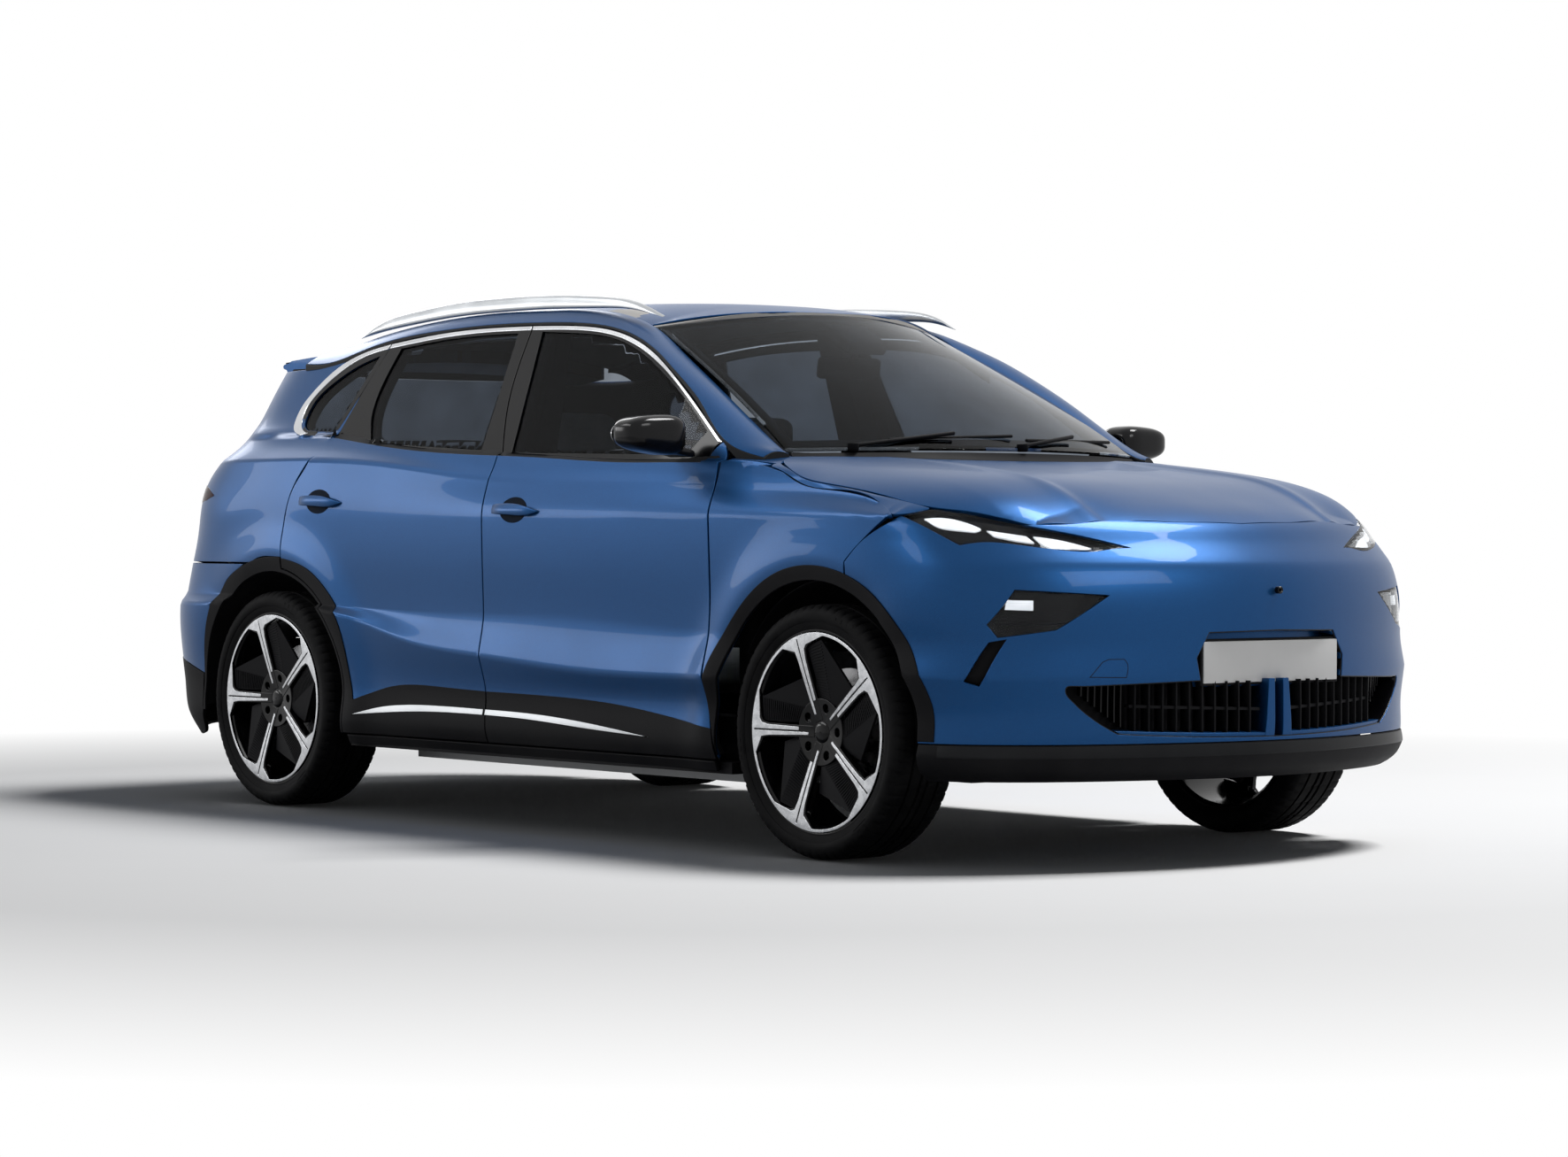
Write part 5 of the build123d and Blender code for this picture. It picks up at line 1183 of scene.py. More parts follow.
CLADDING_FRONT = [[(-158, DOOR_BOTTOM_Z - 4), (-172, 412)], [(-172, 412), (141, 409), (484, 395),
                                                             (760, 366), (936, 345)],
                  [(936, 345), (955, DOOR_BOTTOM_Z - 4)], [(955, DOOR_BOTTOM_Z - 4),
                                                           (-158, DOOR_BOTTOM_Z - 4)]]
TRIM_TOP_REAR = [(-860, 366), (-884, 452), (-932, 612), (-1010, 700), (-1113, 768), (-1200, 795),
                 (-1276, 807)]
CLADDING_REAR = [[(-172, 412), (-158, DOOR_BOTTOM_Z - 4)],
                 [(-158, DOOR_BOTTOM_Z - 4), (REAR_ARCH_X + math.sqrt(DOOR_ARCH**2 - 94.0**2),
                                              DOOR_BOTTOM_Z - 4)],
                 arch_run(REAR_ARCH_X, DOOR_ARCH, door_arch_low - 0.5, door_arch_top),
                 [(-1276, TYRE_RADIUS + math.sqrt(DOOR_ARCH**2 - 69.0**2)), (-1276, 807)],
                 TRIM_TOP_REAR[::-1], [(-860, 366), (-693, 409), (-405, 418), (-172, 412)]]
CLADDING_SINK = -4.6
pair("front_door_cladding", side_panel(CLADDING_FRONT, 7.0, CLADDING_SINK), black_plastic,
     "front_door_{side}")
pair("rear_door_cladding", side_panel(CLADDING_REAR, 7.0, CLADDING_SINK), black_plastic,
     "rear_door_{side}")
STRIP_FRONT = [[(-166, 356), (60, 352), (320, 337), (640, 306)],
               [(640, 306), (300, 321), (60, 334), (-166, 339)],
               [(-166, 339), (-166, 356)]]
STRIP_REAR = [[(-178, 356), (-420, 358), (-640, 352), (-760, 338), (-860, 316)],
              [(-860, 316), (-640, 331), (-420, 339), (-178, 339)], [(-178, 339), (-178, 356)]]
pair("front_door_strip", side_panel(STRIP_FRONT, 3.0, -6.8, 0.0, 10.0, 1.0), silver,
     "front_door_{side}")
pair("rear_door_strip", side_panel(STRIP_REAR, 3.0, -6.8, 0.0, 10.0, 1.0), silver,
     "rear_door_{side}")

# Arch trims: the front one runs from the door's edge over the wheel to the bumper's lip
front_wrap = Wrap(1, 860.0)


def front_trim_surface(x, z):
    """The body's surface round the front wheel, given by length and height."""
    y = side_y(x, z)
    ahead = np.asarray(x) > 1640
    for i in np.flatnonzero(ahead):
        _, _, _, xs, ys = front_wrap.curve(round(float(z[i]), 1))
        y[i] = np.interp(-x[i], -xs, ys)
    return np.c_[x, y, z]


FRONT_TRIM = [[(912, 478), (917, 400), (934, 345), (957, DOOR_BOTTOM_Z - 4)],
              arch_run(FRONT_AXLE_X, ARCH_RADIUS, 192.5, -1.0),
              [(FRONT_AXLE_X + ARCH_RADIUS, LIP_TOP_Z + 5), (FRONT_AXLE_X + 462, LIP_TOP_Z + 5)],
              [(1822, 340), (1815, 440), (1768, 562), (1688, 668), (1573, 752), (1440, 795),
               (1330, 802), (1200, 775), (1085, 710), (985, 612), (930, 530), (912, 478)]]
trim_arrays = panel_arrays([loop(FRONT_TRIM, 12.0)], front_trim_surface, 9.0, 15.0, 2.0, lift=4.0)
both_sides("front_arch_trim", trim_arrays, black_plastic)
rear_inner = arch_run(REAR_ARCH_X, ARCH_RADIUS, 186.8, door_arch_low - 0.5, 60)
rear_outer = arch_run(REAR_ARCH_X, DOOR_ARCH - GAP_HALF, door_arch_low - 0.5, door_arch_top + 0.6, 30)
REAR_TRIM = [rear_inner, [rear_inner[-1], rear_outer[0]], rear_outer, [rear_outer[-1], (-1281, 808)],
             [(-1281, 808), (-1345, 809), (-1425, 801), (-1540, 768), (-1645, 710), (-1705, 632),
              (-1746, 538), (-1766, 430), (-1771, 300)], [(-1771, 300), rear_inner[0]]]
rear_wrap = Wrap(-1, -760.0)


def rear_trim_surface(x, z):
    """The body's surface round the rear wheel, given by length and height."""
    y = side_y(x, z)
    for i in np.flatnonzero(np.asarray(x) < -1500):
        _, _, _, xs, ys = rear_wrap.curve(round(float(z[i]), 1))
        y[i] = np.interp(x[i], xs, ys)
    return np.c_[x, y, z]


trim_arrays = panel_arrays([loop(REAR_TRIM, 12.0)], rear_trim_surface, 9.0, 15.0, 2.0, lift=4.0)
both_sides("rear_arch_trim", trim_arrays, black_plastic)
SKIRT = sides((-905, 222), (940, 222), (940, DOOR_BOTTOM_Z - 8), (-905, DOOR_BOTTOM_Z - 8))
both_sides("sill_skirt", side_panel(SKIRT, 14.0, -2.0, 0.0, 24.0, 3.0, lines=()), black_plastic)

# Door handles: a pull over a flat dark panel, painted shade that stands in for the recess behind it
HANDLES = (("front_handle", -32.0, 958.0, "front_door_{side}"),
           ("rear_handle", -1084.0, 988.0, "rear_door_{side}"))
HANDLE_HALF, PULL_STAND = 124.0, 21.0
# The scoop is not a hollow: it is a flat, near-black blue panel on the door skin, painted shade in place of a
# recess
painted_shade_scoop_finish = plain_finish("handle_scoop", (0.001, 0.004, 0.011), (0.002, 0.007, 0.018), (0.4, 0.5),
                            specular=0.02)
for name, middle_x, middle_z, body in HANDLES:
    turns = np.linspace(0, 2 * math.pi, 40, endpoint=False)
    painted_shade_outline = np.c_[middle_x - 12 + 68 * np.cos(turns), middle_z - 2 + 39 * np.sin(turns)]
    painted_shade_scoop_arrays = panel_arrays([painted_shade_outline], side_surface(-2.2), 3.0, 16.0, 0.8)
    pair(name + "_scoop", painted_shade_scoop_arrays, painted_shade_scoop_finish, body)
    pull = [[(middle_x - HANDLE_HALF, middle_z - 13), (middle_x - HANDLE_HALF, middle_z + 15)],
            [(middle_x - HANDLE_HALF, middle_z + 15), (middle_x - 50, middle_z + 19),
             (middle_x + 45, middle_z + 14), (middle_x + HANDLE_HALF, middle_z - 6)],
            [(middle_x + HANDLE_HALF, middle_z - 6), (middle_x + 90, middle_z - 16),
             (middle_x, middle_z - 18), (middle_x - HANDLE_HALF, middle_z - 13)]]

    def pull_surface(x, z, middle_x=middle_x, middle_z=middle_z):
        across = np.clip(np.abs(x - middle_x) / HANDLE_HALF, 0, 1)
        stand = 2.0 + PULL_STAND * (1 - across**4) - 4.0 * ((z - middle_z) / 18.0) ** 2
        return np.c_[x, side_y(x, z) + stand, z]

    pull_arrays = panel_arrays([loop(pull, 8.0)], pull_surface, 11.0, 9.0, 3.0)
    pair(name, pull_arrays, paint, body)


# ------------------------------------------------------------------ lamps, mouth and plate at the nose
def nose_panel(runs, depth, sink=0.0, inset=0.0, step=13.0, edge=1.0, holes=()):
    """A panel that follows the nose, from its outline."""
    loops = [nose_hole(runs, 7.0, inset)] + [nose_hole(hole, 7.0) for hole in holes]
    return panel_arrays(loops, nose.point, depth, step, edge, lift=-sink)


HEADLAMP = [[(862, 936), (799, 954), (730, 932), (658, 911), (600, 897), (520, 877), (414, 850)],
            [(414, 850), (457, 848), (550, 841), (620, 846), (700, 856), (767, 864), (815, 860)],
            [(815, 860), (846, 882), (862, 936)]]
SEGMENTS = ([[(837, 936), (796, 938), (768, 923)], [(768, 923), (752, 903), (770, 895)],
             [(770, 895), (800, 899), (830, 909), (837, 936)]],
            [[(748, 905), (664, 889)], [(664, 889), (650, 867)], [(650, 867), (690, 871), (738, 884)],
             [(738, 884), (748, 905)]],
            [[(652, 889), (580, 877), (513, 856)], [(513, 856), (520, 852), (560, 854)],
             [(560, 854), (640, 865), (652, 889)]])
both_sides("headlamp_housing", nose_panel(HEADLAMP, 26.0, 15.0, -7.0), gloss_black, "body",
           ["headlamps"])
for number, segment in enumerate(SEGMENTS):
    both_sides(f"headlamp_light_{number + 1}", nose_panel(segment, 8.0, 9.0, 2.6), white_light)
both_sides("headlamp_cover", nose_panel(HEADLAMP, 2.5, 1.0, 1.0), lamp_glass)
LOWER_LIGHT = sides((766, 716), (710, 715), (712, 688), (772, 690))
LOWER_BORDER = [[(525, 722), (545, 722)], [(545, 722), (612, 668), (661, 657)], [(661, 657), (790, 656)],
                [(790, 656), (792, 650)], [(792, 650), (659, 651), (608, 661), (525, 722)]]
both_sides("lower_lamp_housing", nose_panel(LOWER_LAMP, 26.0, 22.0, -6.0), gloss_black, "body",
           ["bumper_lamps"])
both_sides("lower_lamp_light", nose_panel(LOWER_LIGHT, 12.0, 12.0, 0.0), white_light)
both_sides("lower_lamp_line", nose_panel(LOWER_BORDER, 5.0, 15.0, 0.0, 8.0, 0.4), satin_grey)
both_sides("lower_lamp_cover", nose_panel(LOWER_LAMP, 2.5, 3.0, 1.0), lamp_glass)
slot_arrays = panel_arrays([offset_loop(slot_loop, -4)], nose.point, 4.0, 14.0, 0.8, lift=-22.0)
both_sides("air_slot_floor", slot_arrays, black_plastic)

MOUTH_DEPTH = 70.0
wall_arrays = panel_arrays([offset_loop(mouth_loop, -3.0), offset_loop(mouth_loop, 2.5)], nose.point,
                           MOUTH_DEPTH, 14.0, 1.0, lift=-2.0)
finish_piece(build("mouth_wall", wall_arrays), "body", gloss_black)
back_arrays = panel_arrays([offset_loop(mouth_loop, 1.0)], nose.point, 3.0, 22.0, 0.5, lift=-MOUTH_DEPTH)
finish_piece(build("mouth_back", back_arrays), "body", black_plastic, ["lower_grille"])


def mouth_bar(y, low, high, sink, depth, width=5.0, lean=0.0):
    """One louvre of the mouth: an upright strip between two heights."""
    runs = sides((y - width / 2, low), (y + width / 2, low), (y + width / 2 + lean, high),
                 (y - width / 2 + lean, high))
    return nose_panel(runs, depth, sink, 0.0, 30.0, 0.8)


louvres = [mouth_bar(float(y), 352 + max(0.0, (y - 440) * 0.35), 497, 14.0, 44.0) for y in range(100, 470,
                                                                                                 40)]
louvres.append(nose_panel(sides((60, 416), (474, 430), (474, 438), (60, 424)), 30.0, 20.0, 0.0, 40.0, 0.8))
both_sides("mouth_louvres", join(*louvres), black_plastic)
fins = [mouth_bar(float(y), 372 + (y - 480) * 0.75, 492, 40.0, 26.0, 4.0) for y in range(488, 600, 18)]
both_sides("mouth_fins", join(*fins), gloss_black)
BLADE = sides((16, 340), (52, 340), (38, 502), (16, 502))
both_sides("mouth_blade", nose_panel(BLADE, 60.0, 4.0, 0.0, 20.0, 2.0), paint)
SHELF = [[(20, 341), (300, 346), (500, 358)], [(500, 358), (520, 371)], [(520, 371), (300, 362), (20, 356)],
         [(20, 356), (20, 341)]]
both_sides("mouth_shelf", nose_panel(SHELF, 52.0, 6.0, 0.0, 18.0, 2.0), paint)

recess_loops = [full_width([nose_run([tuple(p) for p in sample_run(run, 25.0)]) for run in PLATE_SPACE])]
recess_arrays = panel_arrays([offset_loop(recess_loops[0], -2.0)], nose.point, 3.0, 22.0, 0.8, lift=-44.0)
finish_piece(build("plate_recess", recess_arrays), "body", paint)
RECESS_SIDE = [[(242, PLATE_TOP_Z - 4), (PLATE_HALF_Y, 560), (276, 503)], [(276, 503), (272, 503)],
               [(272, 503), (PLATE_HALF_Y - 5, 560), (239, PLATE_TOP_Z - 8)],
               [(239, PLATE_TOP_Z - 8), (242, PLATE_TOP_Z - 4)]]
both_sides("plate_recess_wall", nose_panel(RECESS_SIDE, 40.0, 5.0, 0.0, 12.0, 1.0), paint)
PLATE_X, PLATE_Z = 2203.0, 547.0
HALF_PLATE_Y, HALF_PLATE_Z = 520.0 / 2, 111.0 / 2
holder = rounded_block("plate_holder", (PLATE_X - 14, -266, PLATE_Z - 62), (PLATE_X - 3, 266, PLATE_Z + 62),
                       3)
finish_piece(holder, "body", black_plastic)
plate = rounded_block("front_plate", (PLATE_X - 4, -HALF_PLATE_Y, PLATE_Z - HALF_PLATE_Z),
                      (PLATE_X + 1, HALF_PLATE_Y, PLATE_Z + HALF_PLATE_Z), 2)
finish_piece(plate, "body", plate_white)
sensor = turned("nose_sensor", [(0, 4), (2.2, 8), (0, 10), (-12, 10), (-12, 4)], (2236, 0, 738), "X", 32)
finish_piece(sensor, "body", gloss_black)
TOW = [[(-590, 512), (-553, 553)], [(-553, 553), (-546, 559), (-536, 560)], [(-536, 560), (-494, 560)],
       [(-494, 560), (-490, 556), (-491, 510)], [(-491, 510), (-590, 512)]]
tow_loop = nose_hole(TOW, 6.0)
tow_arrays = panel_arrays([tow_loop, offset_loop(tow_loop, 2.0)], nose.point, 1.0, 12.0, 0.2, lift=0.25)
finish_piece(build("towing_eye_cover_line", tow_arrays), "body", seal_rubber)

# The lip below the nose: a black shelf with a satin upper face
LIP_LOW_Z = 234.0
LIP_STAND = 11.0


def lip_surface(s, z):
    """The surface of the lip under the nose."""
    place = nose.point(s, z)
    ahead = nose.point(s + 1.0, z) - nose.point(s - 1.0, z)
    outward = unit(np.c_[ahead[:, 1], -ahead[:, 0], 0 * s])
    outward = outward * np.where(np.sum(outward * (place - CORE), axis=1) < 0, -1, 1)[:, None]
    stand = LIP_STAND * np.clip((LIP_TOP_Z - z) / 34.0, 0, 1) - 26 * np.clip((270 - z) / 40.0, 0, 1) ** 2
    return place + outward * stand[:, None]


def lip_runs(low, high, side_x):
    """The lip's outline from wheel arch to wheel arch, between two heights."""
    heights = np.linspace(low, high, 5)
    end = [(nose.at_x(side_x, z), z) for z in heights]
    half = [[(0.0, low), end[0]], [tuple(p) for p in end], [end[-1], (0.0, high)]]
    points = loop_open(half, 14.0)
    return np.vstack([points, points[::-1] * np.array([-1, 1])])


lip_loop = lip_runs(LIP_LOW_Z, LIP_TOP_Z - 1, FRONT_AXLE_X + ARCH_RADIUS + 2)
lip_loop = lip_loop[np.concatenate([[True], np.hypot(*np.diff(lip_loop, axis=0).T) > 0.5])]
lip_arrays = panel_arrays([lip_loop], lip_surface, 20.0, 12.0, 2.0)
finish_piece(build("front_lip_shell", lip_arrays), "body", black_plastic, ["front_lip"])
satin_loop = lip_runs(300, LIP_TOP_Z - 4, FRONT_AXLE_X + ARCH_RADIUS + 60)
satin_loop = satin_loop[np.concatenate([[True], np.hypot(*np.diff(satin_loop, axis=0).T) > 0.5])]
satin_arrays = panel_arrays([satin_loop], lip_surface, 2.0, 10.0, 0.6, lift=0.8)
finish_piece(build("front_lip_face", satin_arrays), "body", satin_grey)
# ------------------------------------------------------------------ wheels and tyres
SPOKE_ANGLES = (36.0, 108.0, 180.0, 252.0, 324.0)
FACE_Y, DISH = 893.0, 24.0
RING_INNER, RING_OUTER = 263.5, 272.0


def wheel_face(axle, sink=0.0):
    """The dished outer face of a left wheel, for places given from its centre."""
    def place(u, w):
        radius = np.hypot(u, w)
        dish = DISH * np.clip(1 - radius / RING_INNER, 0, 1) ** 1.4
        return np.c_[axle + u, FACE_Y - sink - dish, TYRE_RADIUS + w]
    return place


def turn_points(points, degrees):
    """Spoke places (outwards, sideways) turned to a spoke's angle."""
    turn = math.radians(degrees)
    points = np.array(points, float)
    return np.c_[points[:, 0] * math.cos(turn) - points[:, 1] * math.sin(turn),
                 points[:, 0] * math.sin(turn) + points[:, 1] * math.cos(turn)]


def polar(radius, degrees):
    """A place on a circle round the wheel."""
    return (radius * math.cos(math.radians(degrees)), radius * math.sin(math.radians(degrees)))


def wheel_panel(axle, points, degrees, depth, sink=0.0, step=16.0, edge=1.0):
    """A panel that follows the wheel's outer face, turned about the wheel."""
    fine = loop([[tuple(a), tuple(b)] for a, b in zip(points, list(points[1:]) + [points[0]])], 12.0)
    core = np.array([axle, 0.0, TYRE_RADIUS])
    return panel_arrays([turn_points(fine, degrees)], wheel_face(axle, sink), depth, step, edge, core=core)


BROAD_WING = [(88, -2.2), (264, -2.2)] + [polar(RING_INNER + 3, -t) for t in (3, 9, 15, 20, 25)] + [
    (240, -32), (231, -20), (205, -15), (88, -11.5)]
NARROW_WING = [(52, 2.2), (52, 9.5), (205, 15), (233, 19), (243, 40)] + [
    polar(RING_INNER + 3, t) for t in (15, 9, 3)] + [(264, 2.2)]
SPOKE_BODY = [(30, -16), (205, -19), (228, -24), (236, -38)] + [polar(268, -t) for t in (24, 12)] + [
    polar(268, 0)] + [polar(268, t) for t in (8, 15)] + [(238, 42), (228, 23), (205, 19), (30, 16)]


def slanted_plate(axle, degrees, corners, depth):
    """A flat facet between corners (outwards, sideways, sink), as a closed plate."""
    flat = turn_points([corner[:2] for corner in corners], degrees)
    top = [np.array([axle + u, FACE_Y - corner[2], TYRE_RADIUS + w]) for (u, w), corner in zip(flat, corners)]
    normal = np.cross(top[1] - top[0], top[2] - top[0])
    if normal[1] < 0:
        top = top[::-1]
    top = np.array(top)
    count = len(top)
    vertices = np.vstack([top, top - np.array([0, depth, 0])])
    faces = [tuple(range(count)), tuple(range(2 * count - 1, count - 1, -1))]
    faces += [(i, i + count, (i + 1) % count + count, (i + 1) % count) for i in range(count)]
    return vertices, faces


def flat_normals(shape):
    """Splits a faceted shape so that every face keeps its own direction."""
    vertices, faces = shape
    points, sides, normals = [], [], []
    for face in faces:
        corner = vertices[list(face)]
        direction = np.cross(corner[1] - corner[0], corner[2] - corner[0])
        direction = direction / max(np.linalg.norm(direction), 1e-9)
        sides.append(tuple(range(len(points), len(points) + len(face))))
        points += list(corner)
        normals += [direction] * len(face)
    return np.array(points), sides, np.array(normals)


def insert_shapes(axle, degrees):
    """One aero insert: a ribbed facet beside a spoke, and a plain facet that folds away from it."""
    near, far = np.array([(236, -24, 12), (*polar(252, -21), 8)]), np.array([(*polar(86, -16), 26),
                                                                             (52, -66, 20)])
    ribbed = slanted_plate(axle, degrees, [tuple(near[0]), tuple(near[1]), tuple(far[1]), tuple(far[0])], 8)
    plain = slanted_plate(axle, degrees, [(*polar(252, -21), 8), (*polar(168, -61), 30),
                                          (*polar(96, -66), 36),
                                          (52, -66, 20)], 8)
    shapes = [flat_normals(ribbed), flat_normals(plain)]
    for number in range(1, 22):
        part = number / 22
        a = near[0] * (1 - part) + far[0] * part
        b = near[1] * (1 - part) + far[1] * part
        along = (far[0] - near[0]) / np.linalg.norm(far[0] - near[0]) * 1.6
        lift = np.array([0, 0, 1.6])
        a, b = a * 0.97 + b * 0.03, b * 0.97 + a * 0.03
        rib = slanted_plate(axle, degrees, [tuple(a - along - lift), tuple(b - along - lift),
                                            tuple(b + along - lift), tuple(a + along - lift)], 3)
        shapes.append(flat_normals(rib))
    return shapes


TREAD_PITCHES, PITCH_STEPS = 66, 5
TYRE_PROFILE = [(-98, 279.5), (-104, 290), (-109, 303), (-111.5, 316), (-109, 328), (-104, 337), (-97, 342.5),
                (-89, 346), (-84, 347.2), (-56, 348), (-55, 341), (-48, 341), (-47, 348), (-18, 348),
                (-17, 340.5), (-8, 340.5), (-7, 348), (7, 348), (8, 340.5), (17, 340.5), (18, 348), (47, 348),
                (48, 341), (55, 341), (56, 348), (84, 347.2), (89, 346), (97, 342.5), (104, 337), (109, 328),
                (111.5, 316), (109, 303), (107.5, 301), (106.5, 301), (104, 290), (98, 279.5)]


def tyre_arrays(axle):
    """A left tyre: its profile turned round the axle, with cross cuts in the tread and its shoulders."""
    segments = TREAD_PITCHES * PITCH_STEPS
    profile = np.array(TYRE_PROFILE)
    turns = np.arange(segments) * 2 * math.pi / segments
    rows = []
    for number, turn in enumerate(turns):
        radius = profile[:, 1].copy()
        beside = np.abs(profile[:, 0])
        if number % PITCH_STEPS == 0:
            radius = np.where((beside > 56) & (beside < 106) & (radius > 330), radius - 4.5, radius)
        if (number + 2) % (2 * PITCH_STEPS) == 0:
            radius = np.where((beside < 47) & (radius > 345), radius - 3.0, radius)
        rows.append(np.c_[axle + radius * math.cos(turn), WHEEL_Y + profile[:, 0],
                          TYRE_RADIUS + radius * math.sin(turn)])
    count = len(profile)
    vertices = np.vstack(rows)
    faces = []
    for number in range(segments):
        here, there = number * count, (number + 1) % segments * count
        for i in range(count):
            j = (i + 1) % count
            faces.append((here + i, here + j, there + j, there + i))
    return vertices, faces


def rubber_piece(name, arrays):
    """A closed mesh with its faces turned outward."""
    obj = mesh_object(name, *arrays)
    pick(obj)
    bpy.ops.object.mode_set(mode="EDIT")
    bpy.ops.mesh.select_all(action="SELECT")
    bpy.ops.mesh.normals_make_consistent(inside=False)
    bpy.ops.object.mode_set(mode="OBJECT")
    bpy.ops.object.shade_smooth_by_angle(angle=math.radians(32))
    obj.select_set(False)
    return obj


def sidewall_block(axle, radius, degrees, width, height):
    """A raised block on the outer sidewall."""
    half = math.degrees(width / 2 / radius)
    outline = [polar(radius - height / 2, degrees - half), polar(radius - height / 2, degrees + half),
               polar(radius + height / 2, degrees + half), polar(radius + height / 2, degrees - half)]
    offsets = np.interp([abs(r) for r in (radius - height / 2, radius + height / 2)],
                        [290, 303, 316, 328, 337],
                        [104, 109, 111.5, 109, 104])
    top = [np.array([axle + u, WHEEL_Y + offsets[0 if i < 2 else 1] + 0.9, TYRE_RADIUS + w])
           for i, (u, w) in enumerate(outline)]
    vertices = np.array(top + [point - np.array([0, 4, 0]) for point in top])
    faces = [(3, 2, 1, 0), (4, 5, 6, 7)] + [(i, (i + 1) % 4, (i + 1) % 4 + 4, i + 4) for i in range(4)]
    return flat_normals((vertices, faces))


BLOCK_GROUPS = (62.0, 182.0, 302.0)
for end, axle in (("front", FRONT_AXLE_X), ("rear", REAR_AXLE_X)):
    wheel_body = end + "_road_wheel_{side}"
    bright = []
    dark = []
    ribs = []
    for angle in SPOKE_ANGLES:
        bright.append(wheel_panel(axle, BROAD_WING, angle, 2.0))
        bright.append(wheel_panel(axle, NARROW_WING, angle, 2.0))
        dark.append(wheel_panel(axle, SPOKE_BODY, angle, 26.0, 1.6, 18.0, 2.5))
        ribs += insert_shapes(axle, angle)
    turns = np.linspace(0, 2 * math.pi, 120, endpoint=False)
    circle = np.c_[np.cos(turns), np.sin(turns)]
    core = np.array([axle, 0.0, TYRE_RADIUS])
    bright.append(panel_arrays([circle * RING_OUTER, circle * RING_INNER], wheel_face(axle), 3.0, 12.0, 1.2,
                               core=core))
    pair(f"{end}_wheel_face", join(*bright), machined, wheel_body)
    hub_loops = [circle[::2] * 92.0] + [circle[::6] * 12.5 + polar(67, angle - 35) for angle in SPOKE_ANGLES]
    dark.append(panel_arrays(hub_loops, wheel_face(axle, 3.0), 24.0, 10.0, 2.0, core=core))
    pair(f"{end}_wheel_spokes", join(*dark), gloss_black, wheel_body)
    pair(f"{end}_wheel_inserts", join(*ribs), black_plastic, wheel_body)
    rim = turned(f"{end}_rim_left", [(97, 272), (98.5, 276), (98, 280), (94, 283), (88, 280), (82, 270),
                                     (-88, 270),
                                     (-98, 280), (-102, 280), (-103, 272), (-92, 262), (70, 258), (88, 262)],
                 (axle, WHEEL_Y, TYRE_RADIUS), vertices=128)
    cap = turned(f"{end}_cap_left", [(FACE_Y - 17, 2), (FACE_Y - 17.6, 18), (FACE_Y - 19.5, 26),
                                     (FACE_Y - 23, 30),
                                     (FACE_Y - 40, 31), (FACE_Y - 40, 2)], (axle, 0, TYRE_RADIUS),
                 vertices=64)
    nuts = []
    for angle in SPOKE_ANGLES:
        u, w = polar(67, angle - 35)
        bpy.ops.mesh.primitive_cylinder_add(vertices=6, radius=0.0085, depth=0.02,
                                            rotation=(math.radians(90), 0, 0),
                                            location=((axle + u) * MM, (FACE_Y - 42) * MM,
                                                      (TYRE_RADIUS + w) * MM))
        nut = bpy.context.object
        bevel = nut.modifiers.new("bevel", "BEVEL")
        bevel.width, bevel.segments = 0.0012, 2
        nuts.append(settle(nut, "nut"))
    nuts = merged(f"{end}_wheel_nuts_left", *nuts)
    disc = turned(f"{end}_brake_disc_left", [(770, 60), (769, 100), (769, 172), (747, 172), (747, 60)],
                  (axle, 0, TYRE_RADIUS), vertices=96)
    hat = turned(f"{end}_hub_left", [(852, 4), (852, 60), (846, 66), (769, 84), (745, 84), (745, 40),
                                     (840, 40), (840, 4)], (axle, 0, TYRE_RADIUS), vertices=64)
    for made, finish, slot_name in ((rim, gloss_black, "alloy"), (cap, gloss_black, "alloy"),
                                    (nuts, coated_steel, "alloy"),
                                    (disc, disc_steel, "steel"), (hat, coated_steel, "steel")):
        image = mirrored(made, made.name.replace("_left", "_right"))
        for piece, side in ((made, "left"), (image, "right")):
            taken = [f"{end}_wheel_{side}"] if made is rim else []
            finish_piece(piece, wheel_body.format(side=side), finish, taken)
    band = rubber_piece(f"{end}_tyre_tread_left", tyre_arrays(axle))
    image = mirrored(band, f"{end}_tyre_tread_right")
    bpy.ops.object.select_all(action="DESELECT")
    for piece, side in ((band, "left"), (image, "right")):
        finish_piece(piece, wheel_body.format(side=side), rubber, [f"{end}_tyre_{side}"])
    blocks = []
    for group in BLOCK_GROUPS:
        for number in range(4):
            blocks.append(sidewall_block(axle, 322, group + number * 4.2, 12, 18 - 3 * number))
        blocks.append(sidewall_block(axle, 306, group + 6, 62, 2.0))
        blocks.append(sidewall_block(axle, 333, group + 6, 70, 1.6))
    pair(f"{end}_tyre_blocks", join(*blocks), rubber, wheel_body)


# ------------------------------------------------------------------ roof rails
RAIL_LINE = [(296, 584, 1528, 1533), (200, 596, 1550, 1572), (20, 602, 1564, 1602), (-300, 604, 1573, 1619),
             (-480, 604, 1573, 1620.5), (-720, 603, 1569, 1617), (-980, 600, 1553, 1598),
             (-1180, 597, 1535, 1566),
             (-1286, 594, 1521, 1526)]


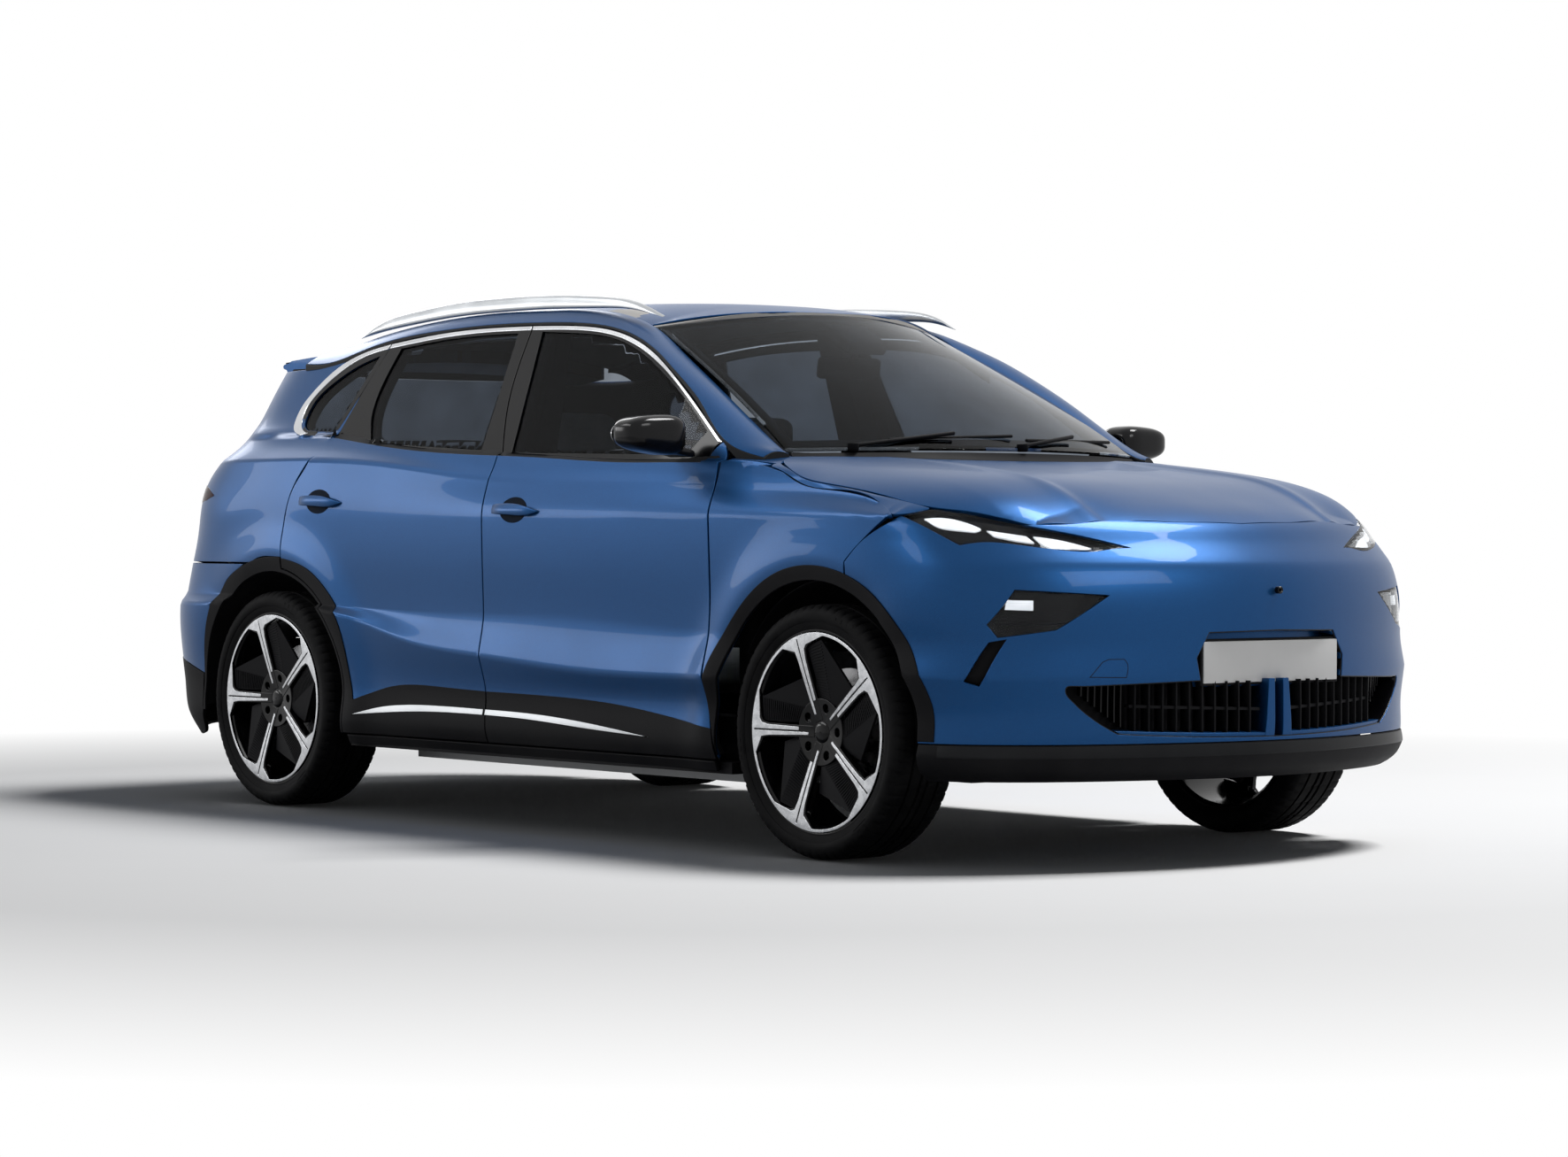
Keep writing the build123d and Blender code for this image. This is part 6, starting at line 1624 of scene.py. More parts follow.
def rail_arrays():
    """A roof rail: a rounded blade along the roof's edge that tapers to both ends."""
    line = np.array(RAIL_LINE, float)
    along = np.linspace(line[0, 0], line[-1, 0], 90)
    middle = spline(line[:, [0, 1]])(along)
    low, high = spline(line[:, [0, 2]])(along) + 2, spline(line[:, [0, 3]])(along)
    turns = np.linspace(0, 2 * math.pi, 20, endpoint=False)
    rows, directions = [], []
    for x, y, bottom, top in zip(along, middle, low, high):
        height = max(top - bottom, 4.0)
        across = np.sign(np.cos(turns)) * np.abs(np.cos(turns)) ** 0.7
        rise = np.sign(np.sin(turns)) * np.abs(np.sin(turns)) ** 0.7
        half = 13.0 * min(1.0, height / 22.0) + 1
        rows.append(np.c_[np.full(20, x), y + half * across - 4 * rise,
                          (top + bottom) / 2 + height / 2 * rise])
        directions.append(unit(np.c_[0 * turns, np.cos(turns) * height, np.sin(turns) * half * 2]))
    vertices, normals = np.vstack(rows), np.vstack(directions)
    faces = []
    for i in range(len(along) - 1):
        for j in range(20):
            k = (j + 1) % 20
            faces.append((i * 20 + j, i * 20 + k, (i + 1) * 20 + k, (i + 1) * 20 + j))
    last = (len(along) - 1) * 20
    faces.append(tuple(range(19, -1, -1)))
    faces.append(tuple(range(last, last + 20)))
    return vertices, faces, normals


rail = rubber_piece("roof_rail_left", rail_arrays()[:2])
rail_image = mirrored(rail, "roof_rail_right")
for piece, taken in ((rail, ["roof_rails"]), (rail_image, [])):
    finish_piece(piece, "body", silver, taken)


# ------------------------------------------------------------------ door mirrors
def mirror_shell(name):
    """The housing: a ball pulled towards a rounded box, fuller inboard and pointed outboard."""
    bpy.ops.mesh.primitive_uv_sphere_add(segments=56, ring_count=32, radius=1.0)
    shell = bpy.context.object
    for vertex in shell.data.vertices:
        x, y, z = vertex.co
        x, y, z = (math.copysign(abs(value) ** 0.56, value) for value in (x, y, z))
        outboard = (y + 1) / 2
        taper = 1 - 0.34 * outboard**2
        px = 715 + 74 * x * (1 - 0.15 * outboard)
        py = 965 + 101 * y
        pz = 1168 + 60 * z * taper + 8 * outboard - 4
        vertex.co = (px * MM, py * MM, pz * MM)
    return settle(shell, name, 60)


housing = mirror_shell("mirror_housing_left")
bpy.ops.mesh.primitive_cube_add(size=1)
foot = bpy.context.object
for vertex in foot.data.vertices:
    out = vertex.co.y > 0
    vertex.co = ((712 + vertex.co.x * (70 if out else 118)) * MM, (958 if out else 838) * MM,
                 ((1140 if out else 1112) + vertex.co.z * (30 if out else 20)) * MM)
bevel = foot.modifiers.new("bevel", "BEVEL")
bevel.width, bevel.segments = 0.009, 4
foot = settle(foot, "mirror_foot_left", 50)
glass_shape = turned("mirror_glass_left", [(0, 3), (0, 40), (-3, 44), (-8, 44), (-8, 3)], (0, 0, 0), "X", 64)
for vertex in glass_shape.data.vertices:
    vertex.co.y *= 1.9
glass_shape.data.update()
for vertex in glass_shape.data.vertices:
    vertex.co = (vertex.co.x * -0.35 + 0.6425, vertex.co.y + 0.962, vertex.co.z * 1.02 + 1.169)
lens = rounded_block("mirror_lens_left", (760, 905, 1160), (780, 1046, 1169), 3)
for vertex in lens.data.vertices:
    part = (vertex.co.y - 0.905) / 0.141
    vertex.co.x -= 0.02 * part**2
    vertex.co.z += 0.004 * part
for made, finish, slot_name in ((housing, gloss_black, "gloss_black"), (foot, gloss_black, "gloss_black"),
                                (glass_shape, chrome, "clear_glass"), (lens, amber_light, "lamp_lens")):
    image = mirrored(made, made.name.replace("_left", "_right"))
    for piece, side in ((made, "left"), (image, "right")):
        taken = [f"door_mirror_{side}"] if made is housing else []
        finish_piece(piece, f"front_door_{side}", finish, taken)

# ------------------------------------------------------------------ rear quarters, tail and tailgate
def tail_run(points):
    """Rear-view points (y, z) as places on the tail."""
    return [(tail.at_y(y, z), z) for y, z in points]


def tail_side_run(points):
    """Side-view points (x, z) as places on the tail's left."""
    return [(tail.at_x(x, z), z) for x, z in points]


def finely(runs, spacing=25.0):
    """Outline runs with points added between their corners."""
    return [[tuple(point) for point in sample_run(run, spacing)] for run in runs]


def tail_loop(runs, inset=0.0, spacing=9.0):
    """A closed outline on the tail, for corners given by half width and height."""
    return loop([tail_run(run) for run in finely(runs)], spacing, inset)


def tail_side_loop(runs, inset=0.0, spacing=9.0):
    """A closed outline on the tail, for corners given by length and height."""
    return loop([tail_side_run(run) for run in finely(runs)], spacing, inset)


def tail_panel(loops, depth, sink=0.0, step=15.0, edge=1.2):
    """A panel that follows the tail, from its outlines."""
    return panel_arrays(loops, tail.point, depth, step, edge, lift=-sink)


TAIL_CUT_Y, QUARTER_LOW_Z = 640.0, 787.8
quarter_runs = [
    tail_side_run([(-1016, 1482), (-1060, 1400), (-1145, 1196)]),
    tail_side_run([(-1145, 1196), (-1175, 1119), (-1250, 1030), (-1282, 940), (-1285, 860), (-1278, 806)]),
    tail_side_run([(-1278, 806), (-1345, 808), (-1425, 801), (-1462, QUARTER_LOW_Z)]),
    tail_side_run([(-1462, QUARTER_LOW_Z), (-1800, QUARTER_LOW_Z)])
    + tail_run([(780, QUARTER_LOW_Z), (TAIL_CUT_Y, QUARTER_LOW_Z)]),
    tail_run([(TAIL_CUT_Y, float(z)) for z in np.linspace(QUARTER_LOW_Z, 1128, 8)]),
    tail_run([(TAIL_CUT_Y, 1128), (628, 1170), (596, 1300), (566, 1390), (551, 1425)]),
    tail_run([(551, 1425), (600, 1427)]) + tail_side_run([(-1700, 1426), (-1480, 1426)]),
    tail_side_run([(-1480, 1426), (-1330, 1432), (-1170, 1458), (-1018, 1484)]),
]
LAMP_FRONT_X = -1760.0
lamp_side_loop = np.vstack([
    np.array(tail_side_run([(-1920, 1046), (-1880, 1045), (-1820, 1036), (LAMP_FRONT_X, 1014), (-1758, 1006),
                            (-1820, 992), (-1880, 985), (-1920, 983)])),
    np.array(tail_run([(730, 983), (690, 983), (TAIL_CUT_Y - 3, 983), (TAIL_CUT_Y - 3, 1046), (690, 1046),
                       (730, 1046)]))])
FLAP_X, FLAP_Z = (-1520.0, -1395.0), (905.0, 1025.0)


def flap_outline(grow):
    """The charging flap's rounded outline on the body side, grown by an amount."""
    low_x, high_x, low_z, high_z = FLAP_X[0] - grow, FLAP_X[1] + grow, FLAP_Z[0] - grow, FLAP_Z[1] + grow
    corner = 6.0 + grow
    points = []
    for middle_x, middle_z, start in ((high_x - corner, high_z - corner, 0),
                                      (low_x + corner, high_z - corner, 90),
                                      (low_x + corner, low_z + corner, 180),
                                      (high_x - corner, low_z + corner, 270)):
        for turn in np.radians(np.linspace(start, start + 90, 5)):
            points.append((middle_x + corner * math.cos(turn), middle_z + corner * math.sin(turn)))
    return points


quarter_hole = tail_side_loop(QUARTER_WINDOW)
quarter_outline = loop(quarter_runs, 10.0, GAP_HALF)
left_quarter = tail_panel([quarter_outline, quarter_hole, np.array(tail_side_run(flap_outline(1.0)))], 9.0,
                          -1.2)
right_quarter = flip(tail_panel([quarter_outline, quarter_hole], 9.0, -1.2))
finish_piece(build("quarter_skin_left", left_quarter), "body", paint)
finish_piece(build("quarter_skin_right", right_quarter), "body", paint)
quarter_shell = tail_panel([loop(quarter_runs, 14.0, GAP_HALF + 0.5), quarter_hole], 34.0, 7.0, 26.0)


def arch_lip(axle, low, high, y_inner, radius=ARCH_RADIUS + 1.0, thick=7.0):
    """The turned-in edge of a wheel arch, from the body side in to a plane of y."""
    turns = np.radians(np.arange(low, high + 0.1, 4.0))
    rows = []
    for turn in turns:
        for size in (radius, radius + thick):
            x, z = axle + size * math.cos(turn), TYRE_RADIUS + size * math.sin(turn)
            outer = float(rear_trim_surface(np.array([x]), np.array([z]))[0][1]) - 3.0
            rows += [(x, y_inner, z), (x, outer, z)]
    faces = []
    for i in range(len(turns) - 1):
        a, b = i * 4, i * 4 + 4
        for j, k in ((0, 1), (1, 3), (3, 2), (2, 0)):
            faces.append((a + j, a + k, b + k, b + j))
    faces += [(0, 2, 3, 1), tuple(len(rows) - 4 + i for i in (0, 1, 3, 2))]
    return np.array(rows), faces


lip = rubber_piece("rear_arch_lip_left", arch_lip(REAR_ARCH_X, 0.0, 186.0, 700.0))
lip_image = mirrored(lip, "rear_arch_lip_right")
for piece in (lip, lip_image):
    finish_piece(piece, "body", black_plastic)
pair("quarter_shell", quarter_shell, black_plastic, "body", ["rear_quarter_{side}"])
flap_skin = tail_panel([np.array(tail_side_run(flap_outline(-2.0)))], 3.0, -1.2)
finish_piece(build("charge_flap_skin", flap_skin), "charge_flap", paint)

# Tail lamps at the corners and across the gate
LAMP_STAND = -3.0
corner_lamp = tail_panel([offset_loop(lamp_side_loop, 1.5)], 7.0, LAMP_STAND, 9.0, 2.0)
both_sides("corner_tail_lamp", corner_lamp, red_glass, "body", ["tail_lamps"])
gate_half_lamp = 612.0
band_points = np.vstack([np.c_[np.linspace(tail.at_y(-gate_half_lamp, z), tail.at_y(gate_half_lamp, z),
                                           90)[::order],
                               np.full(90, z)] for z, order in ((986.0, 1), (1044.0, -1))])
gate_band_arrays = tail_panel([band_points], 6.0, LAMP_STAND, 12.0, 2.0)
finish_piece(build("gate_lamp_band", gate_band_arrays), "tailgate", gloss_black,
             ["tailgate_lamp"])
red_points = np.vstack([np.c_[np.linspace(tail.at_y(330, z), tail.at_y(gate_half_lamp - 6, z), 36)[::order],
                              np.full(36, z)] for z, order in ((994.0, 1), (1036.0, -1))])
both_sides("gate_lamp_lens", tail_panel([red_points], 2.5, LAMP_STAND - 1.6, 12.0, 1.0), red_glass,
           "tailgate")
line_points = np.vstack([np.c_[np.linspace(tail.at_y(-320, z), tail.at_y(320, z), 50)[::order],
                               np.full(50, z)] for z, order in ((1012.0, 1), (1018.0, -1))])
finish_piece(build("gate_lamp_line", tail_panel([line_points], 2.0, LAMP_STAND - 1.0, 12.0, 0.6)), "tailgate",
             red_glass)

# The tailgate's painted panel below the glass, with the place for the rear plate
GATE_LOW_Z = 735.0
gate_low_half = [tail_run([(0, GATE_LOW_Z), (300, GATE_LOW_Z + 2), (560, 741)]),
                 tail_run([(560, 741), (634, 800)]), tail_run([(634, 800), (634, 980)]),
                 tail_run([(634, 980), (634, 1046), (634, 1128)]), tail_run([(634, 1128), (626, 1146)]),
                 tail_run([(626, 1146), (540, 1146), (300, 1141), (0, 1138)])]
gate_outline = full_width(gate_low_half)
gate_outline = offset_loop(gate_outline, 0.6)
PLATE_RECESS = [(0, 786), (276, 786), (290, 800), (300, 930), (290, 944), (0, 948)]
recess = full_width([tail_run(finely([PLATE_RECESS[:2]])[0]), tail_run(PLATE_RECESS[1:3]),
                     tail_run(PLATE_RECESS[2:4]), tail_run(PLATE_RECESS[3:5]),
                     tail_run(finely([PLATE_RECESS[4:]])[0])])
lamp_cut = np.vstack([np.c_[np.linspace(tail.at_y(-614, z), tail.at_y(614, z), 90)[::order], np.full(90, z)]
                      for z, order in ((984.5, 1), (1045.5, -1))])
gate_arrays = tail_panel([gate_outline, recess, lamp_cut], 8.0, -1.2, 15.0)
finish_piece(build("tailgate_skin", gate_arrays), "tailgate", paint)
RECESS_SINK = 26.0
recess_floor = tail_panel([offset_loop(recess, -3.0)], 3.0, RECESS_SINK, 20.0)
finish_piece(build("rear_plate_recess", recess_floor), "tailgate", gloss_black)
recess_wall = tail_panel([offset_loop(recess, -1.5), offset_loop(recess, 2.0)], RECESS_SINK, 0.5, 15.0, 0.6)
finish_piece(build("rear_plate_recess_wall", recess_wall), "tailgate", gloss_black)
REAR_PLATE_Z = 862.0
rear_plate_x = float(tail.point([0.0], [REAR_PLATE_Z])[0][0]) + 0.5
plate_foot_x = float(tail.point([0.0], [REAR_PLATE_Z - HALF_PLATE_Z])[0][0]) + 4.0
plate_slope = (rear_plate_x - plate_foot_x) / HALF_PLATE_Z
rear_plate = rounded_block("rear_plate", (rear_plate_x - 3, -HALF_PLATE_Y, REAR_PLATE_Z - HALF_PLATE_Z),
                           (rear_plate_x, HALF_PLATE_Y, REAR_PLATE_Z + HALF_PLATE_Z), 1.4)
for vertex in rear_plate.data.vertices:
    vertex.co.x += plate_slope * (vertex.co.z - REAR_PLATE_Z * MM)
finish_piece(rear_plate, "tailgate", plate_white)
gate_handle = rounded_block("gate_handle", (rear_plate_x - 12, -120, 936), (rear_plate_x + 16, 120, 950), 5)
finish_piece(gate_handle, "tailgate", gloss_black)

# The rear window, its black frame and the fins beside it
WINDOW_HALF = [(0, 1150), (540, 1156), (520, 1300), (480, 1425), (0, 1425)]
FRAME_HALF = [[(0, 1144), (300, 1147), (540, 1151), (630, 1155)], [(630, 1155), (591, 1300), (548, 1440)],
              [(548, 1440), (545, 1458)], [(545, 1458), (0, 1458)]]
frame_outline = full_width([tail_run(run) for run in finely(FRAME_HALF)])
window_outline = full_width([tail_run(finely([WINDOW_HALF[i : i + 2]])[0]) for i in range(4)])
frame_arrays = tail_panel([frame_outline, window_outline], 9.0, -1.2, 16.0)
finish_piece(build("rear_window_frame_panel", frame_arrays), "tailgate", gloss_black)
pane_outline = offset_loop(window_outline, 2.0)
finish_piece(build("rear_window_pane", tail_panel([pane_outline], 4.0, 4.0, 30.0, 0.6)), "tailgate",
             window_glass,
             ["rear_glass"])

# The rear bumper: painted above, black below up to the arch trims
BUMPER_TOP_Z = 785.0
DARK_TOP = [(0, 520), (300, 516), (560, 500), (700, 478)]
dark_side = [(-2010, 470), (-1900, 452), (-1771, 420)]
bumper_half = [
    tail_run([(0, 727), (300, 727), (560, 731)]), tail_run([(560, 731), (636, 783)]),
    tail_run([(636, 783), (700, BUMPER_TOP_Z)]) + tail_side_run([(-1900, BUMPER_TOP_Z), (-1700, BUMPER_TOP_Z),
                                                                 (-1500, BUMPER_TOP_Z)]),
    tail_side_run([(-1500, BUMPER_TOP_Z), (-1540, 768), (-1645, 710), (-1705, 632), (-1746, 538),
                   (-1766, 424)]),
    tail_side_run(dark_side[::-1])[:-1] + tail_run(DARK_TOP[::-1]),
]
bumper_outline = offset_loop(full_width(bumper_half), 1.2)
bumper_arrays = tail_panel([bumper_outline], 8.0, -1.2, 16.0)
finish_piece(build("rear_bumper_skin", bumper_arrays), "body", paint)
lower_half = [tail_run(DARK_TOP) + tail_side_run(dark_side),
              tail_side_run([(-1771, 420), (-1771, 300)]),
              tail_side_run([(-1771, 300), (-1800, 236)]) + tail_run([(700, 234), (560, 234), (0, 234)])]
lower_outline = offset_loop(full_width([[tuple(p) for p in run] for run in lower_half]), 1.2)
lower_arrays = tail_panel([lower_outline], 12.0, -3.0, 16.0, 2.0)
finish_piece(build("rear_bumper_lower", lower_arrays), "body", black_plastic,
             ["rear_bumper"])
DIFFUSER = [(0, 268), (420, 268), (470, 300), (430, 352), (0, 356)]
diffuser_outline = full_width([tail_run(finely([DIFFUSER[i : i + 2]])[0]) for i in range(4)])
finish_piece(build("rear_diffuser", tail_panel([diffuser_outline], 10.0, -9.0, 20.0, 3.0)), "body", silver)
REFLECTOR = sides((690, 452), (735, 448), (735, 424), (690, 428))
both_sides("rear_reflector", tail_panel([tail_loop(REFLECTOR)], 6.0, -6.0, 12.0, 1.0), red_glass)

# The roof spoiler: a wing that carries the roof's line on over the window
SPOILER_ROWS = [(-552, 1481, 1454, 92), (-430, 1500, 1471, 42), (-300, 1513, 1480, 20), (-150, 1522, 1484, 6),
                (0, 1525, 1485, 0), (150, 1522, 1484, 6), (300, 1513, 1480, 20), (430, 1500, 1471, 42),
                (552, 1481, 1454, 92)]
SPOILER_FRONT_X, SPOILER_TIP_X = -1486.0, -1925.0


def spoiler_arrays():
    """The spoiler as rows of points across the car: over the top, round the tip and back below."""
    rows = np.array(SPOILER_ROWS, float)
    top, tip, back = (spline(rows[:, [0, i]]) for i in (1, 2, 3))
    across = np.linspace(-552, 552, 61)
    vertices = []
    for y in across:
        tip_x = SPOILER_TIP_X + float(back(y))
        high, low = float(top(y)), float(tip(y))
        upper = [(SPOILER_FRONT_X, high + 1), (-1560, high - 3), (-1660, high * 0.62 + low * 0.38 + 3),
                 (-1780, high * 0.3 + low * 0.7 + 4), (tip_x + 34, low + 4.0), (tip_x + 8, low + 1.2)]
        lower = [(tip_x, low - 4), (tip_x + 3, low - 12), (tip_x + 22, low - 18), (-1800, low - 34),
                 (-1640, low - 50), (SPOILER_FRONT_X, high - 58)]
        vertices += [(x, y, z) for x, z in upper + lower]
    ring = 12
    faces = []
    for i in range(len(across) - 1):
        for j in range(ring):
            k = (j + 1) % ring
            faces.append((i * ring + j, i * ring + k, (i + 1) * ring + k, (i + 1) * ring + j))
    faces.append(tuple(range(ring - 1, -1, -1)))
    faces.append(tuple((len(across) - 1) * ring + j for j in range(ring)))
    return np.array(vertices), faces


spoiler = rubber_piece("spoiler", spoiler_arrays())
finish_piece(spoiler, "tailgate", paint)
third_lamp = rounded_block("high_stop_lamp", (-1923, -150, 1466), (-1916, 150, 1477), 2)
finish_piece(third_lamp, "tailgate", red_glass)

FIN = [[(641, 1150), (598, 1300), (556, 1428)], [(556, 1428), (584, 1428)],
       [(584, 1428), (628, 1300), (676, 1168)], [(676, 1168), (641, 1150)]]
both_sides("rear_window_fin", tail_panel([tail_loop(FIN)], 5.0, -3.6, 12.0, 1.5), gloss_black)

# Rear wiper
wiper_low = tail.point([0.0], [1162.0])[0]
wiper_end = tail.point([tail.at_y(-330, 1215)], [1215.0])[0]


def bar_between(name, first, second, radius, squash=1.0):
    """A round bar between two places in millimetres."""
    first, second = Vector(first) * MM, Vector(second) * MM
    bpy.ops.mesh.primitive_cylinder_add(vertices=20, radius=radius * MM, depth=(second - first).length,
                                        location=(first + second) / 2)
    bar = bpy.context.object
    bar.rotation_euler = (second - first).to_track_quat("Z", "Y").to_euler()
    bar.scale = (squash, 1, 1)
    bevel = bar.modifiers.new("bevel", "BEVEL")
    bevel.width, bevel.segments = radius * 0.4 * MM, 3
    return settle(bar, name, 50)


offset = np.array([-14.0, 0.0, 5.0])
pivot = turned("wiper_pivot", [(0, 3), (0, 12), (-4, 16), (-22, 17), (-22, 3)], (0, 0, 0), "X", 32)
pivot.location = [value * MM for value in (wiper_low + np.array([-16.0, 0.0, 0.0]))]
pivot = settle(pivot, "wiper_pivot")
arm = bar_between("wiper_arm", wiper_low + offset, wiper_end + offset, 5.0)
blade = bar_between("wiper_blade", tail.point([tail.at_y(-120, 1172)], [1172.0])[0] + offset * 0.5,
                    tail.point([tail.at_y(-440, 1236)], [1236.0])[0] + offset * 0.5, 5.5)
finish_piece(merged("rear_wiper", arm, pivot, blade), "tailgate", black_plastic)

# ------------------------------------------------------------------ cabin
SEAT_Y = 365.0


def soft_block(name, low, high, radius, shape, movement, voxel=0.006, pressure=4.0):
    """A padded shape: a rounded block shaped by a given function, remeshed and inflated a little, with no
    point moved further than a limit.
    """
    block = rounded_block(name, low, high, radius, 4)
    for vertex in block.data.vertices:
        vertex.co = Vector(shape(*(value * 1000 for value in vertex.co))) * MM
    pick(block)
    remesh = block.modifiers.new("remesh", "REMESH")
    remesh.mode = "VOXEL"
    remesh.voxel_size = voxel
    bpy.ops.object.modifier_apply(modifier="remesh")
    start = [vertex.co.copy() for vertex in block.data.vertices]
    cloth = block.modifiers.new("cloth", "CLOTH")
    cloth.settings.quality = 5
    cloth.settings.mass = 0.3
    cloth.settings.tension_stiffness = 25
    cloth.settings.compression_stiffness = 25
    cloth.settings.bending_stiffness = 8
    cloth.settings.use_pressure = True
    cloth.settings.uniform_pressure_force = pressure
    cloth.settings.effector_weights.gravity = 0
    cloth.point_cache.frame_start, cloth.point_cache.frame_end = 1, 20
    for moment in range(1, 21):
        bpy.context.scene.frame_set(moment)
    bpy.ops.object.modifier_apply(modifier="cloth")
    bpy.context.scene.frame_set(1)
    for vertex, place in zip(block.data.vertices, start):
        move = vertex.co - place
        if move.length > movement * MM:
            vertex.co = place + move * (movement * MM / move.length)
    return block


def smoothed(obj, factor=0.6, repeat=6):
    """A piece with its surface relaxed."""
    smooth = obj.modifiers.new("smooth", "SMOOTH")
    smooth.factor, smooth.iterations = factor, repeat
    return settle(obj, obj.name, 70)


def sewn(obj, lines, depth=6.0, width=7.0):
    """Presses seams into a padded piece; each line gives how far a place is from its seam."""
    mesh = obj.data
    normals = [vertex.normal.copy() for vertex in mesh.vertices]
    for vertex, normal in zip(mesh.vertices, normals):
        place = vertex.co * 1000
        press = max(math.exp(-((line(place) / width) ** 2)) for line in lines)
        vertex.co -= normal * (depth * press * MM)
    mesh.update()


def lean_back(z, low_z, low_x, high_z, high_x):
    """How far back a seat back leans at a height."""
    return low_x + (high_x - low_x) * (z - low_z) / (high_z - low_z)


def cushion_shape(x, y, z):
    """A front cushion: hollow between raised bolsters, rounded off at its front."""
    across = (y - SEAT_Y) / 235.0
    along = (x + 190) / 500.0
    top = (z - 420) / 100.0
    raised = 24 * min(1.0, abs(across) / 0.95) ** 4 - 10 + 12 * along
    return (x, SEAT_Y + across * (222 + 10 * along), 420 + top * (96 + raised) - 10 * along**6)


def back_shape(x, y, z):
    """A front seat back, leaning back, waisted, with bolsters that reach forward."""
    across = (y - SEAT_Y) / 235.0
    up = (z - 470) / 600.0
    lean = lean_back(z, 460, -128, 1070, -345)
    front = (x + 260) / 90.0
    forward = 40 * abs(across) ** 3 * (1 - 0.5 * up) if front > 0 else 0
    half = 226 - 30 * abs(2 * up - 0.9) ** 3
    return (lean + front * 84 + forward - 6, SEAT_Y + across * half, z)


def bench_shape(x, y, z):
    """The rear bench, crowned at its three seats."""
    across = y / 590.0
    return (x, y, z + 12 * math.cos(3 * math.pi * across) - 8)


def bench_back_shape(x, y, z):
    """The rear seat's back, which leans rearwards."""
    lean = lean_back(z, 440, -880, 1060, -1040)
    return (lean + (x + 960) * 0.9, y, z)


SOFT = (
    ("seat_cushion_left", (-190, 130, 420), (310, 600, 520), 34, cushion_shape, 0.007,
     (lambda p: abs(p.y - SEAT_Y) - 138, lambda p: min(abs(p.x - 90),
                                                       900) if abs(p.y - SEAT_Y) < 138 else 900)),
    ("seat_back_left", (-305, 130, 470), (-215, 600, 1070), 30, back_shape, 0.007,
     (lambda p: abs(p.y - SEAT_Y) - 136, lambda p: p.z - 940 if abs(p.y - SEAT_Y) < 136 else 900)),
)
for name, low, high, radius, shape, voxel, seams in SOFT:
    pad = soft_block(name, low, high, radius, shape, 12.0, voxel)
    sewn(pad, seams)
    pad = smoothed(pad, 0.5, 3)
    image = mirrored(pad, name.replace("_left", "_right"))
    for piece in (pad, image):
        taken = ["front_seats"] if piece.name == "seat_cushion_left" else []
        finish_piece(piece, "body", seat_cloth, taken)
headrest = soft_block("seat_headrest_left", (-450, SEAT_Y - 125, 1112), (-360, SEAT_Y + 125, 1262), 34,
                      lambda x, y, z: (x - 10 * ((z - 1190) / 80) ** 2, y, z), 10.0, 0.006)
headrest = smoothed(headrest, 0.5, 3)
image = mirrored(headrest, "seat_headrest_right")
for piece in (headrest, image):
    finish_piece(piece, "body", seat_cloth)
bench = soft_block("rear_bench", (-908, -590, 415), (-505, 590, 512), 34, bench_shape, 12.0, 0.009)
sewn(bench, (lambda p: abs(p.y) - 180, lambda p: p.x + 640), 6.0, 9.0)
bench = smoothed(bench, 0.5, 3)
finish_piece(bench, "body", seat_cloth, ["rear_seat"])
bench_back = soft_block("rear_seat_back", (-1005, -525, 452), (-915, 525, 1050), 30, bench_back_shape, 10.0,
                        0.009)
sewn(bench_back, (lambda p: abs(p.y) - 170, lambda p: p.z - 900), 6.0, 9.0)
bench_back = smoothed(bench_back, 0.5, 3)
finish_piece(bench_back, "body", seat_cloth)
for number, (middle, half) in enumerate(((-330, 112), (0, 90), (330, 112))):
    rest = soft_block(f"rear_headrest_{number + 1}", (-1146, middle - half, 1044),
                      (-1066, middle + half, 1190), 30,
                      lambda x, y, z: (x, y, z), 8.0, 0.008)
    rest = smoothed(rest, 0.5, 3)
    finish_piece(rest, "body", seat_cloth)

seat_frames = []
for middle in (SEAT_Y, -SEAT_Y):
    seat_frames.append(rounded_block("base", (-118, middle - 188, 292), (258, middle + 188, 418), 14))
    for rail_y in (middle - 205, middle + 190):
        seat_frames.append(rounded_block("rail", (-150, rail_y, 285), (270, rail_y + 16, 312), 4))
    for post in (-55, 55):
        seat_frames.append(bar_between("post", (-352, middle + post, 1050), (-392, middle + post, 1130), 5.5))
    seat_frames.append(rounded_block("side_cover", (-205, middle - 246, 395), (60, middle - 228, 455), 8))
    seat_frames.append(rounded_block("side_cover", (-205, middle + 228, 395), (60, middle + 246, 455), 8))
seat_frames.append(rounded_block("bench_base", (-900, -585, 300), (-520, 585, 414), 12))
for middle in (-330, 0, 330):
    for post in (-42, 42):
        seat_frames.append(bar_between("post", (-1040, middle + post, 1030), (-1092, middle + post, 1070),
                                       5.5))
finish_piece(merged("seat_frames", *seat_frames), "body", trim_dark)

# Dash, screens, console, steering wheel and door trims
dash_parts = [
    rounded_block("instrument_screen", (488, -505, 985), (500, -235, 1068), 5, turn=(0, -12, 0)),
    rounded_block("centre_screen", (474, -135, 925), (488, 135, 1062), 6, turn=(0, -8, 0)),
]
finish_piece(merged("dash_screens", *dash_parts), "body", gloss_black)
pad_parts = [rounded_block("dash_hood", (498, -530, 1010), (700, -210, 1052), 18),
             rounded_block("dash_shelf", (512, -632, 992), (800, 632, 1034), 20),
             rounded_block("dash_front", (486, -632, 905), (560, 632, 990), 24)]
for vent_y in (-596, -180, 180, 596):
    side = 30 if abs(vent_y) > 500 else 44
    for slat in range(5):
        pad_parts.append(rounded_block("slat", (480, vent_y - side, 925 + slat * 11),
                                       (492, vent_y + side, 929 + slat * 11),
                                       1.5))
finish_piece(merged("dash_pad", *pad_parts), "body", trim_dark)
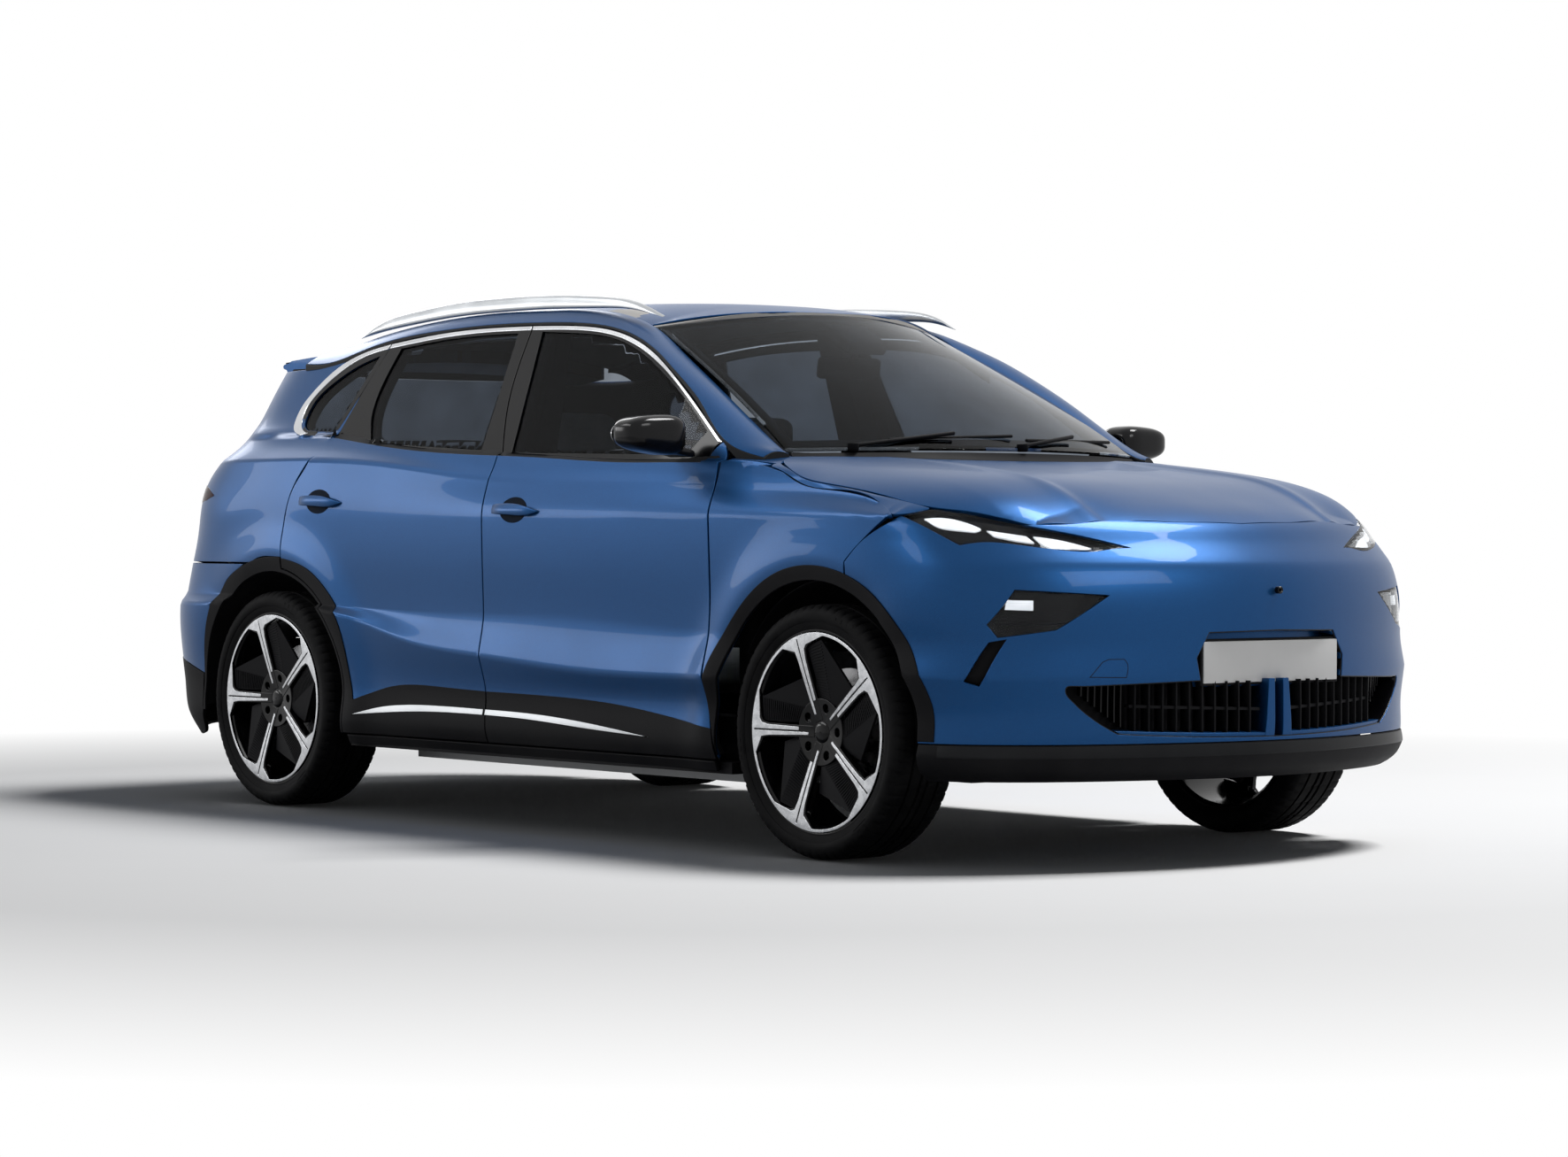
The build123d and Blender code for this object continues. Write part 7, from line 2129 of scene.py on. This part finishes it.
dress(trim_dark, "dashboard")
console_parts = [rounded_block("console_body", (-135, -108, 330), (540, 108, 560), 26),
                 rounded_block("console_lid", (-140, -98, 555), (120, 98, 600), 20),
                 rounded_block("selector", (250, -34, 560), (330, 34, 600), 14)]
finish_piece(merged("console", *console_parts), "body", trim_dark)
cups = [turned("cup", [(0, 30), (0, 40), (5, 42), (10, 40), (10, 30)], (200, y, 556), "Z",
               40) for y in (-42, 42)]
finish_piece(merged("cup_rings", *cups), "body", silver)

WHEEL_HUB, WHEEL_TILT = (345.0, -365.0, 965.0), 24.0
bpy.ops.mesh.primitive_torus_add(major_radius=0.174, minor_radius=0.0145, major_segments=96,
                                 minor_segments=18)
rim = bpy.context.object
wheel_parts = [rim]
bpy.ops.mesh.primitive_cylinder_add(vertices=48, radius=0.056, depth=0.05)
hub = bpy.context.object
bevel = hub.modifiers.new("bevel", "BEVEL")
bevel.width, bevel.segments = 0.014, 4
wheel_parts.append(hub)
for turn in (0, 180, 270):
    bpy.ops.mesh.primitive_cube_add(size=1)
    spoke = bpy.context.object
    spoke.scale = (0.12, 0.03 if turn != 270 else 0.05, 0.012)
    spoke.rotation_euler = (0, 0, math.radians(turn))
    spoke.location = (0.105 * math.cos(math.radians(turn)), 0.105 * math.sin(math.radians(turn)), -0.006)
    bevel = spoke.modifiers.new("bevel", "BEVEL")
    bevel.width, bevel.segments = 0.005, 3
    wheel_parts.append(spoke)
for part in wheel_parts:
    settle(part, "wheel_part", 45)
steering = merged("steering_wheel_rim", *wheel_parts)
turn = Matrix(((0, 0, -1), (-1, 0, 0), (0, 1, 0)))
tilt = Matrix.Rotation(math.radians(WHEEL_TILT), 3, "Y")
for vertex in steering.data.vertices:
    vertex.co = tilt @ (turn @ vertex.co) + Vector(WHEEL_HUB) * MM
steering.data.update()
pick(steering)
bpy.ops.object.mode_set(mode="EDIT")
bpy.ops.mesh.select_all(action="SELECT")
bpy.ops.mesh.normals_make_consistent(inside=False)
bpy.ops.object.mode_set(mode="OBJECT")
steering.select_set(False)
dress(trim_dark, "steering_wheel")
finish_piece(steering, "steering_wheel", seat_side)

for door, low_x, high_x in (("front", -120.0, 760.0), ("rear", -1010.0, -290.0)):
    parts = [rounded_block("arm_rest", (low_x + 60, 742, 612), (high_x - 180, 796, 664), 16),
             rounded_block("pull", (low_x + 160, 738, 690), (low_x + 330, 752, 712), 6),
             rounded_block("pocket", (low_x + 140, 752, 345), (high_x - 160, 792, 452), 16),
             turned("speaker", [(0, 6), (-3, 70), (-1, 76), (4, 78), (4, 6)], (high_x - 90, 790, 430), "Y",
                    56)]
    card = merged(f"{door}_door_trims_left", *parts)
    image = mirrored(card, f"{door}_door_trims_right")
    for piece, side in ((card, "left"), (image, "right")):
        finish_piece(piece, f"{door}_door_{side}", trim_dark)

# Windscreen fittings: the mirror, the sensor housing, the cowl and the wipers
mirror_parts = [rounded_block("mirror_head", (448, -122, 1352), (476, 122, 1418), 15, turn=(0, 8, 0)),
                bar_between("mirror_stalk", (476, 0, 1400), (505, 0, 1448), 9.0)]
finish_piece(merged("cabin_mirror", *mirror_parts), "body", trim_dark)
housing = rounded_block("sensor_housing", (430, -78, 1452), (560, 78, 1492), 12, turn=(0, 30, 0))
for vertex in housing.data.vertices:
    vertex.co.z -= 0.002
finish_piece(housing, "body", trim_dark)


def cowl_surface(u, v):
    """The plastic cowl between the bonnet's back edge and the windscreen."""
    across = u / 690.0
    front = np.c_[1200 - 165 * np.abs(across) ** 2.2, u, 1093 - 2 * np.abs(across)]
    back = np.c_[1168 - 176 * across**2, 0.985 * u, 1121 - 7 * across**2]
    part = (v / 60.0)[:, None]
    place = front * (1 - part) + back * part
    place[:, 2] -= 7 * 4 * part[:, 0] * (1 - part[:, 0])
    return place


cowl_runs = sides((-686, 0), (686, 0), (686, 60), (-686, 60))
finish_piece(build("cowl", panel_arrays([loop(cowl_runs, 14.0)], cowl_surface, 8.0, 12.0)), "body",
             black_plastic)


def on_screen(u, v, stand):
    """A place that stands off the windscreen."""
    place = screen_surface(np.array([u]), np.array([v]))[0]
    return place + np.array([0.5, 0.0, 0.85]) * stand


wipers = []
for pivot_u, elbow_u, tip_u in ((-470.0, -150.0, 60.0), (60.0, 330.0, 560.0)):
    wipers.append(bar_between("arm", on_screen(pivot_u, 6, 10), on_screen(elbow_u, 62, 16), 6.0))
    wipers.append(bar_between("blade", on_screen(2 * elbow_u - tip_u, 40, 9), on_screen(tip_u, 62, 9), 5.0))
    wipers.append(turned("pivot", [(0, 4), (0, 13), (4, 16), (22, 17), (22, 4)],
                         tuple(on_screen(pivot_u, 0, -6)), "Z", 32))
finish_piece(merged("screen_wipers", *wipers), "body", black_plastic)

# ------------------------------------------------------------------ CAD nodes that stay in view
for side in ("left", "right"):
    dress(black_plastic, f"side_frame_{side}")
    dress(coated_steel, f"front_knuckle_{side}")
dress(trim_light, "roof_panel")
dress(trim_dark, "roof_sides")
dress(black_plastic, "arch_liners", "tailgate")
dress(carpet, "floor_pan")
dress(cast_case, "battery_pack", "drive_motor")
dress(coated_steel, "front_subframe", "rear_subframe", "front_struts")
dress(paint, "charge_flap")
# ------------------------------------------------------------------ camera, lights and floor
def aim(obj, target, roll=0.0):
    """Turns a camera or lamp to look at a point."""
    direction = Vector(target) - obj.location
    turn = direction.to_track_quat("-Z", "Y") @ Matrix.Rotation(roll, 3, "Z").to_quaternion()
    obj.rotation_euler = turn.to_euler()


camera_data = bpy.data.cameras.new("camera")
camera = bpy.data.objects.new("camera", camera_data)
bpy.context.scene.collection.objects.link(camera)
bpy.context.scene.camera = camera
camera.location = (9.498, -7.808, 0.895)
camera_data.sensor_width = 36.0
camera_data.lens = 90.37
camera_data.shift_x = 0.01837
camera_data.shift_y = -0.00106
aim(camera, (0.1563, -0.1148, 0.7533), math.radians(0.082))


def area_lamp(name, place, target, size, power, colour=(1, 1, 1)):
    """A soft rectangular lamp turned towards a target."""
    data = bpy.data.lights.new(name, "AREA")
    data.shape = "RECTANGLE"
    data.size, data.size_y = size
    data.energy = power
    data.color = colour
    lamp = bpy.data.objects.new(name, data)
    bpy.context.scene.collection.objects.link(lamp)
    lamp.location = place
    aim(lamp, target)
    return lamp


key = area_lamp("roof_light", (3.2, 5.0, 11.5), (-0.2, 0.0, 0.0), (4.0, 4.0), 1550)
fills = [area_lamp("front_light", (9.5, 0.5, 5.5), (1.8, 0, 0.8), (4.0, 2.5), 250),
         area_lamp("side_light", (-3.5, -6.8, 6.0), (-0.4, -0.9, 0.7), (7.0, 2.5), 330),
         area_lamp("low_side_light", (-8.0, -6.0, 2.6), (-0.4, -0.9, 0.8), (4.0, 1.6), 110),
         area_lamp("rear_light", (-8.5, 2.5, 5.0), (-2.0, 0, 0.9), (5.0, 3.0), 230)]

BACKDROP_WHITE = 1.0


def seen_directly(tree):
    """1 for what the camera sees straight on, in a mirror finish or through glass."""
    light_path = tree.nodes.new("ShaderNodeLightPath")
    first = add_node(tree, "ShaderNodeMath", [(0, light_path.outputs["Is Camera Ray"]),
                                              (1, light_path.outputs["Is Glossy Ray"])],
                     operation="MAXIMUM")
    both = add_node(tree, "ShaderNodeMath", [(0, first.outputs[0]),
                                             (1, light_path.outputs["Is Transmission Ray"])],
                    operation="MAXIMUM")
    return both.outputs[0]


world = bpy.data.worlds.new("studio")
bpy.context.scene.world = world
world.use_nodes = True
tree = world.node_tree
for node in list(tree.nodes):
    tree.nodes.remove(node)
white = add_node(tree, "ShaderNodeBackground", Strength=BACKDROP_WHITE)
white.inputs["Color"].default_value = (1, 1, 1, 1)
soft = add_node(tree, "ShaderNodeBackground", Strength=0.09)
soft.inputs["Color"].default_value = (0.9, 0.94, 1.0, 1)
blend = tree.nodes.new("ShaderNodeMixShader")
tree.links.new(seen_directly(tree), blend.inputs[0])
tree.links.new(soft.outputs[0], blend.inputs[1])
tree.links.new(white.outputs[0], blend.inputs[2])
tree.links.new(blend.outputs[0], tree.nodes.new("ShaderNodeOutputWorld").inputs["Surface"])

# The floor is lit and shadowed near the car, with a plain lift for the camera, and plain white further out
bpy.ops.object.select_all(action="DESELECT")
bpy.ops.mesh.primitive_circle_add(vertices=96, radius=60.0, fill_type="NGON", location=(0, 0, -0.0005))
floor = bpy.context.object
floor.name = "studio_floor"
FLOOR_LIFT = 0.005
FLOOR_NEAR, FLOOR_FAR = 3.5, 6.0
floor_material, tree, shader, place = new_material("studio_floor_white")
tone = group_node(tree, cloudy, place, Scale=0.4, Low=0.85, High=0.9)
floor_colour = mixed_colour(tree, tone.outputs["Mask"], (0.88, 0.88, 0.88), (0.9, 0.9, 0.9))
tree.links.new(floor_colour, shader.inputs["Base Color"])
tree.links.new(tone.outputs["Roughness"], shader.inputs["Roughness"])
shader.inputs["Specular IOR Level"].default_value = 0.0
lift = add_node(tree, "ShaderNodeEmission", Strength=FLOOR_LIFT)
lit = tree.nodes.new("ShaderNodeAddShader")
tree.links.new(shader.outputs[0], lit.inputs[0])
tree.links.new(lift.outputs[0], lit.inputs[1])
plain = add_node(tree, "ShaderNodeEmission", Strength=BACKDROP_WHITE)
away = add_node(tree, "ShaderNodeVectorMath", [(0, place)], operation="LENGTH")
far = map_range(tree, away.outputs["Value"], FLOOR_NEAR, FLOOR_FAR, 0.0, 1.0)
near_or_far = tree.nodes.new("ShaderNodeMixShader")
tree.links.new(far, near_or_far.inputs[0])
tree.links.new(lit.outputs[0], near_or_far.inputs[1])
tree.links.new(plain.outputs[0], near_or_far.inputs[2])
by_ray = tree.nodes.new("ShaderNodeMixShader")
tree.links.new(seen_directly(tree), by_ray.inputs[0])
tree.links.new(shader.outputs[0], by_ray.inputs[1])
tree.links.new(near_or_far.outputs[0], by_ray.inputs[2])
tree.links.new(by_ray.outputs[0], tree.nodes["Material Output"].inputs["Surface"])
floor.data.materials.append(floor_material)

# The fill lamps leave the floor to the roof light, so that the car's shadow keeps one direction
unlit = bpy.data.collections.new("floor_out_of_the_fill_light")
unlit.objects.link(floor)
unlit.collection_objects[0].light_linking.link_state = "EXCLUDE"
for lamp in fills:
    lamp.light_linking.receiver_collection = unlit

scene = bpy.context.scene
scene.view_settings.view_transform = "Standard"
